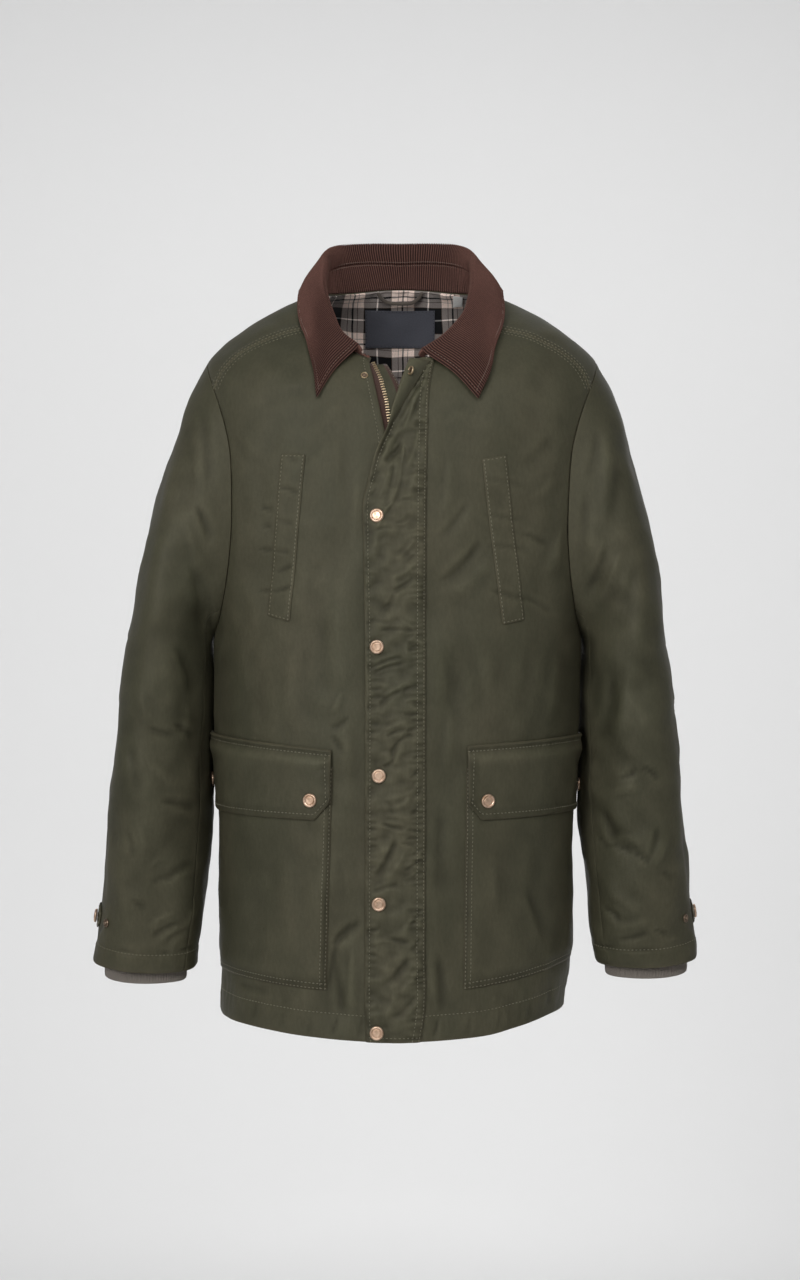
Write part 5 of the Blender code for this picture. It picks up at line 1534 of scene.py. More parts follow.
@dataclass(frozen=True)
class Corduroy(Finish):
    """Brown pile in wales with painted shade between them; the wear value carries how deep a point lies
    between two wales.
    """

    crest: tuple[float, float, float] = (0.188, 0.090, 0.071)
    valley_shade: tuple[float, float, float] = (0.008, 0.0036, 0.0028)

    def inputs(self, board: Board, place: bpy.types.NodeSocket, effects: Effects) -> dict:
        """Wires the finish.

        Args:
            board: The material's board.
            place: Place on the object.
            effects: Shader groups to use.

        Returns:
            What feeds each input of the Principled node.
        """
        tone, grain = board.group(effects.mottle, {"Place": place, "Scale": 26.0}).outputs
        crest = board.mix(tone, (*self.crest, 1), (*(0.78 * c for c in self.crest), 1))
        # Painted shade between the wales: the colour falls to the near-black valley colour where a point lies
        # deepest.
        base = board.mix(board.attribute("wear"), crest, (*self.valley_shade, 1))
        return {
            "Base Color": board.mix(1.0, base, board.scaled(grain, 0.8, 0.6), "MULTIPLY"),
            "Normal": board.bump(0.35, 0.0006, grain).outputs[0],
            "Roughness": 0.88,
            "Specular IOR Level": 0.2,
            "Sheen Weight": 0.12,
            "Sheen Roughness": 0.35,
            "Sheen Tint": (0.62, 0.42, 0.34, 1),
        }


@dataclass(frozen=True)
class Flannel(Finish):
    """Brushed check flannel."""

    repeat: float = 0.059
    shift: tuple[float, float] = (0.0295, 0.0365)

    def inputs(self, board: Board, place: bpy.types.NodeSocket, effects: Effects) -> dict:
        """Wires the finish.

        Args:
            board: The material's board.
            place: Place on the object.
            effects: Shader groups to use.

        Returns:
            What feeds each input of the Principled node.
        """
        wobble = board.noise(place, 22.0, 2.0)
        shifted = {"Vector": board.chart(), "Location": (*self.shift, 0.0)}
        moved = board.add("ShaderNodeMapping", shifted).outputs[0]
        bent = {0: moved, 1: board.contrast(wobble, 0.5, 0.006, clamp=False)}
        bent = board.add("ShaderNodeVectorMath", bent, operation="ADD").outputs[0]
        check = board.group(effects.check, {"Chart": bent, "Repeat": self.repeat}).outputs[0]
        grain = board.group(effects.mottle, {"Place": place, "Scale": 40.0}).outputs[1]
        return {
            "Base Color": board.mix(1.0, check, board.scaled(grain, 0.7, 0.65), "MULTIPLY"),
            "Normal": board.bump(0.3, 0.0006, grain).outputs[0],
            "Roughness": 0.92,
            "Specular IOR Level": 0.15,
            "Sheen Weight": 0.25,
        }


@dataclass(frozen=True)
class PlainCloth(Finish):
    """Tape, label, thread, knit or lining: one colour with its weave and unevenness."""

    colour: tuple[float, float, float] = (0.1, 0.1, 0.1)
    second: tuple[float, float, float] = (0.08, 0.08, 0.08)
    threads: float = 1200.0
    depth: float = 0.4
    roughness: float = 0.85
    sheen: float = 0.2

    def inputs(self, board: Board, place: bpy.types.NodeSocket, effects: Effects) -> dict:
        """Wires the finish.

        Args:
            board: The material's board.
            place: Place on the object.
            effects: Shader groups to use.

        Returns:
            What feeds each input of the Principled node.
        """
        grain = board.group(effects.mottle, {"Place": place, "Scale": 55.0}).outputs[1]
        weave = board.group(effects.weave, {"Chart": board.chart(), "Threads": self.threads})
        thread = board.mix(weave.outputs[1], (*self.colour, 1), (*self.second, 1))
        return {
            "Base Color": board.mix(1.0, thread, board.scaled(grain, 0.7, 0.65), "MULTIPLY"),
            "Normal": board.bump(self.depth, 0.0004, weave.outputs[0]).outputs[0],
            "Roughness": self.roughness,
            "Specular IOR Level": 0.25,
            "Sheen Weight": self.sheen,
        }


@dataclass(frozen=True)
class Metal(Finish):
    """Plated metal with tarnish in patches and fine scratches."""

    bright: tuple[float, float, float] = (0.55, 0.33, 0.20)
    tarnish: tuple[float, float, float] = (0.22, 0.115, 0.06)
    roughness: float = 0.30
    patches: float = 420.0

    def inputs(self, board: Board, place: bpy.types.NodeSocket, effects: Effects) -> dict:
        """Wires the finish.

        Args:
            board: The material's board.
            place: Place on the object.
            effects: Shader groups to use; not used.

        Returns:
            What feeds each input of the Principled node.
        """
        mask = board.contrast(board.noise(place, self.patches, 3.0, 0.6), 0.42, 3.0)
        return {
            "Base Color": board.mix(mask, (*self.bright, 1), (*self.tarnish, 1)),
            "Roughness": board.scaled(mask, 0.22, self.roughness),
            "Normal": board.bump(0.08, 0.0002, board.noise(place, 2600.0, 2.0)).outputs[0],
            "Metallic": 1.0,
        }


class Look(Enum):
    """The jacket's finishes."""

    SHELL = WaxedCotton("waxed_cotton_shell", "waxed_cotton")
    CORDUROY = Corduroy("brown_corduroy", "corduroy")
    FLANNEL = Flannel("check_flannel", "flannel")
    SLEEVE_LINING = PlainCloth(
        "sleeve_lining", "waxed_cotton", (0.030, 0.029, 0.026), (0.022, 0.021, 0.019),
        1800.0, 0.2, 0.5, 0.1,
    )
    KNIT = PlainCloth(
        "rib_knit", "knit", (0.305, 0.272, 0.236), (0.215, 0.190, 0.165), 1000.0, 0.8, 0.95, 0.1
    )
    TAPE = PlainCloth("brown_tape", "zip_tape", (0.095, 0.052, 0.040), (0.060, 0.032, 0.025), 1300.0, 0.5)
    LOOP = PlainCloth("hanger_cloth", "zip_tape", (0.085, 0.070, 0.058), (0.060, 0.048, 0.040), 1500.0, 0.4)
    LABEL = PlainCloth(
        "slate_label", "label", (0.085, 0.087, 0.105), (0.065, 0.067, 0.082), 2200.0, 0.3, 0.55
    )
    TAG = PlainCloth("white_tag", "size_tag", (0.95, 0.94, 0.92), (0.86, 0.85, 0.82), 2200.0, 0.3, 0.7)
    SLATE_THREAD = PlainCloth(
        "slate_thread", "label", (0.040, 0.043, 0.052), (0.03, 0.033, 0.04), 3000.0, 0.2
    )
    THREAD = PlainCloth(
        "olive_thread", "waxed_cotton", (0.188, 0.174, 0.117), (0.142, 0.131, 0.089), 3000.0, 0.2
    )
    BROWN_THREAD = PlainCloth(
        "brown_thread", "corduroy", (0.190, 0.118, 0.092), (0.150, 0.092, 0.072), 3000.0, 0.2
    )
    COPPER = Metal("copper_plate", "snap_copper", (0.80, 0.58, 0.43), (0.42, 0.26, 0.16), 0.34, 160.0)
    BRASS = Metal("aged_brass", "zip_metal", (0.76, 0.60, 0.39), (0.34, 0.23, 0.13), 0.42, 900.0)
    DARK_METAL = Metal("dark_socket", "snap_copper", (0.30, 0.22, 0.16), (0.11, 0.08, 0.055), 0.38)


# ------------------------------------------------------------------ repeats along a path
class Repeats:
    """Geometry Nodes trees that set small shapes along lines."""

    def __init__(self) -> None:
        """Builds the tree for stitches and the tree for zip teeth."""
        self.stitch_tree = self._stitch_tree()
        self.tooth_tree = self._tooth_tree()

    @staticmethod
    def _start(name: str, sockets: tuple) -> tuple[Board, bpy.types.Node, bpy.types.Node, bpy.types.Node]:
        """Starts a geometry tree with a point at each pitch along its lines.

        Args:
            name: Name of the tree.
            sockets: (name, socket type) of its own inputs.

        Returns:
            Its board, input node, output node and points node.
        """
        shape = ("Geometry", "NodeSocketGeometry")
        shared = (shape, ("Pitch", "NodeSocketFloat"), ("Material", "NodeSocketMaterial"))
        inputs = tuple((*socket, None) for socket in shared + sockets)
        board, given, made = new_group(name, inputs, (shape,), "GeometryNodeTree")
        curves = board.add("GeometryNodeMeshToCurve", {0: given.outputs["Geometry"]})
        along = {0: curves.outputs[0], "Length": given.outputs["Pitch"]}
        return board, given, made, board.add("GeometryNodeCurveToPoints", along, mode="LENGTH")

    @staticmethod
    def _end(board: Board, given: bpy.types.Node, made: bpy.types.Node, inputs: dict) -> bpy.types.NodeTree:
        """Ends a geometry tree: shapes on the points, made real, with their material.

        Args:
            board: The tree's board.
            given: Its input node.
            made: Its output node.
            inputs: What feeds the node that sets the shapes.

        Returns:
            The tree.
        """
        placed = board.add("GeometryNodeInstanceOnPoints", inputs)
        real = board.add("GeometryNodeRealizeInstances", {0: placed.outputs[0]})
        dress = {0: real.outputs[0], "Material": given.outputs["Material"]}
        board.feed(made.inputs[0], board.add("GeometryNodeSetMaterial", dress).outputs[0])
        return board.tree

    def _stitch_tree(self) -> bpy.types.NodeTree:
        """Stitches: grains of thread, end to end along each line.

        Returns:
            The tree.
        """
        sizes = (("Length", "NodeSocketFloat"), ("Thread", "NodeSocketFloat"))
        board, given, made, points = self._start("stitch_rows", sizes)
        grain = board.add("GeometryNodeMeshIcoSphere", {"Radius": 1.0, "Subdivisions": 1})
        grain = board.add("GeometryNodeSetShadeSmooth", {0: grain.outputs[0]})
        half = board.maths("MULTIPLY", given.outputs["Length"], 0.5)
        thread = given.outputs["Thread"]
        size = board.add("ShaderNodeCombineXYZ", {0: thread, 1: thread, 2: half})
        inputs = {
            0: points.outputs[0],
            "Instance": grain.outputs[0],
            "Rotation": points.outputs["Rotation"],
            "Scale": size.outputs[0],
        }
        return self._end(board, given, made, inputs)

    def _tooth_tree(self) -> bpy.types.NodeTree:
        """Zip teeth: a tooth at each step, turned across the tape.

        Returns:
            The tree.
        """
        board, given, made, points = self._start("zip_teeth_run", (("Tooth", "NodeSocketObject"),))
        across = {"Name": "across"}
        across = board.add("GeometryNodeInputNamedAttribute", across, data_type="FLOAT_VECTOR")
        turn = {"Vector": points.outputs["Tangent"]}
        turn = board.add("FunctionNodeAlignRotationToVector", turn, axis="Z")
        turn = {"Rotation": turn.outputs[0], "Vector": across.outputs[0]}
        turn = board.add("FunctionNodeAlignRotationToVector", turn, axis="X", pivot_axis="Z")
        tooth = board.add("GeometryNodeObjectInfo", {0: given.outputs["Tooth"]})
        inputs = {
            0: points.outputs[0],
            "Instance": tooth.outputs["Geometry"],
            "Rotation": turn.outputs[0],
        }
        return self._end(board, given, made, inputs)

    @staticmethod
    def run(
        name: str,
        lines: list[Array],
        tree: bpy.types.NodeTree,
        values: dict,
        across: list[Array] | None = None,
    ) -> bpy.types.Object:
        """Sets shapes along lines and returns the result as a plain mesh.

        Args:
            name: Name of the piece.
            lines: Points of each line.
            tree: The geometry tree.
            values: Value of each of the tree's inputs, by name.
            across: Direction across each line at each of its points.

        Returns:
            The piece.
        """
        points = np.concatenate(lines)
        edges, start = [], 0
        for part in lines:
            edges += [(start + k, start + k + 1) for k in range(len(part) - 1)]
            start += len(part)
        mesh = bpy.data.meshes.new(name + "_lines")
        mesh.from_pydata(points.tolist(), edges, [])
        if across is not None:
            made = mesh.attributes.new("across", "FLOAT_VECTOR", "POINT")
            made.data.foreach_set("vector", np.concatenate(across).astype(np.float32).ravel())
        guide = put(name + "_lines", mesh)
        modifier = guide.modifiers.new("run", "NODES")
        modifier.node_group = tree
        for item in tree.interface.items_tree:
            if item.item_type == "SOCKET" and item.in_out == "INPUT" and item.name in values:
                modifier[item.identifier] = values[item.name]
        graph = bpy.context.evaluated_depsgraph_get()
        graph.update()
        result = bpy.data.meshes.new_from_object(guide.evaluated_get(graph))
        guide.modifiers.clear()
        bpy.data.objects.remove(guide, do_unlink=True)
        result.name = name
        return put(name, result)


# ------------------------------------------------------------------ the workshop
@dataclass
class Workshop:
    """What every sub-assembly needs: surfaces, finishes, and a way to hand pieces to the frame."""

    body: Body
    sleeves: dict[str, Sleeve]
    effects: Effects
    repeats: Repeats
    materials: dict[Look, bpy.types.Material] = field(default_factory=dict)
    threads: dict[Look, list[Array]] = field(default_factory=dict)
    stitch_pitch: float = 0.0042
    stitch_length: float = 0.0026
    stitch_half: float = 0.00054

    def finish(self, look: Look) -> bpy.types.Material:
        """The material of a finish, made when it is first asked for.

        Args:
            look: Which finish.

        Returns:
            The material.
        """
        if look not in self.materials:
            self.materials[look] = look.value.material(self.effects)
        return self.materials[look]

    def dress(self, piece: bpy.types.Object, outside: Look, inside: Look | None = None) -> None:
        """Gives a piece its material slots."""
        piece.data.materials.append(self.finish(outside))
        piece.data.materials.append(self.finish(inside or outside))

    @staticmethod
    def deliver(piece: bpy.types.Object, look: Look, *nodes: str) -> None:
        """Rides a piece on the jacket's body, and hides the frame nodes that it stands for.

        Args:
            piece: The piece.
            look: Its finish; not used.
            nodes: Frame nodes that it stands for.
        """
        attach(piece, "root")
        if nodes:
            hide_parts(*nodes)
        LOG.info("%s: %d points", piece.name, len(piece.data.vertices))

    def cloth(
        self,
        name: str,
        face: Face,
        thick: float,
        outside: Look,
        inside: Look | None = None,
        nodes: tuple[str, ...] = (),
        inner: Array | None = None,
        chart: Array | None = None,
        wrap: bool = False,
    ) -> bpy.types.Object:
        """Args:
            name: Name of the piece.
            face: Its finished outer face.
            thick: Thickness of the cloth.
            outside: Finish of the outer face.
            inside: Finish of the inner face, if another.
            nodes: Frame nodes that it stands for.
            inner: Inner face, where it isn't simply thick behind the outer one.
            chart: Place on the cloth of each point.
            wrap: Whether it is a tube.

        Returns:
            The piece.
        """
        inner = face.inner(thick) if inner is None else inner
        chart = face.chart() if chart is None else chart
        piece = closed_wall(name, face.points, inner, chart, face.wear, wrap, face.painted_fold_shading())
        self.dress(piece, outside, inside)
        self.deliver(piece, outside, *nodes)
        self.sew(Look.THREAD, face.stitches)
        return piece

    def sew(self, thread: Look, lines: list[Array]) -> None:
        """Keeps lines of stitches for the thread pieces."""
        self.threads.setdefault(thread, []).extend(lines)

    def finish_threads(self) -> None:
        """Turns every kept line into stitches, one piece for each thread."""
        for look, lines in self.threads.items():
            values = {
                "Pitch": self.stitch_pitch,
                "Length": self.stitch_length,
                "Thread": self.stitch_half,
                "Material": self.finish(look),
            }
            piece = self.repeats.run(look.value.name + "_stitches", lines, self.repeats.stitch_tree, values)
            self.deliver(piece, look)


class Assembly:
    """A sub-assembly of the jacket."""

    def build(self, shop: Workshop) -> None:
        """Makes its pieces."""
        raise NotImplementedError


TOPSTITCH = Seam(dip=0.0009, band=0.0006, reach=0.0085, rows=STITCH_ROWS, pucker=0.00022)
PLAIN_SEAM = Seam(dip=0.0001, pucker=0.0002, wear=0.15)
CALM_EDGE = Seam(dip=0.0004, wear=0.2)
HEM = Seam(dip=0.0007, band=0.0005, reach=0.026, rows=(0.0265,), pucker=0.00035, pitch=0.013)


@dataclass
class BodyPanels(Assembly):
    """Fronts, back and yoke."""

    step: float = 0.0037
    back_step: float = 0.0060
    side_hem: float = math.radians(78)
    yoke_front: float = math.radians(44)
    yoke_back: float = math.radians(-42)
    yoke_neck: float = math.radians(57)
    side_rows: float = 7.0
    arm_rows: float = 7.0
    yoke_rows: float = 4.0
    arm_columns: float = 4.0
    back_columns: float = 14.0
    yoke_share: float = 0.24
    side_length: float = 0.405
    arm_length: float = 0.36
    yoke_length: float = 0.17
    # Opening edges.  Columns: height, X of the wearer's right edge, of the left edge.
    opening: tuple = (
        (-0.7850, -0.0095, 0.0085),
        (-0.2400, -0.0095, 0.0085),
        (-0.1850, -0.0105, 0.0092),
        (-0.1411, -0.0164, 0.0120),
        (-0.1161, -0.0220, 0.0150),
        (-0.0867, -0.0284, 0.0185),
        (-0.0600, -0.0345, 0.0220),
    )

    def side_seam(self, body: Body, side: int, shares: Array) -> Array:
        """(angle, length) points of a side seam, hem to underarm."""
        angle, up = body.armhole(np.array(math.pi))
        return line((side * self.side_hem, 0.0), (side * float(angle), float(up)), shares)

    def outer_edge(self, body: Body, side: int, rows: Array, last_turn: float) -> Array:
        """Follows a side seam and then the armhole.

        Args:
            body: The body surface.
            side: 1 for the wearer's left, -1 for the right.
            rows: Row numbers.
            last_turn: Where on the armhole the last row ends.

        Returns:
            The (angle, length) point of each row.
        """
        made = np.zeros((len(rows), 2))
        low = rows <= self.side_rows
        made[low] = self.side_seam(body, side, rows[low] / self.side_rows)
        share = np.clip((rows[~low] - self.side_rows) / self.arm_rows, 0, 1)
        start = math.copysign(math.pi, last_turn)
        angle, up = body.armhole(start + (last_turn - start) * share)
        made[~low] = np.stack([side * angle, up], axis=-1)
        return made

    def yoke_seam(self, body: Body, side: int, shares: Array) -> Array:
        """(angle, length) points of the front yoke seam, armhole to neckline."""
        angle, up = body.armhole(np.array(self.yoke_front))
        return line((side * float(angle), float(up)), (side * self.yoke_neck, NECKLINE), shares)

    def rows_up(self, step: float, yoke: bool) -> Array:
        """Numbers the rows from the hem up, close together at both ends.

        Args:
            step: Usual spacing.
            yoke: Whether the rows go on up the yoke seam, as in front.

        Returns:
            The row numbers.
        """
        side = spaced(self.side_length, step, last=False) * self.side_rows
        if not yoke:
            arm = spaced(self.arm_length, step, first=False)[1:] * self.arm_rows + self.side_rows
            return np.concatenate([side, arm])
        arm = np.linspace(0, 1, round(self.arm_length / step) + 1)[1:] * self.arm_rows + self.side_rows
        top = spaced(self.yoke_length, step, first=False)[1:] * self.yoke_rows
        return np.concatenate([side, arm, top + self.side_rows + self.arm_rows])

    @staticmethod
    def mitred(shop: Workshop, face: Face, side: int, rows: Array, turns: Array, edge: Edge) -> Array:
        """Makes an inner face whose edge turns into the sleeve at the armhole.

        Args:
            shop: The workshop.
            face: The outer face.
            side: 1 for the wearer's left, -1 for the right.
            rows: Rows that end at the armhole.
            turns: Where on the armhole they end.
            edge: The edge at the armhole.

        Returns:
            Points of the inner face.
        """
        sleeve = shop.sleeves["r" if side < 0 else "l"]
        inner = face.inner(CLOTH)
        inner[rows] = face.bent_inner(edge, sleeve.mitre(turns)[:, None], rows)
        return inner

    def front(self, shop: Workshop, letter: str, side: int) -> None:
        """Makes a front: hem, opening edge, neckline, yoke seam, armhole and side seam.

        Args:
            shop: The workshop.
            letter: r or l.
            side: 1 for the wearer's left, -1 for the right.
        """
        body = shop.body
        rows = self.rows_up(self.step, yoke=True)
        total = self.side_rows + self.arm_rows + self.yoke_rows
        edge = self.outer_edge(body, side, rows, self.yoke_front)
        on_yoke = rows > self.side_rows + self.arm_rows
        share = (rows[on_yoke] - self.side_rows - self.arm_rows) / self.yoke_rows
        edge[on_yoke] = self.yoke_seam(body, side, share)
        heights = np.interp(rows, (0, self.side_rows, total), (0, self.side_length, NECKLINE))
        front_z = body.bare(np.zeros(len(rows)), heights)[:, 2]
        edge_x = straight(self.opening, front_z)[:, 0 if side < 0 else 1]
        opening = np.stack(body.on_front(edge_x, front_z), axis=-1)
        opening[-1, 1] = NECKLINE
        across = spaced(0.27, self.step)
        grid = coons(
            line(opening[0], edge[0], across), line(opening[-1], edge[-1], across), opening, edge,
            across, rows / total,
        )
        face = Face(*body.face(grid[..., 0], grid[..., 1]))
        arm = (rows >= self.side_rows) & (rows <= self.side_rows + self.arm_rows)
        turns = math.pi + (self.yoke_front - math.pi) * (rows[arm] - self.side_rows) / self.arm_rows
        inner = self.mitred(shop, face, side, arm, turns, Edge.RIGHT)
        yoke_from = face.along(Edge.RIGHT)[int(np.argmax(on_yoke)), 0]
        face.sew(Edge.BOTTOM, HEM)
        face.sew(Edge.LEFT, Seam(dip=0.0006, band=0.0002, reach=0.008, rows=(0.0075,), wear=0.4))
        face.sew(Edge.TOP, CALM_EDGE)
        face.sew(Edge.RIGHT, Seam(dip=0.0009, pucker=0.0001, wear=0.3))
        for row in STITCH_ROWS:
            face.stitches.append(face.inset(Edge.RIGHT, row, (yoke_from, 0.004)))
        shop.cloth(
            "front_" + letter + "_cloth", face, CLOTH, Look.SHELL, Look.FLANNEL,
            nodes=("front_" + letter,), inner=inner, chart=face.chart(from_top=True),
        )

    def back(self, shop: Workshop) -> None:
        """The back, side seam to side seam.

        Args:
            shop: The workshop.
        """
        body = shop.body
        rows = self.rows_up(self.back_step, yoke=False)
        total = self.side_rows + self.arm_rows
        left = self.outer_edge(body, 1, rows, self.yoke_back)
        right = self.outer_edge(body, -1, rows, self.yoke_back)
        right[:, 0] += TURN
        across = spaced(0.60, self.back_step)
        grid = coons(
            line(left[0], right[0], across), line(left[-1], right[-1], across), left, right,
            across, rows / total,
        )
        face = Face(*body.face(grid[..., 0], grid[..., 1]))
        arm = rows >= self.side_rows
        turns = -math.pi + (self.yoke_back + math.pi) * (rows[arm] - self.side_rows) / self.arm_rows
        inner = self.mitred(shop, face, 1, arm, turns, Edge.LEFT)
        other = self.mitred(shop, face, -1, arm, turns, Edge.RIGHT)
        half = inner.shape[1] // 2
        inner[:, half:] = other[:, half:]
        face.sew(Edge.BOTTOM, HEM)
        for edge in (Edge.LEFT, Edge.RIGHT):
            face.sew(edge, PLAIN_SEAM)
        face.sew(Edge.TOP, Seam(dip=0.0010, pucker=0.00012, wear=0.3))
        shop.cloth(
            "back_cloth", face, CLOTH, Look.SHELL, Look.FLANNEL, nodes=("back_panel",), inner=inner,
            chart=face.chart(0.5, from_top=True),
        )

    @property
    def yoke_columns(self) -> float:
        """Number of columns of the yoke, from the front seam on the left to the one on the right."""
        return 2 * self.arm_columns + self.back_columns

    def yoke_grid(self, body: Body, steps: Array, shares: Array) -> Array:
        """Lays out the yoke.

        Args:
            body: The body surface.
            steps: Column numbers from the wearer's left to the right.
            shares: Shares of the way up to the neckline.

        Returns:
            Its (angle, length) grid.
        """
        arm, total = self.arm_columns, self.yoke_columns
        back = arm + self.back_columns
        edge = np.zeros((len(steps), 2))
        for k, step in enumerate(steps):
            if step <= arm:
                turn = self.yoke_front + (self.yoke_back - self.yoke_front) * step / arm
                angle, up = body.armhole(np.array(turn))
                edge[k] = float(angle), float(up)
            elif step >= back:
                turn = self.yoke_back + (self.yoke_front - self.yoke_back) * (step - back) / arm
                angle, up = body.armhole(np.array(turn))
                edge[k] = TURN - float(angle), float(up)
            else:
                angle, up = body.armhole(np.array(self.yoke_back))
                share = (step - arm) / self.back_columns
                edge[k] = float(angle) + (TURN - 2 * float(angle)) * share, float(up)
        low, high = self.yoke_share, 1 - self.yoke_share
        share = np.interp(steps, (0, arm, back, total), (0, low, high, 1))
        neck_angle = self.yoke_neck + share * (TURN - 2 * self.yoke_neck)
        neck = np.stack([neck_angle, np.full_like(neck_angle, NECKLINE)], axis=-1)
        left = self.yoke_seam(body, 1, shares)
        right = self.yoke_seam(body, -1, shares) + (TURN, 0)
        return coons(edge, neck, left, right, steps / total, shares)

    def yoke(self, shop: Workshop) -> None:
        """The yoke, one piece over both shoulders and round the back of the neck.

        Args:
            shop: The workshop.
        """
        body = shop.body
        total, corner = self.yoke_columns, self.arm_columns
        other = corner + self.back_columns
        arm = np.linspace(0, corner, 48)
        left = np.concatenate([np.array(RIMS[:-1]) / 0.19 * corner, arm[1:]])
        middle = np.linspace(corner, other, 110)[1:-1]
        steps = np.concatenate([left, middle, total - left[::-1]])
        shares = spaced(0.155, 0.0042)
        grid = self.yoke_grid(body, steps, shares)
        face = Face(*body.face(grid[..., 0], grid[..., 1]))
        inner = face.inner(CLOTH)
        for letter, numbers in (("l", steps), ("r", total - steps)):
            on_arm = numbers <= corner
            turns = self.yoke_front + (self.yoke_back - self.yoke_front) * numbers[on_arm] / corner
            part = (slice(None), on_arm)
            inner[part] = face.bent_inner(Edge.BOTTOM, shop.sleeves[letter].mitre(turns)[None], part)
        for edge in (Edge.LEFT, Edge.RIGHT):
            face.sew(edge, TOPSTITCH)
        run = face.along(Edge.BOTTOM)[0]
        first = run[int(np.argmax(steps >= corner))]
        last = run[-1] - run[int(np.argmax(steps >= other))]
        face.sew(Edge.BOTTOM, Seam(dip=0.0010, pucker=0.0002, wear=0.3))
        for row in STITCH_ROWS:
            face.stitches.append(face.inset(Edge.BOTTOM, row, (first, last)))
        face.sew(Edge.TOP, CALM_EDGE)
        shop.cloth(
            "shoulder_yoke_cloth", face, CLOTH, Look.SHELL, Look.FLANNEL, nodes=("shoulder_yoke",),
            inner=inner, chart=face.chart(0.5, from_top=True),
        )

    def build(self, shop: Workshop) -> None:
        """Makes the body panels.

        Args:
            shop: The workshop.
        """
        self.front(shop, "r", -1)
        self.front(shop, "l", 1)
        self.back(shop)
        self.yoke(shop)


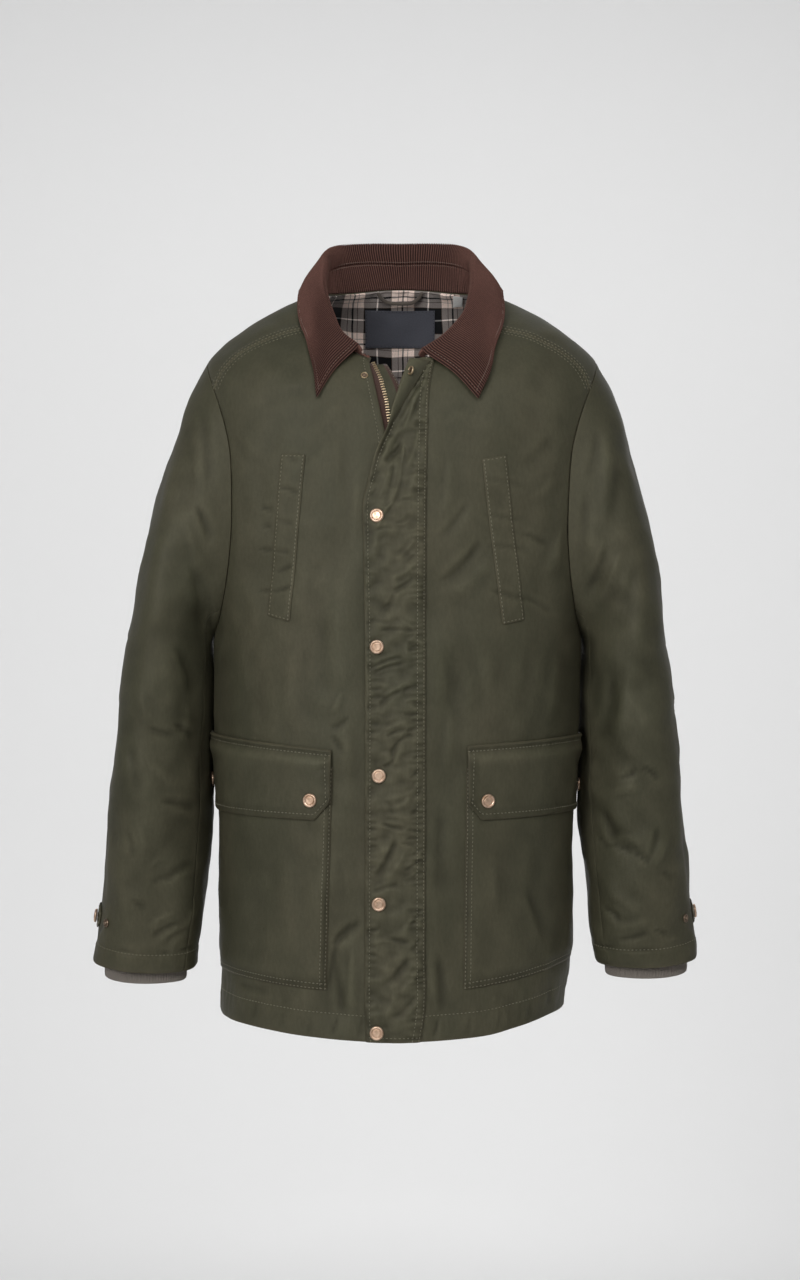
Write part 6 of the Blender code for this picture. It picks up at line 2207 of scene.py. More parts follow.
@dataclass
class SleevePair(Assembly):
    """Upper and under sleeves, knit cuffs, and cuff tabs."""

    step: float = 0.0042
    under_step: float = 0.0055
    upper_width: float = 0.34
    under_width: float = 0.19
    length: float = 0.66
    front_seam: float = math.radians(141.143)
    back_seam: float = math.radians(-120.857)
    cuff_inset: float = 0.0090
    cuff_reach: float = 0.0140
    knit_start: float = 0.86
    ribs: int = 96
    rib_points: int = 6
    rib_height: float = 0.0009
    tab_place: float = 0.895
    tab_half: float = 0.0160
    tab_turns: tuple[float, float] = (math.radians(-76), math.radians(14))

    def panel(self, shop: Workshop, sleeve: Sleeve, letter: str, upper: bool) -> None:
        """Makes a sleeve panel, armhole to cuff.

        Args:
            shop: The workshop.
            sleeve: The sleeve's surface.
            letter: r or l.
            upper: Whether it is the upper panel.
        """
        start, end = self.front_seam, self.back_seam
        width, step = self.upper_width, self.step
        if not upper:
            start, end = self.back_seam, self.front_seam - TURN
            width, step = self.under_width, self.under_step
        turns = start + (end - start) * spaced(width, step)
        places = 1 - spaced(self.length, step)
        turn, along = np.meshgrid(turns, places)
        face = Face(*sleeve.face(turn, along))
        for edge in (Edge.LEFT, Edge.RIGHT):
            face.sew(edge, Seam(dip=0.0004, pucker=0.00015, wear=0.1))
        face.sew(Edge.TOP, Seam(dip=0.0001, pucker=0.0003, pitch=0.013, reach=0.012, wear=0.2))
        face.sew(
            Edge.BOTTOM,
            Seam(dip=0.0007, band=0.0006, reach=0.020, rows=(0.0205,), pucker=0.0003, pitch=0.012),
        )
        inner = face.bent_inner(Edge.TOP, sleeve.mitre(turns)[None], (slice(None), slice(None)))
        drop = unit(face.base[-2] - face.base[-1]) * SEAM_GAP
        face.base[-1] += drop
        inner[-1] += drop
        node = ("sleeve_upper_" if upper else "sleeve_under_") + letter
        shop.cloth(node + "_cloth", face, CLOTH, Look.SHELL, Look.SLEEVE_LINING, nodes=(node,), inner=inner)

    def knit(self, shop: Workshop, sleeve: Sleeve, letter: str) -> None:
        """Rib cuff inside the sleeve end; the ribs run down it.

        Args:
            shop: The workshop.
            sleeve: The sleeve's surface.
            letter: r or l.
        """
        count = self.ribs * self.rib_points
        turns = -np.arange(count) * TURN / count
        # Columns: place along the sleeve, depth under its lining, drop below the cuff edge.
        profile = (
            (0.0, self.knit_start, LAY_GAP, 0.0),
            (0.45, 0.93, 0.7 * self.cuff_inset, 0.0),
            (0.72, 1.0, self.cuff_inset, 0.0),
            (0.88, 1.0, self.cuff_inset, self.cuff_reach * 0.55),
            (1.0, 1.0, self.cuff_inset, self.cuff_reach),
        )
        keys = np.concatenate([np.linspace(0, 0.7, 6)[:-1], np.linspace(0.7, 1.0, 13)])
        rows = straight(profile, keys)
        base, relief = [], []
        for key, (along, depth, drop) in zip(keys, rows):
            places = np.full_like(turns, min(along, 1.0))
            points, normals, _ = sleeve.face(turns, places)
            ring = points - normals * (CLOTH + depth)
            ring[:, 2] -= drop
            ring[:, 2] += 0.0006 * np.sin(turns * 3 + 1.0) * ease((key - 0.7) / 0.3)
            base.append(ring)
            rib = np.abs(np.cos(turns * self.ribs / 2)) ** 0.7
            round_end = 1 - ease((key - 0.955) / 0.045) * 1.6
            raised = (rib - 0.6) * self.rib_height * ease((key - 0.2) / 0.2)
            relief.append(raised * max(round_end, 0.1))
        base, relief = np.array(base)[::-1], np.array(relief)[::-1]
        normals = grid_normals(np.concatenate([base, base[:, :1]], axis=1))[:, :-1]
        centre = base.mean(axis=1, keepdims=True)
        if float((normals * (base - centre)).sum()) < 0:
            normals = -normals
        face = Face(base, normals, relief)
        face.inner_relief = np.zeros_like(relief)
        face.wear = 1 - np.clip(relief / 0.0004, 0, 1)
        shop.cloth(
            "knit_cuff_" + letter + "_rib", face, KNIT, Look.KNIT, nodes=("knit_cuff_" + letter,),
            wrap=True,
        )

    def tab(self, shop: Workshop, sleeve: Sleeve, letter: str) -> None:
        """Adjuster tab on the outside of the cuff, with a blunt point.

        Args:
            shop: The workshop.
            sleeve: The sleeve's surface.
            letter: r or l.
        """
        start, end = self.tab_turns
        shares = spaced(0.105, 0.0028)
        turns = start + (end - start) * shares
        tip = np.interp(shares, (0.0, 0.86, 0.95, 1.0), (1.0, 1.0, 0.72, 0.42))
        half = self.tab_half / 0.66 * tip
        across = spaced(0.032, 0.0028) * 2 - 1
        turn = np.broadcast_to(turns[None], (len(across), len(turns)))
        along = self.tab_place - across[:, None] * half[None]
        base, normals, relief = sleeve.face(turn, along)
        lift = LAY_GAP + SINGLE + 0.0012 * np.sin(np.pi * shares)[None] * np.ones_like(relief)
        face = Face(base, normals, relief + lift)
        for edge in Edge:
            face.sew(edge, Seam(dip=0.0008, rows=(0.0032,), trim=(0.0032, 0.0032), pucker=0.0001))
        shop.cloth(
            "cuff_tab_" + letter + "_cloth", face, SINGLE, Look.SHELL, nodes=("cuff_tab_" + letter,),
        )

    def build(self, shop: Workshop) -> None:
        """Makes both sleeves.

        Args:
            shop: The workshop.
        """
        for letter, sleeve in shop.sleeves.items():
            self.panel(shop, sleeve, letter, upper=True)
            self.panel(shop, sleeve, letter, upper=False)
            self.knit(shop, sleeve, letter)
            self.tab(shop, sleeve, letter)
            caps = Snaps()
            for name, turn, lift, cap in (
                ("cuff_snap_", math.radians(0.3), LAY_GAP + SINGLE + 0.0010, Cap.SNAP),
                ("cuff_stud_", math.radians(36), 0.0, Cap.STUD),
            ):
                turn_at, along = np.array(turn), np.array(self.tab_place)
                place = sleeve.place(turn_at, along, lift + SNAP_SEAT)
                caps.set(shop, name + letter, place, sleeve.normal(turn_at, along), cap)


class Cap(Enum):
    """Kinds of snap.

    Each has its profile of (radius, height) from foot to crown, its finish, and the radius of its
    dark middle, 0 for none.
    """

    SNAP = (
        (
            (0.0, 0.0), (0.0070, 0.0), (0.0074, 0.0005), (0.0075, 0.0012), (0.0072, 0.0019),
            (0.0066, 0.0024), (0.0059, 0.0026), (0.0053, 0.0024), (0.0049, 0.0019),
            (0.0044, 0.0018), (0.0041, 0.0021), (0.0037, 0.0022), (0.0030, 0.0021), (0.0, 0.0023),
        ),
        Look.COPPER,
        0.0,
    )
    STUD = (
        (
            (0.0, 0.0), (0.0044, 0.0), (0.0047, 0.0005), (0.0046, 0.0011), (0.0040, 0.0015),
            (0.0034, 0.0012), (0.0029, 0.0005), (0.0021, 0.0005), (0.0020, 0.0018),
            (0.0014, 0.0023), (0.0, 0.0024),
        ),
        Look.DARK_METAL,
        0.0,
    )
    DARK_STUD = (
        (
            (0.0, 0.0), (0.0038, 0.0), (0.0040, 0.0005), (0.0038, 0.0011), (0.0032, 0.0014),
            (0.0026, 0.0010), (0.0022, 0.0005), (0.0016, 0.0005), (0.0015, 0.0016),
            (0.0010, 0.0019), (0.0, 0.0020),
        ),
        Look.BRASS,
        0.0025,
    )
    SOCKET = (
        (
            (0.0, 0.0), (0.0044, 0.0), (0.0048, 0.0005), (0.0048, 0.0014), (0.0044, 0.0020),
            (0.0038, 0.0020), (0.0033, 0.0012), (0.0029, 0.0006), (0.0014, 0.0005), (0.0, 0.0005),
        ),
        Look.BRASS,
        0.0031,
    )


@dataclass
class Snaps:
    """Snap caps, studs and the socket, for the assemblies that they are set on."""

    dots: int = 18
    dot_ring: float = 0.00465
    dot_foot: float = 0.0018
    dot_height: float = 0.0004
    dot_half: tuple[float, float] = (0.00034, 0.00022)

    def set(self, shop: Workshop, name: str, place: Array, outward: Array, cap: Cap) -> None:
        """Sets one snap on the cloth.

        Args:
            shop: The workshop.
            name: The frame node that it stands for.
            place: Where its foot stands.
            outward: Way that it faces.
            cap: Which kind.
        """
        profile, look, dark = cap.value
        piece = turned(name + "_cap", profile, place, outward)
        if cap is Cap.SNAP:
            self.add_dots(piece, place, outward)
        shop.dress(piece, look)
        if dark:
            piece.data.materials.append(shop.finish(Look.DARK_METAL))
            for polygon in piece.data.polygons:
                off = np.array(polygon.center) - place
                off = off - outward * float(off @ outward)
                if float(np.linalg.norm(off)) < dark:
                    polygon.material_index = len(piece.data.materials) - 1
        shop.deliver(piece, look, name)

    def add_dots(self, piece: bpy.types.Object, place: Array, outward: Array) -> None:
        """Adds a plain ring of raised dots between the rim and the middle of a cap.

        Args:
            piece: The cap.
            place: Where its foot stands.
            outward: Way that it faces.
        """
        outward, aside, upright = square_to(outward)
        points, faces = [], []
        for k in range(self.dots):
            turn = TURN * k / self.dots
            middle = aside * math.cos(turn) + upright * math.sin(turn)
            side = np.cross(outward, middle)
            centre = np.asarray(place) + middle * self.dot_ring + outward * self.dot_foot
            start = len(points)
            for height, size in zip((0.0, self.dot_height), self.dot_half):
                for a, b in ((1, 1), (-1, 1), (-1, -1), (1, -1)):
                    points.append(centre + outward * height + (middle * a + side * b) * size)
            faces.append([start + 4, start + 5, start + 6, start + 7])
            faces.append([start + 3, start + 2, start + 1, start])
            for n in range(4):
                m = (n + 1) % 4
                faces.append([start + n, start + m, start + 4 + m, start + 4 + n])
        dots = solid("dots", [point.tolist() for point in points], faces)
        with bpy.context.temp_override(active_object=piece, selected_editable_objects=[piece, dots]):
            bpy.ops.object.join()


@dataclass
class Closure(Assembly):
    """Storm flap with its turned-back corner, zip, guard, and snaps."""

    # Storm flap.  Columns: height, X of the free edge, X of the sewn edge.
    flap: tuple = (
        (-0.7815, -0.0352, 0.0207),
        (-0.7500, -0.0366, 0.0255),
        (-0.6840, -0.0368, 0.0259),
        (-0.5290, -0.0363, 0.0264),
        (-0.3390, -0.0368, 0.0266),
        (-0.2560, -0.0385, 0.0270),
        (-0.2117, -0.0376, 0.0275),
        (-0.1925, -0.0326, 0.0277),
        (-0.1752, -0.0282, 0.0280),
        (-0.1615, -0.0232, 0.0284),
        (-0.1491, -0.0171, 0.0287),
        (-0.1368, -0.0121, 0.0290),
        (-0.1207, -0.0084, 0.0294),
        (-0.1070, -0.0034, 0.0302),
        (-0.0932, 0.0003, 0.0316),
        (-0.0745, 0.0078, 0.0350),
        (-0.0660, 0.0108, 0.0368),
    )
    # The corner turned back.  Columns: height, X of the fold, X of its free edge.
    corner: tuple = (
        (-0.1840, -0.0300, -0.0272),
        (-0.1653, -0.0240, -0.0205),
        (-0.1516, -0.0180, -0.0143),
        (-0.1379, -0.0122, -0.0082),
        (-0.1205, -0.0080, 0.0018),
        (-0.1031, -0.0022, 0.0117),
        (-0.0845, 0.0042, 0.0229),
        (-0.0705, 0.0097, 0.0330),
    )
    flap_step: float = 0.00175
    flap_lift: float = 0.0014
    flap_rise: float = 0.0020
    corner_low: float = 0.0034  # under the corner's free edge
    corner_high: float = 0.0086  # under its fold
    # The zip.  Columns: height, X of the middle of the right teeth, of the left teeth, and of the
    # guard's far edge.
    zip_lines: tuple = (
        (-0.7850, -0.0030, 0.0022, 0.0175),
        (-0.2400, -0.0030, 0.0022, 0.0175),
        (-0.1850, -0.0038, 0.0030, 0.0165),
        (-0.1411, -0.0098, 0.0060, 0.0140),
        (-0.1228, -0.0128, 0.0080, 0.0100),
        (-0.1091, -0.0146, 0.0095, 0.0052),
        (-0.0942, -0.0184, 0.0112, -0.0003),
        (-0.0867, -0.0202, 0.0120, -0.0029),
        (-0.0780, -0.0234, 0.0130, -0.0072),
        (-0.0694, -0.0271, 0.0140, -0.0125),
        (-0.0630, -0.0309, 0.0150, -0.0166),
    )
    zip_ends: tuple[float, float] = (-0.755, -0.067)
    tape_under: float = 0.0060
    tape_thick: float = 0.0009
    tooth_seat: float = 0.0008
    zip_depth: float = 0.0023
    guard_depth: float = 0.0034
    guard_under: float = 0.0080
    guard_binding: float = 0.0062
    binding_rise: float = 0.0006
    tooth_pitch: float = 0.0030
    slider_place: tuple[float, float] = (-0.0005, -0.1815)
    slider_depth: float = 0.0021
    slider_profile: tuple = (
        (0.0, 0.0), (0.0032, 0.0), (0.0036, 0.0004), (0.0034, 0.0012), (0.0024, 0.0016), (0.0, 0.0017),
    )
    snaps: tuple = (
        (-0.0240, -0.2338),
        (-0.0239, -0.3703),
        (-0.0218, -0.5042),
        (-0.0218, -0.6367),
        (-0.0238, -0.7697),
    )
    neck_stud: tuple[float, float] = (-0.0375, -0.0846)
    neck_socket: tuple[float, float] = (0.0114, -0.0840)
    socket_lean: float = 1.5
    creases: Creases = Creases(Facing.FRONT, FLAP_CREASES, fade=0.22)
    ripple: Ripple = Ripple(seed=5, height=0.00036, longest=0.036, shortest=0.010)

    def lift_at(self, x: Array, z: Array) -> Array:
        """Lift of the flap's inner face: a low arch, and the open shape of its top end.

        Args:
            x: X of each point.
            z: Z of each point.

        Returns:
            Its lift over the front there.
        """
        free, sewn = np.moveaxis(smooth(self.flap, z), -1, 0)
        share = np.clip((x - free) / (sewn - free), 0, 1)
        arch = self.flap_lift + self.flap_rise * np.sin(np.pi * share)
        fold, edge = np.moveaxis(smooth(self.corner, z), -1, 0)
        inside = np.clip((edge - x) / (edge - fold), 0, 1)
        past = np.maximum(x - edge, 0)
        ridge = 0.0036 * np.exp(-(((past - 0.0065) / 0.0042) ** 2)) * ease((sewn - x) / 0.006)
        top = 0.0010 + (self.corner_high - 0.0032) * inside**1.3 + np.where(past > 0, ridge, 0.0)
        top = np.where(x > edge, np.maximum(top, self.flap_lift * ease(past / 0.004)), top)
        return arch + (top - arch) * ease((z + 0.195) / 0.040)

    def storm_flap(self, shop: Workshop) -> None:
        """The storm flap, sewn down its inner side.

        Args:
            shop: The workshop.
        """
        low, high = -0.7815, -0.066
        heights = low + (high - low) * spaced(0.73, self.flap_step)
        shares = spaced(0.062, self.flap_step)
        _, base, normals, relief = shop.body.strip(*smooth(self.flap, heights).T, heights, shares)
        relief = relief + self.lift_at(base[..., 0], base[..., 2]) + SINGLE
        crumple = self.creases.height(base, normals) + self.ripple.at(base * (1.0, 1.0, 1.6))
        relief = relief + crumple * ease(shares / 0.06) * ease((1 - shares) / 0.08)
        face = Face(base, normals, relief)
        face.sew(
            Edge.LEFT,
            Seam(dip=0.0011, band=0.0005, reach=0.006, rows=(0.0052,), pucker=0.0006, pitch=0.0105),
        )
        face.sew(
            Edge.RIGHT,
            Seam(dip=0.0010, band=0.0005, reach=0.0095, rows=(0.0018, 0.0085), pucker=0.0017, pitch=0.0078),
        )
        face.sew(Edge.BOTTOM, Seam(dip=0.0008, rows=(0.0050,), trim=(0.005, 0.005)))
        face.sew(Edge.TOP, Seam(dip=0.0008))
        face.inner_relief = relief
        shop.cloth(
            "storm_flap_cloth", face, SINGLE, Look.SHELL, nodes=("storm_flap",),
        )

    def turned_corner(self, shop: Workshop) -> None:
        """The flap's top corner, turned back over it like a small lapel.

        Args:
            shop: The workshop.
        """
        low, high = self.corner[0][0], self.corner[-1][0]
        heights = low + (high - low) * spaced(0.125, 0.0024)
        shares = spaced(0.022, 0.0016)
        _, base, normals, relief = shop.body.strip(*smooth(self.corner, heights).T, heights, shares)
        slope = (1 - shares) ** 1.3 - 0.10 * (1 - ease(shares / 0.10))
        grown = ease((heights - low) / 0.035)[:, None]
        rise = self.corner_low + (self.corner_high - self.corner_low) * slope[None] * grown + SINGLE
        face = Face(base, normals, relief + rise)
        face.sew(Edge.LEFT, Seam(dip=0.0010, wear=0.5))
        face.sew(Edge.RIGHT, Seam(dip=0.0007, wear=0.3))
        face.sew(Edge.TOP, Seam(dip=0.0007, band=0.0003, reach=0.004, wear=0.3))
        face.sew(Edge.BOTTOM, Seam(dip=0.0006))
        shop.cloth(
            "storm_flap_corner_cloth", face, SINGLE, Look.SHELL, nodes=("storm_flap_corner",),
        )

    def zip(self, shop: Workshop, opening: tuple) -> None:
        """Makes the tapes, the teeth, the guard behind them and the slider.

        Args:
            shop: The workshop.
            opening: Rows of height and X of the opening's two edges.
        """
        heights = np.linspace(*self.zip_ends, 200)
        under = -CLOTH - self.zip_depth
        edges = straight(opening, heights).T
        right, left, guard_edge = straight(self.zip_lines, heights).T
        for letter, edge, middle, inward in (("r", edges[0], right, 1.0), ("l", edges[1], left, -1.0)):
            near = edge - inward * self.tape_under
            _, base, normals, relief = shop.body.strip(near, middle, heights, np.linspace(0, 1, 9))
            face = Face(base, normals, relief + under + self.tape_thick)
            shop.cloth(
                "zip_tape_" + letter + "_weave", face, self.tape_thick, Look.TAPE,
                nodes=("zip_tape_" + letter,),
            )
            base, normals, relief = shop.body.front_at(middle, heights)
            path = base + normals * (relief + under + self.tooth_seat)[:, None]
            across = unit(np.cross(np.gradient(base, axis=0), normals)) * inward
            self.teeth(shop, letter, path, across)
        self.guard(shop, edges[0] - self.guard_under, guard_edge, heights)
        self.slider(shop)

    def guard(self, shop: Workshop, near: Array, far: Array, heights: Array) -> None:
        """Makes the guard behind the zip, with its bound far edge.

        Args:
            shop: The workshop.
            near: X of its sewn edge at each height.
            far: X of its far edge.
            heights: Z of each row.
        """
        x, base, normals, relief = shop.body.strip(near, far, heights, spaced(0.022, 0.002))
        bound = ease((x - far[:, None] + self.guard_binding + 0.0004) / 0.0008)
        face = Face(base, normals, relief - CLOTH - self.guard_depth + self.binding_rise * bound)
        face.sew(Edge.RIGHT, Seam(dip=0.0006, rows=(0.0012,), wear=0.5, pucker=0.0002))
        piece = shop.cloth(
            "zip_guard_cloth", face, SINGLE, Look.SHELL, nodes=("zip_guard",),
        )
        piece.data.materials.append(shop.finish(Look.TAPE))
        slots = np.empty(len(piece.data.polygons), np.int32)
        piece.data.polygons.foreach_get("material_index", slots)
        on_binding = bound[:-1, :-1].ravel() > 0.5
        slots[: len(on_binding)][on_binding] = 2
        slots[-len(on_binding) :][on_binding] = 2
        piece.data.polygons.foreach_set("material_index", slots)

    def teeth(self, shop: Workshop, letter: str, path: Array, across: Array) -> None:
        """Makes a run of teeth up one tape.

        Args:
            shop: The workshop.
            letter: r or l.
            path: Points of its middle line.
            across: Direction across the tape at each of them.
        """
        # Outline of a tooth: across and along the tape.
        profile = np.array([
            (-0.0020, -0.00052), (0.0004, -0.00052), (0.0011, -0.00040), (0.0019, -0.00048),
            (0.0023, 0.0), (0.0019, 0.00048), (0.0011, 0.00040), (0.0004, 0.00052), (-0.0020, 0.00052),
        ])
        count = len(profile)
        points = [(x, y, z) for y in (-0.0010, 0.0013) for x, z in profile]
        faces = [tuple(range(count))[::-1], tuple(range(count, 2 * count))]
        for k in range(count):
            n = (k + 1) % count
            faces.append((k, n, count + n, count + k))
        tooth = solid("tooth", points, faces)
        values = {"Pitch": self.tooth_pitch, "Tooth": tooth, "Material": shop.finish(Look.BRASS)}
        piece = shop.repeats.run(
            "zip_teeth_" + letter + "_brass", [path], shop.repeats.tooth_tree, values, [across]
        )
        bpy.data.objects.remove(tooth, do_unlink=True)
        shop.deliver(piece, Look.BRASS, "zip_teeth_" + letter)

    def slider(self, shop: Workshop) -> None:
        """Slider body, hidden under the flap where the zip opens.

        Args:
            shop: The workshop.
        """
        angle, up = shop.body.on_front(*self.slider_place)
        place, outward = shop.body.place(angle, up, -self.slider_depth), shop.body.normal(angle, up)
        piece = turned("zip_slider_body", self.slider_profile, place, outward, 16)
        shop.dress(piece, Look.BRASS)
        shop.deliver(piece, Look.BRASS, "zip_slider")

    def build(self, shop: Workshop) -> None:
        """Makes the closure.

        Args:
            shop: The workshop.
        """
        self.zip(shop, BodyPanels.opening)
        self.storm_flap(shop)
        self.turned_corner(shop)
        caps = Snaps()
        spots = [(f"flap_snap_{n}", x, z, Cap.SNAP) for n, (x, z) in enumerate(self.snaps, start=1)]
        spots.append(("neck_stud", *self.neck_stud, Cap.DARK_STUD))
        spots.append(("neck_socket", *self.neck_socket, Cap.SOCKET))
        for name, x, z, cap in spots:
            place, outward = self.stand_on(shop, x, z, cap)
            caps.set(shop, name, place, outward, cap)

    def stand_on(self, shop: Workshop, x: float, z: float, cap: Cap) -> tuple[Array, Array]:
        """Finds where a snap stands on what lies uppermost there.

        Args:
            shop: The workshop.
            x: Its X.
            z: Its Z.
            cap: Which kind.

        Returns:
            Its place and its outward way.
        """
        steps = np.array((-0.004, 0.0, 0.004))
        base, normals, relief = shop.body.front_at(*np.meshgrid(x + steps, z + steps))
        lift = np.zeros_like(relief)
        if cap is Cap.SNAP:
            lift = self.lift_at(base[..., 0], base[..., 2]) + SINGLE + self.creases.height(base, normals)
        if cap is Cap.SOCKET:
            fold, edge = np.moveaxis(smooth(self.corner, base[..., 2]), -1, 0)
            across = np.clip((base[..., 0] - fold) / (edge - fold), 0, 1)
            lift = self.corner_low + (self.corner_high - self.corner_low) * (1 - across) ** 1.3 + SINGLE
        points = base + normals * (relief + lift)[..., None]
        outward = unit(np.cross(points[1, 2] - points[1, 0], points[2, 1] - points[0, 1]))
        if cap is Cap.SOCKET:
            leaned = unit(outward + np.array([-self.socket_lean, 0.0, 0.0]))
            return points[1, 1] + outward * 0.0022, leaned
        return points[1, 1] + outward * SNAP_SEAT, outward


@dataclass
class Pockets(Assembly):
    """Chest welts, lower pockets, their flaps and snaps."""

    # Corners (X, Z) as inner top, outer top, outer bottom, inner bottom.
    welts: tuple = (
        ("r", (-0.0989, -0.1682), (-0.1249, -0.1677), (-0.1391, -0.3373), (-0.1150, -0.3442)),
        ("l", (0.0854, -0.1736), (0.1116, -0.1690), (0.1302, -0.3420), (0.1067, -0.3473)),
    )
    # Columns: letter, side, inner and outer angle at the top, at the bottom, bottom at the inner
    # and the outer corner, top.
    pockets: tuple = (
        ("r", -1, 24.6, 98.0, 26.6, 97.0, 0.050, 0.050, 0.278),
        ("l", 1, 27.4, 98.0, 26.0, 97.0, 0.051, 0.058, 0.278),
    )
    # Columns: letter, side, inner and outer angle, top inside and outside, bottom inside and
    # outside, share of the width and the depth that the cut corner takes off.
    flaps: tuple = (
        ("r", -1, 25.2, 101.0, 0.296, 0.309, 0.224, 0.222, 0.075, 0.26),
        ("l", 1, 27.7, 101.0, 0.300, 0.306, 0.224, 0.222, 0.065, 0.22),
    )
    snaps: tuple = (
        ("pocket_snap_r_front", -1, 32.4, 0.2440),
        ("pocket_snap_r_side", -1, 86.0, 0.2540),
        ("pocket_snap_l_front", 1, 34.6, 0.2430),
        ("pocket_snap_l_side", 1, 85.0, 0.2480),
    )
    pocket_lift: float = 0.0024
    pocket_edge: float = 0.03
    flap_lift: float = 0.0058
    step: float = 0.0034

    @staticmethod
    def welt(shop: Workshop, letter: str, corners: tuple) -> None:
        """A narrow slanted welt on the chest, stitched all round.

        Args:
            shop: The workshop.
            letter: r or l.
            corners: Its four corners (X, Z).
        """
        inner_top, outer_top, outer_low, inner_low = (np.array(corner) for corner in corners)
        upward, across = spaced(0.172, 0.003), spaced(0.026, 0.0026)
        low = line(inner_low, outer_low, across)[None]
        high = line(inner_top, outer_top, across)[None]
        places = low + (high - low) * upward[:, None, None]
        base, normals, relief = shop.body.front_at(places[..., 0], places[..., 1])
        face = Face(base, normals, relief + LAY_GAP + 0.0002 + SINGLE)
        for edge in Edge:
            face.sew(edge, Seam(dip=0.0010, rows=(0.0022,), trim=(0.0022, 0.0022), pucker=0.00018))
        shop.cloth(
            "chest_welt_" + letter + "_cloth", face, SINGLE, Look.SHELL, nodes=("chest_welt_" + letter,),
        )

    @staticmethod
    def patch(side: int, top: tuple, bottom: tuple, across: Array, upward: Array) -> Array:
        """Lays out a patch between a top line and a bottom line on one side of the body.

        Args:
            side: 1 for the wearer's left, -1 for the right.
            top: Inner and outer angle in degrees, inner and outer length up the body.
            bottom: The same for the bottom line.
            across: Shares of the columns, 0 to 1.
            upward: Shares of the rows, 0 to 1.

        Returns:
            Its (angle, length) grid.
        """
        low, high = (
            np.stack([np.interp(across, (0, 1), ends) for ends in line_ends], axis=-1)
            for line_ends in (bottom, top)
        )
        grid = low[None] + (high - low)[None] * upward[:, None, None]
        grid[..., 0] = np.radians(grid[..., 0]) * side
        return grid

    def pocket(self, shop: Workshop, row: tuple) -> None:
        """A patch pocket, sewn round three sides.

        Args:
            shop: The workshop.
            row: Its row of pockets.
        """
        letter, side, in_top, out_top, in_low, out_low, low_in, low_out, top = row
        across, upward = spaced(0.215, self.step), spaced(0.225, self.step)
        above, below = ((in_top, out_top), (top, top)), ((in_low, out_low), (low_in, low_out))
        grid = self.patch(side, above, below, across, upward)
        base, normals, relief = shop.body.face(grid[..., 0], grid[..., 1])
        rise = ease(np.minimum(across, 1 - across) / self.pocket_edge)[None] * ease(upward / 0.08)[:, None]
        face = Face(base, normals, relief + LAY_GAP + self.pocket_lift * rise + SINGLE)
        sewn = Seam(dip=0.0010, rows=(0.0018, 0.0068), trim=(0.002, 0.002), pucker=0.0002, pitch=0.010)
        for edge in (Edge.LEFT, Edge.RIGHT, Edge.BOTTOM):
            face.sew(edge, sewn)
        face.sew(Edge.TOP, CALM_EDGE)
        shop.cloth(
            "pocket_" + letter + "_cloth", face, SINGLE, Look.SHELL, nodes=("pocket_" + letter,),
        )

    def flap(self, shop: Workshop, row: tuple) -> None:
        """A pocket flap with a piped top and a cut front corner.

        Args:
            shop: The workshop.
            row: Its row of flaps.
        """
        letter, side, inside, outside, top_in, top_out, low_in, low_out, cut_width, cut_depth = row
        across, upward = spaced(0.225, self.step), spaced(0.085, 0.0028)
        above, below = ((inside, outside), (top_in, top_out)), ((inside, outside), (low_in, low_out))
        grid = self.patch(side, above, below, across, upward)
        raise_low = np.interp(across, (0, cut_width, 1), (cut_depth, 0, 0))
        height = upward[:, None] + (1 - upward[:, None]) * raise_low[None]
        grid[..., 1] = grid[0:1, :, 1] + (grid[-1:, :, 1] - grid[0:1, :, 1]) * height
        base, normals, relief = shop.body.face(grid[..., 0], grid[..., 1])
        down = 1 - upward[:, None] + np.zeros_like(across)[None]
        lift = LAY_GAP + (self.flap_lift - LAY_GAP) * ease(down / 0.22)
        face = Face(base, normals, relief + lift + SINGLE)
        turned_edge = Seam(
            dip=0.0010, band=0.0004, reach=0.0075, rows=(0.0062,), trim=(0.006, 0.006),
            pucker=0.00045, pitch=0.0125,
        )
        for edge in (Edge.LEFT, Edge.RIGHT, Edge.BOTTOM):
            face.sew(edge, turned_edge)
        piping = Seam(dip=0.0012, band=0.0026, reach=0.0038, rows=(0.0062,), pucker=0.0008, pitch=0.0105)
        face.sew(Edge.TOP, piping)
        shop.cloth(
            "pocket_flap_" + letter + "_cloth", face, SINGLE, Look.SHELL, nodes=("pocket_flap_" + letter,),
        )

    def build(self, shop: Workshop) -> None:
        """Makes the pockets.

        Args:
            shop: The workshop.
        """
        for letter, *corners in self.welts:
            self.welt(shop, letter, tuple(corners))
        for row in self.pockets:
            self.pocket(shop, row)
        for row in self.flaps:
            self.flap(shop, row)
        caps = Snaps()
        for name, side, degrees, up in self.snaps:
            angle, up_at = np.array(side * math.radians(degrees)), np.array(up)
            place = shop.body.place(angle, up_at, self.flap_lift + SINGLE + 0.0002)
            caps.set(shop, name, place, shop.body.normal(angle, up_at), Cap.SNAP)


